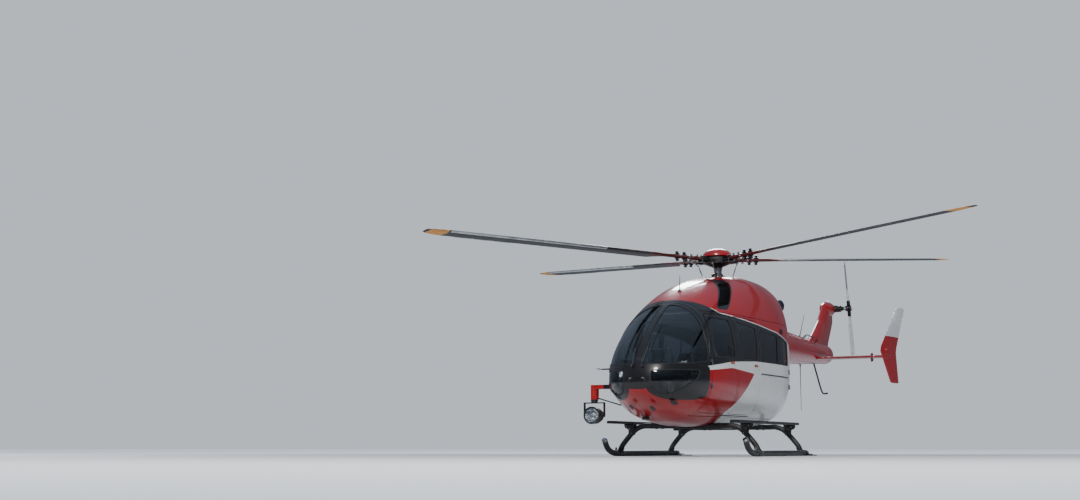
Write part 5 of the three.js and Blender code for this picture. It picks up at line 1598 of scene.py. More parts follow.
def rotor_head():
    head = Shape(HEAD_AT)
    bowl = [(-0.130, 0.072), (-0.126, 0.078), (-0.118, 0.088), (-0.112, 0.090), (-0.098, 0.142),
            (-0.093, 0.152), (-0.078, 0.186), (-0.062, 0.232), (-0.056, 0.240), (-0.012, 0.244),
            (-0.006, 0.248), (0.036, 0.250), (0.041, 0.247), (0.044, 0.238), (0.061, 0.12), (0.062, 0)]
    head.turned(bowl, (0, 0, 0), UP, 72, 0)
    for k in range(4):
        arm = quarter(k) @ Matrix.Rotation(-CONE, 4, "Y")
        head.slab(both_halves([(0.09, 0.060), (0.24, 0.050), (0.30, 0.056), (0.372, 0.056), (0.386, 0.048)]),
                  -0.048, 0.040, "z", 0, arm)
        head.slab(both_halves([(0.252, 0.070), (0.262, 0.078), (0.372, 0.078), (0.386, 0.066)]), -0.058,
                  -0.022, "z", 1, arm)
        for x, y in ((0.275, 0.064), (0.275, -0.064), (0.36, 0.064), (0.36, -0.064)):
            head.turned([(-0.066, 0.0105), (-0.058, 0.0105), (-0.022, 0.010), (-0.016, 0.010),
                         (-0.016, 0.007), (-0.010, 0.007)],
                        (x, y, 0), UP, 6, 2, arm)
        for x in (0.285, 0.345):
            head.turned([(0.039, 0.021), (0.046, 0.021), (0.046, 0.015), (0.058, 0.015), (0.059, 0.009),
                         (0.062, 0.009)],
                        (x, 0, 0), UP, 6, 2, arm)
        horn = quarter(k)
        head.slab([(0.252, 0.045), (0.298, 0.045), (0.296, 0.205), (0.290, 0.225), (0.272, 0.235),
                   (0.255, 0.222), (0.252, 0.200)], -0.051, -0.029, "z", 1, horn)
        head.turned([(-0.070, 0.012), (-0.052, 0.013), (-0.028, 0.013), (-0.022, 0.009)],
                    (0.272, 0.200, 0), UP, 16, 2, horn)
        for a in (20, 45, 70):
            bolt = Matrix.Rotation(math.radians(a) + k * math.pi / 2, 4, "Z")
            head.turned([(-0.068, 0.010), (-0.058, 0.010)], (0.222, 0, 0), UP, 6, 2, bolt)
    head.made("rotor_head_star", [TITANIUM, DARK_STEEL, STEEL], "main_rotor", "rotor_head",
              slot="hub_metal", edges=0.002)


def rotor_cap():
    cap = Shape(HEAD_AT)
    dome = [(0.0625, 0.238), (0.063, 0.2455), (0.070, 0.2465), (0.078, 0.2445), (0.080, 0.2405),
            (0.100, 0.2365), (0.118, 0.225), (0.134, 0.208), (0.150, 0.186), (0.165, 0.158),
            (0.178, 0.122), (0.187, 0.080), (0.1905, 0.040), (0.1915, 0.030), (0.192, 0.016)]
    cap.turned(dome, (0, 0, 0), UP, 88, 0)
    for k in range(12):
        a = 2 * math.pi * (k + 0.5) / 12
        out = Vector((math.cos(a), math.sin(a), 0))
        cap.turned([(0, 0.0065), (0.0022, 0.0055)], out * 0.2395 + Vector((0, 0, 0.089)),
                   out + Vector((0, 0, 0.2)), 12, 1)
    cap.made("rotor_cap_dome", [CAP_PAINT, STEEL], "main_rotor", "rotor_cap", slot="body_red", edges=0)


def rotor_mast():
    """The shaft with the turning half of the swashplate, its links and its scissors."""
    mast = Shape(HEAD_AT)
    mast.turned([(-0.70, 0.058), (-0.46, 0.058), (-0.45, 0.062), (-0.36, 0.062), (-0.30, 0.0615),
                 (-0.285, 0.058), (-0.235, 0.058), (-0.230, 0.066), (-0.205, 0.066), (-0.200, 0.058),
                 (-0.150, 0.058), (-0.145, 0.0615), (-0.1303, 0.0615)], (0, 0, 0), UP, 56, 0)
    disc = [(-0.350, 0.196), (-0.346, 0.204), (-0.342, 0.238), (-0.338, 0.246), (-0.322, 0.246),
            (-0.318, 0.238), (-0.312, 0.206), (-0.310, 0.196), (-0.310, 0.120), (-0.322, 0.112)]
    mast.turned(disc, (0, 0, 0), UP, 64, 1)
    for k in range(4):
        turn = quarter(k)
        foot, top = Vector((0.165, 0.165, -0.330)), Vector((0.272, 0.200, -0.062))
        way = (top - foot).normalized()
        length = (top - foot).length
        mast.turned([(0.004, 0.015), (0.020, 0.0165), (0.036, 0.015), (0.040, 0.0085), (0.060, 0.0075),
                     (length / 2 - 0.03, 0.0085), (length / 2 - 0.02, 0.0105), (length / 2 + 0.02, 0.0105),
                     (length / 2 + 0.03, 0.0085), (length - 0.050, 0.0075), (length - 0.034, 0.0085),
                     (length - 0.030, 0.0145), (length - 0.016, 0.0155), (length - 0.004, 0.0145)],
                    foot, way, 20, 0, turn)
        mast.slab([(0.120, 0.150), (0.150, 0.120), (0.185, 0.150), (0.192, 0.180), (0.180, 0.192),
                   (0.150, 0.185)], -0.352, -0.312, "z", 1, turn)
        mast.turned([(-0.026, 0.009), (0.026, 0.009)], (0.165, 0.165, -0.325), (1, -1, 0), 12, 0, turn)
    # Two scissor arms turn the plate with the mast
    for turn in (Matrix.Rotation(0.35, 4, "Z"), Matrix.Rotation(0.35 + math.pi, 4, "Z")):
        mast.turned([(-0.028, 0.014), (0.028, 0.014)], (0.076, 0, -0.218), PORT, 16, 1, turn)
        mast.slab([(0.062, -0.206), (0.084, -0.204), (0.172, -0.246), (0.176, -0.262), (0.160, -0.266),
                   (0.070, -0.232)], -0.014, 0.014, "y", 1, turn)
        mast.slab([(0.158, -0.250), (0.178, -0.252), (0.150, -0.318), (0.128, -0.322), (0.130, -0.306)],
                  -0.020, 0.020, "y", 1, turn)
        mast.turned([(-0.026, 0.010), (0.026, 0.010)], (0.167, 0, -0.256), PORT, 12, 0, turn)
    mast.made("rotor_mast_shaft", [STEEL, DARK_STEEL], "main_rotor", "rotor_mast", slot="mast_steel",
              edges=0.0012)


def cap_paint():
    look = Weathered("cap_paint", RED, 0.34, coat_weight=0.5, coat_roughness=0.05, dust=0.4, streaks=0.2)
    cloud = look.noise(look.place, 8.0, 6.0)
    shade = look.mixed(look.ramp(cloud, 0.35, 0.8), RED, (0.24, 0.012, 0.014))
    look.set(base_color=look.mixed(look.grime, shade, (0.15, 0.12, 0.10)))
    look.set(roughness=look.maths("MULTIPLY_ADD", look.grime, 0.4, 0.30))
    look.bumped(look.ripple, 0.05, 0.002)
    return look.material


CAP_PAINT = cap_paint()
rotor_head()
rotor_cap()
rotor_mast()
for k in range(4):
    blade(k)


# Tail rotor
# Two white blades see-saw on a dark steel spider at the end of the gearbox's shaft. A
# sliding collar and two short links set their pitch.

TAIL_HUB_AT = Matrix.Translation((SHAFT_X, 0.41, SHAFT_Z)) @ Matrix.Rotation(math.radians(14), 4, "Y")
TAIL_BLADE = [(0.166, 0.096, 0.040), (0.300, 0.104, 0.036), (0.370, 0.200, 0.026), (0.920, 0.200, 0.020),
              (0.965, 0.178, 0.015), (0.980, 0.150, 0.010)]
TAIL_NARROWED = 0.965  # the share of the drawn chord that is built


def blade_white():
    look = Weathered("white_blade_paint", (0.70, 0.70, 0.69), 0.38, dust=0.4, streaks=0.3)
    cloud = look.noise(look.place, 12.0, 6.0)
    shade = look.mixed(look.ramp(cloud, 0.4, 0.8), (0.72, 0.72, 0.71), (0.60, 0.60, 0.585))
    look.set(base_color=look.mixed(look.grime, shade, (0.25, 0.23, 0.2)))
    look.set(roughness=look.maths("MULTIPLY_ADD", look.fine, 0.12, 0.32))
    look.bumped(look.fine, 0.10, 0.0008)
    return look.material


BLADE_WHITE = blade_white()


def tail_blade(k):
    turn = Matrix.Rotation(math.pi * k, 4, "Y") @ Matrix.Rotation(math.radians(8), 4, "Z")
    made = Shape(TAIL_HUB_AT @ turn)

    def ring(radius):
        chord, thick = between(TAIL_BLADE, radius)
        return [((chord * 0.4 - back) * TAIL_NARROWED, side, radius)
                for back, side in aerofoil(chord, thick, 44)]

    made.loft([ring(r) for r in (0.166, 0.20, 0.25, 0.30, 0.32, 0.345, 0.37,
                                 *np.linspace(0.42, 0.90, 9), 0.92, 0.945, 0.965, 0.974, 0.98)], 0)
    guard = []
    for r in np.linspace(0.40, 0.915, 6):
        row = ring(r)
        strip = [(row[n % 44][0] + 0.0008, row[n % 44][1] * 1.05, r) for n in range(-5, 6)]
        guard.append(strip + [(x - 0.003, y * 0.7, z) for x, y, z in reversed(strip)])
    made.loft(guard, 1)
    for z in (0.19, 0.24):
        made.turned([(-0.028, 0.012), (0.028, 0.012)], (0.0, 0, z), PORT, 6, 2)
    made.made(f"tail_blade_skin_{k + 1}", [BLADE_WHITE, ALLOY, STEEL], "tail_rotor",
              f"tail_blade_{k + 1}", slot="blade_white", edges=0)


def tail_hub():
    hub = Shape(TAIL_HUB_AT)
    hub.turned([(-0.1097, 0.026), (-0.074, 0.026), (-0.070, 0.022), (-0.044, 0.022), (-0.040, 0.026),
                (0.030, 0.026), (0.034, 0.032), (0.044, 0.032), (0.046, 0.020), (0.055, 0.018)],
               (0, 0, 0), PORT, 36, 1)
    hub.turned([(-0.070, 0.056), (-0.067, 0.062), (-0.048, 0.062), (-0.045, 0.056)], (0, 0, 0), PORT, 40, 1)
    hub.slab([(-0.030, -0.165), (0.030, -0.165), (0.044, -0.150), (0.052, -0.060), (0.050, 0.060),
              (0.044, 0.150), (0.030, 0.165), (-0.030, 0.165), (-0.044, 0.150), (-0.052, 0.060),
              (-0.050, -0.060), (-0.044, -0.150)], -0.024, 0.024, "y", 0)
    for way in (1, -1):
        hub.slab([(0.0, -0.014), (0.070 * way, -0.012), (0.095 * way, -0.008), (0.095 * way, 0.008),
                  (0.070 * way, 0.012), (0.0, 0.014)][::way], -0.068, -0.050, "y", 1)
        hub.turned([(0, 0.0105), (0.014, 0.0115), (0.020, 0.007), (0.088, 0.007), (0.096, 0.0115),
                    (0.1077, 0.0105)],
                   (0.085 * way, -0.060, 0), (0, 0.1, 0.04 * way), 18, 2)
        hub.slab([(0.040 * way, 0.027 * way), (0.088 * way, 0.028 * way), (0.092 * way, 0.038 * way),
                  (0.086 * way, 0.050 * way), (0.040 * way, 0.052 * way)], 0.027, 0.043, "y", 0)
        hub.slab([(-0.048, 0.026 * way), (0.048, 0.026 * way), (0.044, 0.052 * way),
                  (-0.044, 0.052 * way)][::way], 0.022, 0.043, "y", 0)
        for z in (0.10, 0.14):
            hub.turned([(-0.030, 0.011), (-0.024, 0.011), (0.024, 0.011), (0.032, 0.011)],
                       (0, 0, z * way), PORT, 6, 2)
    hub.made("tail_rotor_spider", [DARK_STEEL, STEEL, STEEL], "tail_rotor", "tail_rotor_hub",
             slot="hub_metal", edges=0.0012)


for k in range(2):
    tail_blade(k)
tail_hub()


# Landing gear
# Two bent alloy cross tubes carry the skid tubes in bolted saddles, and all of it is
# painted black. Plastic snow pads are strapped under the skids' ends, and long
# footsteps with a gritty top stand on brackets on the cross tubes.

SKID_Y, SKID_RADIUS, CROSS_TUBES = 1.155, 0.045, (1.45, -0.65)
SKID_LINE = [(-0.96, 0.045), (-0.30, 0.045), (0.70, 0.045), (1.50, 0.045), (1.76, 0.063), (1.93, 0.130),
             (2.04, 0.260)]
CROSS_LINE = [(1.149, 0.085), (1.095, 0.190), (0.905, 0.395), (0.760, 0.466), (0.600, 0.470), (0.300, 0.470)]
STEP = {"from": -0.83, "to": 2.25, "centre": 1.01, "half": 0.08, "top": 0.545, "thick": 0.042}
PAD = [(-1.33, -0.060), (-1.25, -0.175), (-0.76, -0.175), (-0.66, 0.0), (-0.76, 0.110), (-1.25, 0.110)]


def grit_material():
    """Black paint with sand in it, rubbed grey where boots land."""
    look = Weathered("step_grit", (0.016, 0.016, 0.017), 0.85, dust=0.9, streaks=0.1)
    sand = look.add("TexVoronoi", {"Vector": look.place, "Scale": 420.0}).outputs[0]
    cloud = look.noise(look.place, 4.0, 6.0)
    rubbed = look.maths("MULTIPLY", look.ramp(cloud, 0.50, 0.72), look.ramp(sand, 0.5, 0.1))
    shade = look.mixed(sand, (0.030, 0.030, 0.031), (0.010, 0.010, 0.011))
    shade = look.mixed(look.maths("MULTIPLY", rubbed, 0.5), shade, (0.15, 0.15, 0.15))
    look.set(base_color=look.mixed(look.grime, shade, (0.14, 0.12, 0.095)))
    look.bumped(sand, 0.8, 0.0016)
    return look.material


def pad_plastic():
    look = Weathered("pad_plastic", (0.022, 0.022, 0.024), 0.55, dust=1.0, streaks=0.2)
    along = look.add("Mapping", {0: look.place, 3: (0.6, 14.0, 4.0)}).outputs[0]
    scratch = look.ramp(look.noise(along, 7.0, 8.0), 0.56, 0.62)
    shade = look.mixed(look.maths("MULTIPLY", scratch, 0.5), (0.022, 0.022, 0.024), (0.09, 0.09, 0.09))
    look.set(base_color=look.mixed(look.grime, shade, (0.15, 0.13, 0.10)))
    look.bumped(look.maths("SUBTRACT", look.fine, scratch), 0.4, 0.0012)
    return look.material


GRIT, PAD_PLASTIC = grit_material(), pad_plastic()


def skids():
    for way, side in SIDES:
        made = Shape()
        line = [(x, SKID_Y, z) for x, z in SKID_LINE]
        made.tube(line, SKID_RADIUS, 36, 10)
        made.turned([(-0.001, 0.0455), (0.006, 0.047), (0.030, 0.047), (0.036, 0.0455)], line[0], FORE, 36, 1)
        end = Vector(line[-1]) - Vector(line[-2])
        made.turned([(-0.030, 0.0455), (-0.026, 0.047), (-0.002, 0.047), (0.004, 0.040), (0.008, 0.020),
                     (0.009, 0)], line[-1], end, 36, 1)
        for x in CROSS_TUBES:
            made.turned([(-0.075, 0.0475), (-0.072, 0.0535), (-0.060, 0.054), (-0.058, 0.0525),
                         (0.058, 0.0525), (0.060, 0.054), (0.072, 0.0535), (0.075, 0.0475)],
                        (x, SKID_Y, SKID_RADIUS), FORE, 40, 0)
            for dx in (-0.062, 0.062):
                for up in (0.030, 0.062):
                    for dy in (-0.0525, 0.0465):
                        made.turned([(0, 0.009), (0.006, 0.009), (0.008, 0.006)],
                                    (x + dx, SKID_Y + dy + (0.004 if dy < 0 else 0), up),
                                    (0, 1 if dy > 0 else -1, 0), 6, 1)
        # Steel wear shoes under the skid
        shoe = []
        for radius, sweep in ((SKID_RADIUS + 0.0018, 0.62), (SKID_RADIUS - 0.004, -0.62)):
            for a in np.linspace(-sweep, sweep, 9):
                shoe.append((SKID_Y + radius * math.sin(a), max(SKID_RADIUS - radius * math.cos(a), 0.0006)))
        for x0, x1 in ((-0.52, 0.22), (0.34, 1.34)):
            made.slab(shoe, x0, x1, "x", 1)
        # Tow lug and the pad with its straps
        made.slab([(1.560, 0.082), (1.640, 0.088), (1.630, 0.125), (1.612, 0.142), (1.586, 0.140),
                   (1.570, 0.122)], SKID_Y - 0.006, SKID_Y + 0.006, "y", 1)
        pad = softened_plane([(x, SKID_Y + y) for x, y in PAD], 0.06)
        stacked(made, pad, ((0.0, 0.004), (0.003, 0.0), (0.011, 0.0), (0.0139, 0.004)), 2)
        for x in (-1.10, -0.86):
            strap = [(-0.075, 0.0135), (-0.060, 0.020), (-0.050, 0.048), (-0.038, 0.078),
                     (-0.012, 0.0935), (0.012, 0.0935), (0.038, 0.078), (0.050, 0.048), (0.060, 0.020),
                     (0.075, 0.0135)]
            if x < -0.96:
                strap = [(-0.075, 0.0135), (-0.055, 0.016), (-0.045, 0.034), (0.045, 0.034),
                         (0.055, 0.016), (0.075, 0.0135)]
            upper = [(SKID_Y + y, z + 0.003) for y, z in strap]
            lower = [(SKID_Y + y, z - 0.001) for y, z in reversed(strap)]
            made.slab(upper + lower, x - 0.020, x + 0.020, "x", 1)
            for dy in (-0.088, 0.088):
                made.turned([(0, 0.010), (0.005, 0.010), (0.006, 0.006)], (x, SKID_Y + dy, 0.0135), UP, 6, 1)
                made.box(x - 0.020, x + 0.020, SKID_Y + dy - 0.018, SKID_Y + dy + 0.018, 0.012, 0.0165, 1)
        made.verts = [Vector((v.x, v.y, max(v.z, 0.0002))) for v in made.verts]
        made.made(f"skid_tube_{side}", [BLACK_PAINT, STEEL, PAD_PLASTIC], "airframe", f"skid_{side}",
                  slot="gear_black", edges=0.0012, mirrored=way < 0)


def softened_plane(points, radius, count=6):
    """A plane outline with its corners rounded."""
    out, points = [], [Vector(p) for p in points]
    for k, here in enumerate(points):
        before, after = points[k - 1] - here, points[(k + 1) % len(points)] - here
        reach = min(radius, before.length / 2.05, after.length / 2.05)
        a, b = here + before.normalized() * reach, here + after.normalized() * reach
        out += [tuple(a * (1 - t) ** 2 + here * (2 * t * (1 - t)) + b * t * t)
                for t in [n / count for n in range(count + 1)]]
    return out


def rounded_rectangle(x0, x1, y0, y1, radius):
    return softened_plane([(x0, y0), (x1, y0), (x1, y1), (x0, y1)], radius)


def inset_plane(outline, by):
    """The outline drawn in by a small length."""
    points = np.array(outline)
    way = np.roll(points, -1, 0) - np.roll(points, 1, 0)
    way /= np.maximum(np.linalg.norm(way, axis=1, keepdims=True), 1e-9)
    inner = np.stack([-way[:, 1], way[:, 0]], -1)
    if ((points.mean(0) - points) * inner).sum() < 0:
        inner = -inner
    return (points + inner * by).tolist()


def stacked(shape, outline, layers, finish):
    """A flat board whose outline is drawn in by a length at each level."""
    shape.loft([[(x, y, z) for x, y in inset_plane(outline, by)] for z, by in layers], finish)


def cross_tubes():
    for x, name in zip(CROSS_TUBES, ("front", "rear")):
        made = Shape()
        line = [(x, y, z) for y, z in CROSS_LINE]
        made.tube([*line, *((x, -y, z) for _, y, z in reversed(line))], 0.042, 32, 9)
        for way in (1, -1):
            made.loft([[(x + r * math.cos(a), way * (1.149 - (z - 0.085) * 0.51) + r * math.sin(a), z)
                        for a in np.linspace(0, 2 * math.pi, 28, endpoint=False)]
                       for z, r in ((0.092, 0.042), (0.094, 0.050), (0.126, 0.050), (0.130, 0.042))], 1)
            # Clamps that hold the tube to the belly
            for y in (0.42, 0.52):
                made.turned([(-0.020, 0.045), (-0.017, 0.048), (0.017, 0.048), (0.020, 0.045)],
                            (x, way * y, 0.470), PORT, 36, 2)
        made.made(f"cross_tube_{name}_bent", [BLACK_PAINT, RUBBER, BLACK_PAINT], "airframe",
                  f"cross_tube_{name}", slot="gear_black", edges=0)


def steps():
    for way, side in SIDES:
        made = Shape()
        near, far = STEP["centre"] - STEP["half"], STEP["centre"] + STEP["half"]
        board = softened_plane([(STEP["from"], near), (STEP["to"] - 0.16, near),
                                (STEP["to"], STEP["centre"]), (STEP["to"] - 0.16, far),
                                (STEP["from"], far)], 0.03)
        top, low = STEP["top"], STEP["top"] - STEP["thick"]
        stacked(made, board, ((low, 0.004), (low + 0.004, 0), (top - 0.006, 0), (top - 0.0022, 0.004)), 0)
        stacked(made, board, ((top - 0.004, 0.010), (top - 0.0005, 0.0105), (top, 0.012)), 1)
        for x in CROSS_TUBES:
            bracket = [(0.880, low + 0.004), (0.885, 0.425), (0.900, 0.418), (0.905, 0.340),
                       (0.915, 0.332), (0.975, 0.332), (0.988, 0.345), (0.990, 0.418), (1.040, 0.440),
                       (1.060, 0.470), (1.060, low + 0.004)]
            for from_x, to_x in ((-0.045, -0.030), (0.030, 0.045)):
                made.slab(bracket, x + from_x, x + to_x, "x", 0)
            made.box(x - 0.045, x + 0.045, 0.885, 1.055, low - 0.010, low + 0.003, 0)
            for y, z in ((0.93, 0.360), (0.965, 0.430), (1.02, 0.470)):
                made.turned([(-0.052, 0.008), (-0.044, 0.010), (0.044, 0.010), (0.052, 0.008)], (x, y, z),
                            FORE, 6, 2)
        for x in np.linspace(-0.72, 2.0, 9):
            for y in (near + 0.016, far - 0.016):
                made.turned([(0, 0.006), (0.0018, 0.0045)], (float(x), y, top - 0.0022), UP, 10, 2)
        made.made(f"step_board_{side}", [BLACK_PAINT, GRIT, STEEL], "airframe", f"step_{side}",
                  slot="gear_black", edges=0.001, mirrored=way < 0)


skids()
cross_tubes()
steps()


# Searchlight
# A steel arm on the starboard side of the nose carries a swivel, a forked yoke and a
# black finned lamp with a deep mirror behind hardened glass. A strut steadies the arm.

LAMP = Vector((2.72, -1.0, 0.615))
LAMP_GLASS = clear_sheet("lamp_glass", (0.92, 0.95, 0.97), 0.015, 1.48, (0.3, 0.012), (0.03, 0.001), 0.25,
                         0.1)
MIRROR = plain_metal("silvered_mirror", (0.86, 0.87, 0.88), 0.09, grain=0.05, dust=0.05)


def searchlight_arm():
    x, y, _ = LAMP
    arm = Shape()
    arm.slab(rounded_rectangle(x - 0.045, x + 0.045, 1.010, 1.075, 0.012), -0.96, -0.66, "y", 0)
    arm.slab(rounded_rectangle(x - 0.045, x + 0.045, -1.045, -0.94, 0.014), 0.853, 1.075, "z", 0)
    arm.turned([(0.0003, 0.055), (0.006, 0.056), (0.018, 0.056), (0.024, 0.050), (0.032, 0.050)],
               (x, y, 0.828), UP, 40, 1)
    arm.slab([(-0.705, 1.105), (-0.640, 1.120), (-0.600, 1.020), (-0.640, 0.955), (-0.700, 0.975),
              (-0.712, 1.010), (-0.712, 1.075)], x - 0.060, x + 0.060, "x", 1)
    for dy, dz in ((-0.685, 1.092), (-0.685, 0.992), (-0.650, 1.105), (-0.645, 0.975)):
        arm.turned([(-0.068, 0.008), (-0.060, 0.010), (0.060, 0.010), (0.068, 0.008)], (x, dy, dz), FORE,
                   6, 2)
    arm.tube([(x - 0.010, y + 0.040, 0.880), (x - 0.010, -0.560, 0.764)], 0.010, 20, smooth=False, finish=1)
    for place in ((x - 0.010, y + 0.052, 0.877), (x - 0.010, -0.585, 0.771)):
        arm.turned([(-0.016, 0.014), (0.016, 0.014)], place, FORE, 18, 2)
    for dz in (0.90, 0.93, 0.96, 0.99):
        arm.turned([(0, 0.0065), (0.004, 0.0065), (0.005, 0.004)], (x + 0.0448, -0.99, dz + 0.02), FORE, 6, 2)
    arm.tube([(x - 0.052, -0.66, 1.03), (x - 0.056, -0.80, 1.022), (x - 0.056, -0.94, 1.02),
              (x - 0.054, -0.985, 0.98), (x - 0.052, -1.0, 0.90), (x - 0.045, -1.0, 0.862)],
             0.006, 14, 8, 3)
    arm.made("searchlight_arm_tube", [PAINT, BLACK_PAINT, STEEL, RUBBER], "airframe", "searchlight_arm",
             slot="arm_red", edges=0.0015)


def searchlight_yoke():
    x, y, z = LAMP
    yoke = Shape()
    bar = z + 0.180
    yoke.turned([(0.005, 0.048), (0.010, 0.050), (0.030, 0.050), (0.033, 0.046)], (x, y, bar), UP, 40, 0)
    for side in (-1, 1):
        outer, inner = y + side * 0.172, y + side * 0.158
        yoke.slab(rounded_rectangle(x - 0.026, x + 0.026, z - 0.026, bar + 0.018, 0.020),
                  min(outer, inner), max(outer, inner), "y", 0)
        yoke.turned([(0.0, 0.018), (0.0019, 0.018)], (x, outer - side * 0.002, z), (0, side, 0), 24, 1)
        for dx in (-0.014, 0.014):
            yoke.turned([(0, 0.006), (0.0018, 0.005)], (x + dx, outer - side * 0.0018, z + 0.11),
                        (0, side, 0), 12, 1)
    yoke.slab(rounded_rectangle(y - 0.172, y + 0.172, bar, bar + 0.018, 0.006), x - 0.026, x + 0.026, "x", 0)
    yoke.made("searchlight_fork", [BLACK_PAINT, STEEL], "searchlight_pan", "searchlight_yoke",
              slot="hub_metal", edges=0.001)


def searchlight_lamp():
    """The finned drum with its mirror, bulb and struts, and the glass in front of them."""
    lamp = Shape()
    drum = [(-0.150, 0.062), (-0.146, 0.070)]
    for k in range(7):
        along, top, root = 0.016 * k, 0.100 + 0.0045 * k, 0.0055 * k
        drum += [(-0.128 + along, 0.090 + root - (0.010 if k else 0)), (-0.126 + along, top),
                 (-0.121 + along, top), (-0.119 + along, 0.084 + root)]
    drum += [(-0.010, 0.118), (-0.004, 0.127), (0.060, 0.130), (0.064, 0.1275), (0.070, 0.1275),
             (0.074, 0.1315), (0.112, 0.132), (0.117, 0.129), (0.118, 0.122), (0.106, 0.1205),
             (0.104, 0.116), (0.096, 0.1155)]
    lamp.turned([*drum, (0.090, 0.115), (0.060, 0.108), (0.020, 0.093), (-0.015, 0.068), (-0.035, 0.035),
                 (-0.040, 0.0)], LAMP, FORE, 64, 0)
    bowl = [(0.0955, 0.1145), (0.090, 0.1140), (0.060, 0.1070), (0.020, 0.0920), (-0.015, 0.0670),
            (-0.034, 0.0350), (-0.039, 0.0)]
    lamp.turned([*[(s + 0.001, r) for s, r in reversed(bowl)],
                 *[(s - 0.0006, r + 0.0006) for s, r in bowl]], LAMP, FORE, 64, 1, capped=False)
    lamp.turned([(-0.036, 0.012), (0.000, 0.012), (0.006, 0.0065), (0.042, 0.0065), (0.046, 0.003),
                 (0.047, 0)], LAMP, FORE, 20, 2)
    for k in range(3):
        a = 2 * math.pi * k / 3 + 0.5
        out = Vector((0, math.cos(a), math.sin(a)))
        lamp.tube([LAMP + out * 0.006 + Vector((0.040, 0, 0)),
                   LAMP + out * 0.112 + Vector((0.088, 0, 0))], 0.0022, 8, smooth=False, finish=3)
    for k in range(8):
        a = 2 * math.pi * (k + 0.5) / 8
        lamp.turned([(0, 0.0055), (0.003, 0.005)],
                    LAMP + Vector((0.116, 0.1255 * math.cos(a), 0.1255 * math.sin(a))), FORE, 10, 3)
    for side in (-1, 1):
        lamp.turned([(0.118, 0.030), (0.140, 0.028), (0.142, 0.016), (0.1577, 0.016)], LAMP, (0, side, 0),
                    24, 0)
    lamp.made("searchlight_drum", [BLACK_PAINT, MIRROR, LENS_CLEAR, STEEL], "searchlight_tilt",
              "searchlight_lamp", slot="gear_black", edges=0)
    front = Shape()
    front.turned([(0.100, 0.1185), (0.1055, 0.1185), (0.1065, 0.090), (0.1075, 0.045), (0.108, 0.0)],
                 LAMP, FORE, 56)
    front.made("searchlight_glass", [LAMP_GLASS], "searchlight_tilt", edges=0)


searchlight_arm()
searchlight_yoke()
searchlight_lamp()


# Engine deck, gearbox, air intakes and exhausts
# The grey alloy deck over the cabin carries the engines and the main gearbox. The air intakes are screened
# with black slats over wire mesh, and the stainless exhaust pipes are tinted by heat towards their mouths.


def heated_steel():
    """Stainless steel, straw and blue where it has been hot, sooty at the mouth."""
    look = Weathered("heated_steel", (0.34, 0.29, 0.25), 0.34, metallic=1.0, dust=0.2, streaks=0.4)
    x = look.add("SeparateXYZ", {0: look.place}).outputs[0]
    cloud = look.noise(look.place, 7.0, 5.0)
    hot = look.ramp(look.maths("MULTIPLY_ADD", cloud, 0.22, x), -0.10, -0.68)
    straw = look.mixed(look.ramp(hot, 0.05, 0.45), (0.42, 0.40, 0.37), (0.34, 0.22, 0.12))
    blue = look.mixed(look.ramp(hot, 0.45, 0.75), straw, (0.11, 0.10, 0.17))
    soot = look.mixed(look.ramp(hot, 0.80, 1.0), blue, (0.035, 0.032, 0.030))
    look.set(base_color=look.mixed(look.grime, soot, (0.05, 0.045, 0.04)))
    look.set(roughness=look.maths("MULTIPLY_ADD", hot, 0.3, 0.26))
    look.bumped(look.maths("ADD", look.ripple, look.fine), 0.12, 0.001)
    return look.material


def wire_mesh():
    """Fine black wire cloth, as a weave in the surface."""
    look = Weathered("wire_mesh", (0.006, 0.006, 0.007), 0.5, metallic=0.6, dust=0.3, streaks=0.3)
    waves = []
    for direction in ("X", "Z"):
        wave = look.add("TexWave", {"Vector": look.place, "Scale": 60.0}, bands_direction=direction)
        waves.append(wave.outputs[1])
    weave = look.maths("MAXIMUM", *waves)
    look.set(base_color=look.mixed(weave, (0.0015, 0.0015, 0.002), (0.020, 0.020, 0.022)))
    look.bumped(weave, 0.8, 0.002)
    return look.material


HEATED, WIRE_MESH = heated_steel(), wire_mesh()
DECK_PAINT = sprayed("deck_paint", (0.30, 0.31, 0.31), 0.5, dust=0.8)
CASTING = sprayed("gearbox_casting", (0.42, 0.44, 0.43), 0.45, wear=0.3, dust=0.8)


def dressed(node, *materials):
    """A solid that is shown as it is gets its finish."""
    solid = bpy.data.objects[node]
    solid.data.materials.clear()
    for material in materials:
        solid.data.materials.append(material)


def exhausts():
    start, end = Vector(EXHAUST["from"]), Vector(EXHAUST["to"])
    length, outer = (end - start).length, EXHAUST["radius"] - 0.0005
    inner = EXHAUST["radius"] - 0.009
    for way, side in SIDES:
        made = Shape()
        wall = [(0, outer - 0.004), (0.004, outer), (length - 0.016, outer), (length - 0.012, outer + 0.0004)]
        wall += [(length - 0.003, outer + 0.0004), (length, outer - 0.002), (length - 0.001, inner),
                 (length - 0.05, inner - 0.001)]
        wall += [(0.24, inner - 0.004), (0.04, inner - 0.012), (0.035, 0)]
        made.turned(wall, start, end - start, 64)
        for at in (0.30, 0.62):
            near, far = at * length, at * length + 0.014
            band = [(near, outer - 0.001), (near, outer + 0.0006), (far, outer + 0.0006),
                    (far, outer - 0.001)]
            made.turned(band, start, end - start, 64, 1, capped=False)
        made.turned([(0, 0.056), (0.064, 0.056)], (-1.1603, 0.335, 2.455), (-1, 0, 0), 40)
        made.made(f"exhaust_pipe_{side}", [HEATED, STEEL], "airframe", f"exhaust_{side}",
                  slot="exhaust_steel", edges=0, mirrored=way < 0)


def remade(mesh, dress, value):
    """The mesh as it is once a modifier has worked on it."""
    carrier = placed(mesh.name + "_source", mesh)
    dress(carrier, value)
    result = bpy.data.meshes.new_from_object(carrier.evaluated_get(bpy.context.evaluated_depsgraph_get()))
    bpy.data.objects.remove(carrier)
    bpy.context.scene.frame_set(1)
    return result


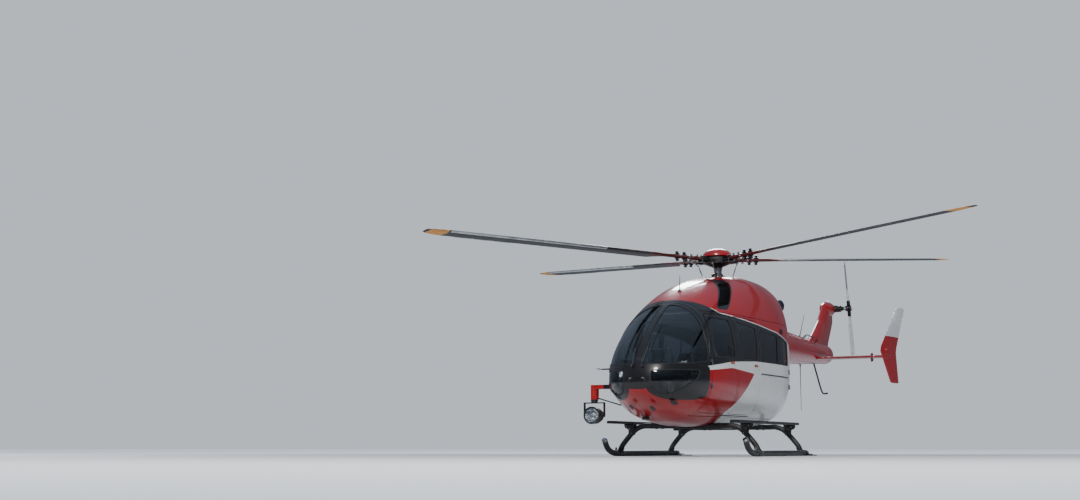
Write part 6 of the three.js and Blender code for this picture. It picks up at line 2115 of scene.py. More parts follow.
def node_tree(name, source, inputs, result, kinds):
    """A geometry node tree with its named inputs, their identifiers and its nodes."""
    tree = bpy.data.node_groups.new(name, "GeometryNodeTree")
    tree.interface.new_socket(source, in_out="INPUT", socket_type="NodeSocketGeometry")
    identifiers = {}
    for label, kind in inputs:
        socket = tree.interface.new_socket(label, in_out="INPUT", socket_type="NodeSocket" + kind)
        identifiers[label] = socket.identifier
    tree.interface.new_socket(result, in_out="OUTPUT", socket_type="NodeSocketGeometry")
    return tree, identifiers, [tree.nodes.new(kind) for kind in ("NodeGroupInput", "NodeGroupOutput", *kinds)]


def worked_by_nodes(carrier, work):
    modifier = carrier.modifiers.new("made_by_nodes", "NODES")
    modifier.node_group, values = work
    for identifier, value in values.items():
        modifier[identifier] = value


def from_nodes(name, mesh, tree, values, material, body):
    """The plain mesh that a node tree makes of some points or lines, as a finished piece."""
    result = remade(mesh, worked_by_nodes, (tree, values))
    bpy.data.meshes.remove(mesh)
    result.materials.clear()
    result.polygons.foreach_set("use_smooth", np.zeros(len(result.polygons), bool))
    return finished(name, result, [material], body)


def swept_strips(name, paths, width, height, material, body):
    """Strips of one section along many paths, made by a node tree with the section's sizes as its inputs."""
    tree, identifiers, nodes = node_tree(
        "swept_strips", "Paths", [("Width", "Float"), ("Height", "Float")], "Strips",
        ["GeometryNodeMeshToCurve", "GeometryNodeSetCurveNormal", "GeometryNodeCurvePrimitiveQuadrilateral",
         "GeometryNodeCurveToMesh", "GeometryNodeRealizeInstances", "GeometryNodeSetMaterial"],
    )
    source, result, lines, normal, section, swept, real, finish = nodes
    normal.mode = "Z_UP"
    swept.inputs["Fill Caps"].default_value = True
    finish.inputs["Material"].default_value = material
    for a, b in (
        (source.outputs[0], lines.inputs[0]),
        (lines.outputs[0], normal.inputs[0]),
        (normal.outputs[0], swept.inputs[0]),
        (source.outputs["Width"], section.inputs["Width"]),
        (source.outputs["Height"], section.inputs["Height"]),
        (section.outputs[0], swept.inputs["Profile Curve"]),
        (swept.outputs[0], real.inputs[0]),
        (real.outputs[0], finish.inputs[0]),
        (finish.outputs[0], result.inputs[0]),
    ):
        tree.links.new(a, b)
    verts, edges = [], []
    for path in paths:
        edges += [(len(verts) + k, len(verts) + k + 1) for k in range(len(path) - 1)]
        verts += [tuple(p) for p in path]
    sizes = {identifiers["Width"]: width, identifiers["Height"]: height}
    from_nodes(name, new_mesh(name, verts, [], edges), tree, sizes, material, body)


def intakes():
    for way, side in SIDES:
        mouth = on_side(INTAKE, way)
        screen = shifted(mouth, 0.012)
        plate(f"intake_screen_{side}", screen, WIRE_MESH, "airframe", 0.046, 0.003, 0.03, 0.001)
        paths = []
        for level in np.arange(2.33, 2.76, 0.035):
            # The mouth's long sides at this level, with the slats let 12 mm into the frame
            rear = np.interp(level, [2.35, 2.775], [1.33, 0.70]) - 0.02
            fore = np.interp(level, [2.285, 2.725], [1.70, 1.03]) + 0.02
            if level > 2.725:
                fore = np.interp(level, [2.725, 2.775], [1.03, 0.70]) + 0.03
            if level < 2.35:
                rear = np.interp(level, [2.285, 2.35], [1.70, 1.33]) - 0.03
            places = from_side([(rear, level), (fore, level)], closed=False)
            points = skin(places * (1, way), 0.030)[0]
            paths.append(points[::-1] if way < 0 else points)
        swept_strips(f"intake_slats_{side}", paths, 0.022, 0.004, BLACK_PAINT, "airframe")


exhausts()
intakes()
dressed("engine_deck", DECK_PAINT)
dressed("main_gearbox", CASTING)


# Nose and belly fittings
# Two black wipers, two landing lamps between the chin windows, two lamps under the
# belly, the air data probe, the roof whip, round plugs low on the nose and dark vents
# on the sides. All are bolted on through the skin.


def on_top(x, y, lift=0.0):
    """A point over the upper skin, lifted off it."""
    place = pierced([(x, y, 1.45)], UP)
    point, normal = skin(place)
    return Vector((point + normal * lift)[0]) - Vector((MAST_X, 0, 0))


def wipers():
    pivot, outward = (3.300, 0.080, 1.285), (0.098, 0, 0.019)
    for way, side in SIDES:
        made = Shape()
        arm = [Vector((3.390, 0.080, 1.304)), *(on_top(x, 0.085, 0.020) for x in (3.34, 3.20, 3.08, 2.99))]
        made.tube(arm, [0.008, 0.0065, 0.006, 0.0055, 0.005], 12, 6)
        made.tube([p + Vector((0.004, 0.016, 0.001)) for p in arm[:3]], 0.0025, 8, 6, 1)
        carrier = [on_top(x, 0.150, 0.0145) for x in (3.20, 3.06, 2.92, 2.78)]
        made.tube(carrier, [0.003, 0.0045, 0.0045, 0.003], 10, 6, 0)
        blade = [on_top(x, 0.150, 0.006) for x in (3.215, 3.10, 2.99, 2.88, 2.765)]
        made.tube(blade, 0.0035, 8, 6, 2, flat=2.0)
        made.tube([arm[-1], on_top(2.99, 0.150, 0.0145)], 0.0055, 12, smooth=False)
        made.turned([(0, 0.0165), (0.060, 0.016), (0.070, 0.013), (0.094, 0.013), (0.100, 0.008)],
                    pivot, outward, 28)
        made.turned([(0.100, 0.007), (0.105, 0.006)], pivot, outward, 6, 1)
        made.made(f"wiper_{side}", [BLACK_PAINT, STEEL, RUBBER], "airframe", edges=0, mirrored=way < 0)


def sealed_lamp(name, start, way, rim, depth):
    """A round lamp with its housing, mirror, inner bulb and fluted glass."""
    made = Shape()
    way = Vector(way).normalized()
    made.turned([(-depth, rim * 0.7), (-0.012, rim), (0.004, rim), (0.009, rim * 0.97), (0.009, rim * 0.86),
                 (0.001, rim * 0.84), (-0.4 * depth, rim * 0.5), (-0.6 * depth, 0.006)], start, way, 44)
    mirror = [(0.002, rim * 0.83), (-0.36 * depth, rim * 0.48), (-0.55 * depth, 0), (-0.57 * depth, 0),
              (-0.57 * depth, 0.006), (-0.38 * depth, rim * 0.5), (0.0012, rim * 0.845)]
    made.turned(mirror, start, way, 44, 1, capped=False)
    made.turned([(-0.5 * depth, rim * 0.15), (-0.2 * depth, rim * 0.13), (-0.1 * depth, 0.002)],
                start, way, 20, 3)
    made.turned([(0.002, rim * 0.855), (0.005, rim * 0.85), (0.0085, rim * 0.5), (0.0095, 0)], start, way,
                44, 2)
    return made.made(name, [BLACK_PAINT, MIRROR, LAMP_GLASS, LENS_CLEAR], "airframe", edges=0)


def round_outline(x, z, radius, count):
    angles = np.linspace(0, 2 * math.pi, count, endpoint=False)
    return [(x + radius * math.cos(a), z + radius * math.sin(a)) for a in angles]


def nose_fittings():
    for way, side in SIDES:
        sealed_lamp(f"landing_lamp_{side}", (3.402, 0.095 * way, 1.100), (1, 0, -0.10), 0.044, 0.05)
    sealed_lamp("belly_lamp_front", (2.620, -0.200, 0.552), (0.12, 0, -1), 0.058, 0.035)
    sealed_lamp("belly_lamp_middle", (1.300, -0.257, 0.408), (0, 0, -1), 0.042, 0.07)
    made = Shape()
    made.turned([(-0.020, 0.024), (-0.002, 0.022), (0.004, 0.0125), (0.150, 0.0105), (0.155, 0.006)],
                (2.900, -0.640, 1.300), (0, -1, 0), 28)
    made.turned([(0, 0), (0.003, 0.006), (0.014, 0.010), (0.090, 0.010), (0.110, 0.0078), (0.180, 0.0072),
                 (0.185, 0.0055), (0.183, 0.0036), (0.165, 0.0030), (0.160, 0)], (2.885, -0.790, 1.300),
                FORE, 28, 1)
    made.made("air_probe", [BLACK_PAINT, STEEL], "airframe", edges=0)
    made = Shape()
    foot = on_top(1.700, 0, -0.002)
    made.turned([(0, 0.034), (0.006, 0.033), (0.016, 0.016), (0.040, 0.0085), (0.130, 0.0065),
                 (2.800 - foot.z, 0.0042), (2.8015 - foot.z, 0)], foot, Vector((1.685, 0, 2.800)) - foot, 24)
    made.made("roof_whip", [BLACK_PAINT], "airframe", edges=0)
    # Round plugs low on the nose, where the covers of the tie-down points are
    for k, (y, z) in enumerate(((0.10, 0.70), (0.42, 0.78), (-0.24, 0.72))):
        plug = from_front(round_outline(y, z, 0.034, 24))
        plate(f"nose_plug_{k + 1}", plug, BLACK_PAINT, "airframe", -0.003, 0.008, 0.02, 0.0015)
    # Small dark vents: on each side behind the intakes, and low at the rear of each cockpit door's window
    vent = from_side(round_outline(1.74, 1.60, 0.058, 28))
    louvre = rectangle(-0.62, -0.78, 2.02, 2.10, 0.012)
    for way, side in SIDES:
        bore = on_side(shifted(vent, -0.010), way)
        plate(f"vent_ring_{side}", on_side(vent, way), BLACK_PAINT, BODY_OF[f"cockpit_{side}"],
              -0.004, 0.006, 0.02, 0.0015, [bore])
        plate(f"side_louvre_{side}", on_side(louvre, way), WIRE_MESH, "airframe", -0.0035, 0.006, 0.02, 0.001)


wipers()
nose_fittings()


# Cabin floor
# An alloy floor under a ribbed grey rubber mat.
# The seat tracks are let into it in long black rows.


def ribbed_mat():
    look = Weathered("ribbed_mat", (0.09, 0.093, 0.095), 0.8, dust=0.9, streaks=0.0)
    ribs = look.add("TexWave", {"Vector": look.place, "Scale": 30.0}, bands_direction="Y").outputs[1]
    shade = look.mixed(look.fine, (0.07, 0.073, 0.075), (0.12, 0.122, 0.125))
    look.set(base_color=look.mixed(look.grime, shade, (0.20, 0.18, 0.15)))
    look.bumped(ribs, 0.7, 0.002)
    return look.material


MAT = ribbed_mat()
dressed("cabin_floor", MAT)


# Seats
# Light bucket seats of grey composite on alloy stands. Their pads are foam in dark cloth, blown up
# against their covers, with sewn channels, and a harness of black webbing lies over each.

SEATS = {"crew_seat_left": (1.72, 0.37), "crew_seat_right": (1.72, -0.37), "cabin_seat": (0.52, -0.37)}
FLOOR = 0.6403


def seat_cloth():
    """Dark woven wool cloth with a little fluff and a worn sheen."""
    look = Weathered("seat_cloth", (0.03, 0.034, 0.045), 0.9, sheen_weight=0.25, dust=0.4, streaks=0.0)
    threads = [look.add("TexWave", {"Vector": look.place, "Scale": 240.0, "Distortion": 1.0},
                        bands_direction=way).outputs[1]
               for way in ("Y", "DIAGONAL")]
    weave = look.maths("MULTIPLY", *threads)
    fleck = look.ramp(look.noise(look.place, 900.0), 0.62, 0.70)
    shade = look.mixed(weave, (0.016, 0.019, 0.028), (0.048, 0.053, 0.070))
    shade = look.mixed(look.maths("MULTIPLY", fleck, 0.4), shade, (0.16, 0.16, 0.18))
    look.set(base_color=look.mixed(look.grime, shade, (0.09, 0.08, 0.07)))
    look.bumped(weave, 0.5, 0.0012)
    return look.material


def webbing():
    look = Weathered("black_webbing", (0.012, 0.012, 0.013), 0.7, sheen_weight=0.15, dust=0.5, streaks=0.0)
    rows = look.add("TexWave", {"Vector": look.place, "Scale": 160.0}, bands_direction="DIAGONAL").outputs[1]
    look.set(base_color=look.mixed(rows, (0.008, 0.008, 0.009), (0.030, 0.030, 0.032)))
    look.bumped(rows, 0.5, 0.001)
    return look.material


SEAT_CLOTH, WEBBING = seat_cloth(), webbing()
COMPOSITE = sprayed("seat_composite", (0.16, 0.165, 0.17), 0.55, wear=0.2)


def stuffed(name, rings, material, *nodes, slot=None, fill=0.7, cap=0.012, voxel=0.008, channels=None):
    """A foam pad: a closed form, blown up as cloth, with channels sewn in."""
    shape = Shape()
    shape.loft(rings)
    mesh = new_mesh(name, [tuple(v + Vector((MAST_X, 0, 0))) for v in shape.verts], shape.faces)
    work = bmesh.new()
    work.from_mesh(mesh)
    bmesh.ops.triangulate(work, faces=[f for f in work.faces if len(f.verts) > 4])
    bmesh.ops.recalc_face_normals(work, faces=work.faces)
    work.to_mesh(mesh)
    work.free()
    mesh = remade(mesh, evened, voxel)
    rest = np.array([v.co for v in mesh.vertices])
    mesh = remade(mesh, blown, 4.0)
    points = np.array([v.co for v in mesh.vertices])
    move = points - rest
    size = np.linalg.norm(move, axis=1, keepdims=True)
    points = rest + move * np.minimum(1, cap / np.maximum(size, 1e-9))
    if channels:
        points = channels(points)
    mesh.vertices.foreach_set("co", points.ravel())
    mesh.polygons.foreach_set("use_smooth", np.ones(len(mesh.polygons), bool))
    mesh.materials.clear()
    piece = finished(name, mesh, [material], "airframe", *nodes, slot=slot)
    return piece


def evened(carrier, voxel):
    carrier.modifiers.new("even", "REMESH").voxel_size = voxel


def blown(carrier, pressure):
    """Twenty frames of cloth under pressure, without weight."""
    cloth = carrier.modifiers.new("cloth", "CLOTH")
    settings = cloth.settings
    settings.use_pressure, settings.uniform_pressure_force = True, pressure
    settings.effector_weights.gravity = 0
    settings.quality, settings.mass = 4, 0.3
    settings.tension_stiffness = settings.compression_stiffness = 20
    cloth.point_cache.frame_start, cloth.point_cache.frame_end = 1, 20
    for frame_number in range(1, 21):
        bpy.context.scene.frame_set(frame_number)


def grooved(lines, axis, width, depth, limit):
    """Sinks grooves across a pad at lines along one axis, where it lies beyond a limit along the other."""
    other = 2 - axis

    def sink(points):
        out = points.copy()
        for line in lines:
            near = np.exp(-(((points[:, axis] - line) / width) ** 2))
            out[:, other] -= near * depth * (points[:, other] > limit)
        return out

    return sink


def pad_rings(line, thickness, half, y, corner=0.03):
    """Sections of a pad across a line in the side view, rounded at the sides and drawn in at the ends."""
    rings = []
    count = len(line)
    for k, (forward, up) in enumerate(line):
        ahead, behind = line[min(k + 1, count - 1)], line[max(k - 1, 0)]
        way = Vector((ahead[0] - behind[0], ahead[1] - behind[1])).normalized()
        normal = Vector((-way.y, way.x))
        near_end = min(k, count - 1 - k)
        thick = thickness * (0.62 if near_end == 0 else 1.0)
        width = half - (0.012 if near_end == 0 else 0.0)
        edge = [(width - corner, 0), (width, 0.25), (width, 0.75), (width - corner, 1),
                (-width + corner, 1), (-width, 0.75), (-width, 0.25), (-width + corner, 0)]
        rings.append([(forward + normal.x * thick * t, y + s, up + normal.y * thick * t) for s, t in edge])
    return rings


def ribbon(shape, path, width, finish=0, thickness=0.0022, across=(0, 1, 0)):
    """A flat strap along a path."""
    across = Vector(across)
    rings = []
    for k, here in enumerate(path):
        way = (path[min(k + 1, len(path) - 1)] - path[max(k - 1, 0)]).normalized()
        side = (across - way * across.dot(way)).normalized()
        up = way.cross(side) * thickness / 2
        side = side * width / 2
        rings.append([here - side - up, here + side - up, here + side + up, here - side + up])
    shape.loft(rings, finish)


def seat_bucket(name, x, y):
    """A curved sheet with turned-up sides, on a stand of two side frames, rails and cross bars."""
    shell, stand = Shape(Matrix.Translation((x, y, FLOOR))), 0.118
    spine = [(0.470, 0.232), (0.38, 0.226), (0.20, 0.222), (0.06, 0.222), (-0.01, 0.245), (-0.05, 0.34),
             (-0.062, 0.62), (-0.052, 0.90), (-0.045, 1.045)]
    rings = []
    for k, (forward, up) in enumerate(spine):
        ahead, behind = spine[min(k + 1, len(spine) - 1)], spine[max(k - 1, 0)]
        way = Vector((ahead[0] - behind[0], ahead[1] - behind[1])).normalized()
        inward = Vector((way.y, -way.x))
        half = 0.213 - (0.05 if k == len(spine) - 1 else 0.0) - (0.02 if k == 0 else 0.0)
        wing = 0.085 if 1 < k < 8 else 0.035
        outer = [(-half, wing), (-half, 0.02), (-half + 0.02, 0.0), (half - 0.02, 0.0), (half, 0.02),
                 (half, wing)]
        inner = [(half - 0.006, wing), (half - 0.007, 0.024), (half - 0.024, 0.007),
                 (-half + 0.024, 0.007), (-half + 0.007, 0.024), (-half + 0.006, wing)]
        rings.append([(forward + inward.x * -depth, s, up - inward.y * depth) for s, depth in outer + inner])
    shell.loft(rings, 0)
    for foot in (-stand, stand):
        shell.slab([(0.02, 0.0), (0.05, 0.0), (0.10, 0.19), (0.33, 0.19), (0.37, 0.0), (0.40, 0.0),
                    (0.362, 0.222), (0.058, 0.222)], foot - 0.006, foot + 0.006, "y", 1)
        shell.box(0.0, 0.42, foot - 0.016, foot + 0.016, 0.0, 0.010, 1)
        for f in (0.04, 0.38):
            shell.turned([(0, 0.009), (0.006, 0.008)], (f, foot, 0.010), UP, 6, 2)
    for f in (0.085, 0.345):
        shell.tube([(f, -stand, 0.205), (f, stand, 0.205)], 0.011, 16, smooth=False, finish=1)
    shell.made(f"{name}_bucket", [COMPOSITE, ALLOY, STEEL], "airframe", edges=0.0008)


def seat_pads(name, x, y):
    base = [(x + f, u + FLOOR) for f, u in ((0.085, 0.236), (0.16, 0.236), (0.26, 0.238), (0.36, 0.240),
                                            (0.435, 0.238))]
    seams = grooved(MAST_X + x + 0.15 + 0.07 * np.arange(4), 0, 0.005, 0.0045, FLOOR + 0.27)
    stuffed(f"{name}_pad", pad_rings(base, 0.068, 0.180, y), SEAT_CLOTH, name, slot="seat_fabric", fill=0.75,
            channels=seams)
    back = [(x + f, u + FLOOR) for f, u in ((-0.008, 0.83), (-0.006, 0.74), (0.004, 0.60), (0.020, 0.46),
                                            (0.040, 0.345))]
    seams = grooved(FLOOR + 0.42 + 0.085 * np.arange(5), 2, 0.005, 0.0045, MAST_X + x + 0.03)
    stuffed(f"{name}_back_pad", pad_rings(back, 0.062, 0.172, y), SEAT_CLOTH, fill=0.7, channels=seams)
    top = [(x + f, u + FLOOR) for f, u in ((-0.010, 1.015), (-0.014, 0.975), (-0.014, 0.92), (-0.010, 0.885))]
    stuffed(f"{name}_headrest", pad_rings(top, 0.058, 0.115, y), SEAT_CLOTH, fill=0.8)


def harness(name, x, y):
    straps = Shape(Matrix.Translation((x, y, FLOOR)))
    for side in (-1, 1):
        over = [(-0.050, side * 0.075, 0.90), (0.000, side * 0.075, 0.872), (0.058, side * 0.078, 0.80),
                (0.075, side * 0.080, 0.62), (0.098, side * 0.085, 0.46), (0.125, side * 0.070, 0.37),
                (0.190, side * 0.035, 0.332)]
        ribbon(straps, curve_through(over), 0.046)
        lap = [(0.045, side * 0.196, 0.26), (0.062, side * 0.188, 0.31), (0.105, side * 0.150, 0.335),
               (0.160, side * 0.085, 0.336), (0.196, side * 0.030, 0.334)]
        ribbon(straps, curve_through(lap), 0.046, across=FORE)
        straps.box(0.066, 0.081, side * 0.080 - 0.030, side * 0.080 + 0.030, 0.60, 0.635, 1)
    straps.turned([(0, 0.030), (0.010, 0.033), (0.018, 0.030), (0.021, 0.014), (0.024, 0.012)],
                  (0.203, 0, 0.330), (0.1, 0, 1), 32, 1)
    straps.made(f"{name}_harness", [WEBBING, STEEL], "airframe", edges=0.0004)


for name, (x, y) in SEATS.items():
    seat_bucket(name, x, y)
    seat_pads(name, x, y)
    harness(name, x, y)


# Stretcher
# A folding alloy litter on two trestles.
# Its thin foam mattress is covered in wipe-clean cloth, under three straps.


def stretcher():
    made = Shape()
    x0, x1, y0, y1, z = -0.888, 0.938, 0.132, 0.588, 0.864
    corners = rounded_rectangle(x0, x1, y0, y1, 0.09)
    made.tube([(a, b, z) for a, b in corners], 0.0125, 14, smooth=False, around=True)
    for x in (-0.66, -0.30, 0.02, 0.34, 0.68):
        made.tube([(x, y0, z), (x, y1, z)], 0.009, 12, smooth=False)
    for x in (-0.66, 0.68):
        for y in (0.215, 0.505):
            made.tube([(x - 0.030, y, FLOOR + 0.008), (x, y, z)], 0.011, 14, smooth=False)
            made.turned([(0, 0.022), (0.008, 0.022), (0.014, 0.012)], (x - 0.030, y, FLOOR), UP, 20, 1)
        made.tube([(x - 0.015, 0.215, 0.752), (x - 0.015, 0.505, 0.752)], 0.009, 12, smooth=False)
    for x in (-0.50, 0.10, 0.62):
        path = curve_through([(x, 0.128, 0.862), (x, 0.140, 0.905), (x, 0.175, 0.9268), (x, 0.26, 0.9285),
                              (x, 0.36, 0.929), (x, 0.46, 0.9285), (x, 0.545, 0.9268), (x, 0.580, 0.905),
                              (x, 0.592, 0.862)])
        ribbon(made, path, 0.048, 2, 0.002, FORE)
        made.box(x - 0.030, x + 0.030, 0.335, 0.385, 0.9275, 0.9302, 1)
    made.made("stretcher_frame", [ALLOY, STEEL, WEBBING], "airframe", edges=0.0005)
    line = [(float(a), 0.872) for a in np.linspace(-0.865, 0.915, 15)]
    folds = grooved(MAST_X + np.array([-0.28, 0.32]), 0, 0.008, 0.012, 0.885)
    cover = grained("mattress_cloth", (0.30, 0.11, 0.02), 0.55, (0.26, 0.09, 0.018), (0.36, 0.14, 0.03),
                    500.0, 0.0008, streaks=0.0, sheen_weight=0.05)
    stuffed("stretcher_mattress", pad_rings(line, 0.040, 0.200, 0.36, 0.02), cover, "stretcher",
            slot="seat_fabric", fill=0.6, cap=0.009, voxel=0.011, channels=folds)


stretcher()


# Instrument panel, console and sticks
# A black hood over flat glass displays and round dials, a pedestal of keys between the
# crew, and for each of them a stick, a lever and a pair of pedals.


def display_glass():
    """A dark display with faint rows of generic marks under the glass."""
    look = Weathered("display_glass", (0.004, 0.006, 0.010), 0.08, coat_weight=0.5, dust=0.3, streaks=0.1)
    brick = look.add("TexBrick", {"Vector": look.place, "Scale": 26.0, "Mortar Size": 0.02})
    look.set(base_color=look.mixed(brick.outputs["Fac"], (0.004, 0.006, 0.010), (0.02, 0.05, 0.06)))
    look.set(roughness=look.maths("MULTIPLY_ADD", look.grime, 0.4, 0.06))
    return look.material


def crackle_black():
    look = Weathered("crackle_black", (0.014, 0.014, 0.015), 0.75, dust=0.7, streaks=0.0)
    crackle = look.add("TexVoronoi", {"Vector": look.place, "Scale": 260.0},
                       feature="DISTANCE_TO_EDGE").outputs[0]
    shade = look.mixed(look.fine, (0.010, 0.010, 0.011), (0.022, 0.022, 0.023))
    look.set(base_color=look.mixed(look.grime, shade, (0.08, 0.075, 0.065)))
    look.bumped(crackle, 0.5, 0.0015)
    return look.material


DISPLAY, CRACKLE = display_glass(), crackle_black()
DIAL_MARKS = sprayed("dial_marks", (0.75, 0.75, 0.70), 0.5, wear=0.0, dust=0.1)


def dial(shape, x, y, z, radius):
    """A round dial facing aft, with its bezel, ticks and needle."""
    shape.turned([(0, radius), (0.008, radius), (0.010, radius * 0.92), (0.004, radius * 0.86)],
                 (x, y, z), (-1, 0, 0), 28, 1)
    for k in range(10):
        a = math.radians(-140 + 280 * k / 9)
        out = Vector((0, math.sin(a), math.cos(a)))
        start = Vector((x - 0.0045, y, z)) + out * radius * 0.66
        shape.tube([start, start + out * radius * 0.14], 0.0012, 4, smooth=False, finish=3)
    shape.tube([(x - 0.006, y, z), (x - 0.006, y + radius * 0.35, z + radius * 0.45)], 0.0016, 4,
               smooth=False, finish=3)


def instruments():
    made = Shape()
    profile = softened_plane([(2.562, 1.125), (2.622, 1.103), (2.856, 1.182), (2.896, 1.296),
                              (2.640, 1.366), (2.562, 1.348)], 0.02)
    made.slab(profile, -0.466, 0.466, "y", 0)
    hood = softened_plane([(2.548, 1.352), (2.560, 1.344), (2.640, 1.362), (2.880, 1.300), (2.886, 1.306),
                           (2.642, 1.372)], 0.004)
    made.slab(hood, -0.470, 0.470, "y", 0)
    for y in (-0.34, -0.12, 0.12, 0.34):
        made.loft([softened_box(2.562, y, 1.248, 0.082, 0.078, 0.008, r) for r in (0.0, 1.0)], 1)
        made.loft([softened_box(2.554, y, 1.248, 0.066, 0.060, 0.002, r) for r in (0.0, 1.0)], 2)
        for k in range(5):
            made.box(2.5535, 2.558, y - 0.058 + 0.0255 * k, y - 0.044 + 0.0255 * k, 1.173, 1.180, 3)
    for y, z, radius in ((-0.23, 1.30, 0.022), (-0.23, 1.24, 0.022), (0.0, 1.30, 0.026),
                         (0.0, 1.235, 0.026), (0.23, 1.30, 0.022), (0.23, 1.24, 0.022)):
        dial(made, 2.563, y, z, radius)
    made.made("instrument_hood", [CRACKLE, BLACK_PAINT, DISPLAY, DIAL_MARKS], "airframe",
              "instrument_panel", slot="panel_black", edges=0.0008)


def console():
    made = Shape()
    made.slab(softened_plane([(2.472, FLOOR), (2.778, FLOOR + 0.078), (2.796, 1.196), (2.603, 1.180),
                              (2.562, 0.960)], 0.012), -0.146, 0.146, "y", 0)
    made.slab(softened_plane([(2.303, FLOOR), (2.520, FLOOR), (2.580, 0.972), (2.442, 0.956),
                              (2.303, 0.838)], 0.01), -0.117, 0.117, "y", 0)
    ways = [Vector((2.442 - 2.303, 0, 0.956 - 0.838)), Vector((2.566 - 2.445, 0, 0.971 - 0.957))]
    for start, way, rows in ((Vector((2.312, 0, 0.847)), ways[0], 6),
                             (Vector((2.450, 0, 0.9585)), ways[1], 4)):
        out = Vector((-way.z, 0, way.x)).normalized()
        frame_of = Matrix((way.normalized(), Vector((0, 1, 0)), out)).transposed().to_4x4()
        for row in range(rows):
            at = Matrix.Translation(start + way * (row + 0.4) / rows) @ frame_of
            made.box(-0.011, 0.011, -0.100, 0.100, -0.001, 0.0022, 1, at)
            for key in range(7):
                y = -0.084 + 0.028 * key
                if (row + key) % 4 == 1:
                    made.turned([(0.002, 0.0075), (0.013, 0.0062), (0.015, 0.005)],
                                at @ Vector((0, y, 0)), out, 14, 2)
                else:
                    made.box(-0.006, 0.006, y - 0.009, y + 0.009, 0.002, 0.0055, 3 if key % 3 == 0 else 2, at)
    made.made("centre_console", [CRACKLE, BLACK_PAINT, COMPOSITE, DIAL_MARKS], "airframe", edges=0.0006)


def sticks_and_pedals():
    made = Shape()
    for y in (-0.37, 0.37):
        foot = (2.30, y, FLOOR + 0.002)
        made.turned([(0, 0.055), (0.006, 0.055), (0.050, 0.026), (0.054, 0)], foot, UP, 28, 1)
        made.tube([(2.30, y, FLOOR + 0.04), (2.345, y, FLOOR + 0.20), (2.30, y, FLOOR + 0.36),
                   (2.265, y, FLOOR + 0.44)], 0.0125, 16, 6, 0)
        made.tube([(2.268, y, FLOOR + 0.43), (2.252, y, FLOOR + 0.50), (2.248, y, FLOOR + 0.565)],
                  [0.019, 0.021, 0.018], 16, 5, 1)
        for side in (-1, 1):
            across = y * 0.92 + side * 0.075
            made.tube([(2.475, across, FLOOR + 0.004), (2.535, across, FLOOR + 0.13)], 0.009, 12,
                      smooth=False)
            made.slab([(2.515, FLOOR + 0.095), (2.523, FLOOR + 0.090), (2.567, FLOOR + 0.185),
                       (2.559, FLOOR + 0.190)],
                      across - 0.040, across + 0.040, "y", 1)
        lever_y = y + math.copysign(0.255, y)
        made.tube([(1.98, lever_y, FLOOR + 0.05), (2.12, lever_y, FLOOR + 0.17),
                   (2.20, lever_y, FLOOR + 0.235)],
                  [0.011, 0.012, 0.020], 14, 5, 0)
    made.made("sticks_and_pedals", [ALLOY, RUBBER], "airframe", edges=0.0006)


def softened_box(x, y, z, half_y, half_z, deep, share):
    """One end of a rounded plate that faces aft: its foot on the panel or its face."""
    shrink = 0.002 * share
    outline = rounded_rectangle(y - half_y + shrink, y + half_y - shrink, z - half_z + shrink,
                                z + half_z - shrink, 0.006)
    return [(x - deep * share, a, b) for a, b in outline]


instruments()
console()
sticks_and_pedals()


# Rivets and quarter-turn screws
# Round heads in rows along the skins' edges and seams, set a finger's width in from
# each joint and painted over.

TOP_SHARE = 0.72  # a head's top, as a share of its foot
SCREW, RIVET, HEAD_HEIGHT = 0.0052, 0.0042, 0.0016


def stud_tree():
    """Small heads set on points along their normals. The sizes and the seed of their turn are inputs."""
    tree, identifiers, nodes = node_tree(
        "heads_on_points", "Points",
        [("Radius", "Float"), ("Height", "Float"), ("Sides", "Int"), ("Seed", "Int"),
         ("Finish", "Material")], "Heads",
        ["GeometryNodeMeshCone", "GeometryNodeInstanceOnPoints", "FunctionNodeAlignRotationToVector",
         "GeometryNodeInputNamedAttribute", "GeometryNodeRealizeInstances", "GeometryNodeSetMaterial",
         "FunctionNodeRotateRotation", "FunctionNodeRandomValue", "FunctionNodeAxisAngleToRotation",
         "ShaderNodeMath"],
    )
    source, result, cone, place, turn, named, real, finish, spin, chance, spread, narrow = nodes
    named.data_type = "FLOAT_VECTOR"
    named.inputs["Name"].default_value = "out"
    turn.axis = "Z"
    chance.inputs["Min"].default_value, chance.inputs["Max"].default_value = 0.0, math.tau
    narrow.operation = "MULTIPLY"
    narrow.inputs[1].default_value = TOP_SHARE
    spin.rotation_space = "LOCAL"
    for a, b in (
        (source.outputs["Sides"], cone.inputs["Vertices"]),
        (source.outputs["Radius"], cone.inputs["Radius Bottom"]),
        (source.outputs["Radius"], narrow.inputs[0]),
        (narrow.outputs[0], cone.inputs["Radius Top"]),
        (source.outputs["Height"], cone.inputs["Depth"]),
        (source.outputs[0], place.inputs["Points"]),
        (cone.outputs["Mesh"], place.inputs["Instance"]),
        (named.outputs["Attribute"], turn.inputs["Vector"]),
        (source.outputs["Seed"], chance.inputs["Seed"]),
        (chance.outputs[1], spread.inputs["Angle"]),
        (turn.outputs[0], spin.inputs["Rotation"]),
        (spread.outputs[0], spin.inputs["Rotate By"]),
        (spin.outputs[0], place.inputs["Rotation"]),
        (place.outputs[0], real.inputs[0]),
        (real.outputs[0], finish.inputs[0]),
        (source.outputs["Finish"], finish.inputs["Material"]),
        (finish.outputs[0], result.inputs[0]),
    ):
        tree.links.new(a, b)
    return tree, identifiers


STUDS, STUD_INPUTS = stud_tree()


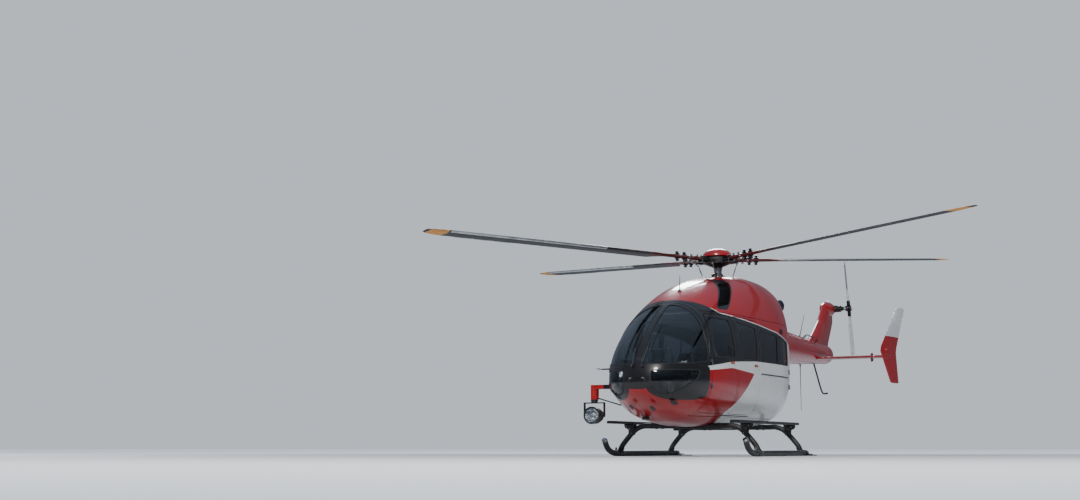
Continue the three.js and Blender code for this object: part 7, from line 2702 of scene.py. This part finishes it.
def studs(name, points, ways, radius, height, material, body, sides=12):
    """Heads at points of the frame, with the ways they face."""
    mesh = new_mesh(name, [tuple(p) for p in points], [])
    out = mesh.attributes.new("out", "FLOAT_VECTOR", "POINT")
    out.data.foreach_set("vector", np.array(ways, np.float32).ravel())
    values = {"Radius": radius, "Height": height, "Sides": sides, "Seed": 7, "Finish": material}
    values = {STUD_INPUTS[key]: value for key, value in values.items()}
    from_nodes(name, mesh, STUDS, values, material, body)


def spaced(places, step, closed=False):
    """Places along a line over the skin at even steps."""
    points = skin(places)[0]
    if closed:
        points, places = np.vstack([points, points[:1]]), np.vstack([places, places[:1]])
    along = np.concatenate([[0], np.cumsum(np.linalg.norm(np.diff(points, axis=0), axis=1))])
    at = np.arange(step / 2, along[-1], step)
    return np.stack([np.interp(at, along, places[:, k]) for k in range(2)], -1)


def rivets():
    rows = {"cowling": [], "belly": [], "nose": []}
    for way, _ in SIDES:
        rows["cowling"].append(on_side(from_side([(-1.85, 2.212), (2.05, 2.212)], closed=False), way))
        rows["cowling"].append(on_side(shifted(INTAKE, 0.016), way))
        rows["belly"].append(on_side(from_side([(-0.95, 0.56), (2.35, 0.60)], closed=False), way))
        rows["nose"].append(on_side(from_front([(0.09, 0.60), (0.09, 0.93)], closed=False), way))
    rows["cowling"] += [ring(-1.60, -0.30, 0.30), ring(-0.42, -0.26, 0.26), ring(2.10, -0.20, 0.20)]
    rows["nose"].append(from_front([(-0.45, 0.66), (0.45, 0.66)], closed=False))
    for key, lines in rows.items():
        places = np.vstack([spaced(line, 0.055 if key != "cowling" else 0.075) for line in lines])
        points, normals = skin(places, -0.0004)
        studs(f"{key}_screws", points, normals, SCREW, HEAD_HEIGHT, PAINT, "airframe")
    # Rivets round the boom's joints
    points, ways = [], []
    for x in (-2.02, -2.06, -3.02, -3.06, -4.10, -4.14):
        loop = np.array(boom_ring(x))
        centre = loop.mean(0)
        for k in range(0, len(loop), 2):
            out = loop[k] - centre
            points.append(loop[k] + (MAST_X, 0, 0))
            ways.append(out / np.linalg.norm(out))
    studs("boom_rivets", points, ways, RIVET, HEAD_HEIGHT, PAINT, "airframe", 10)


rivets()
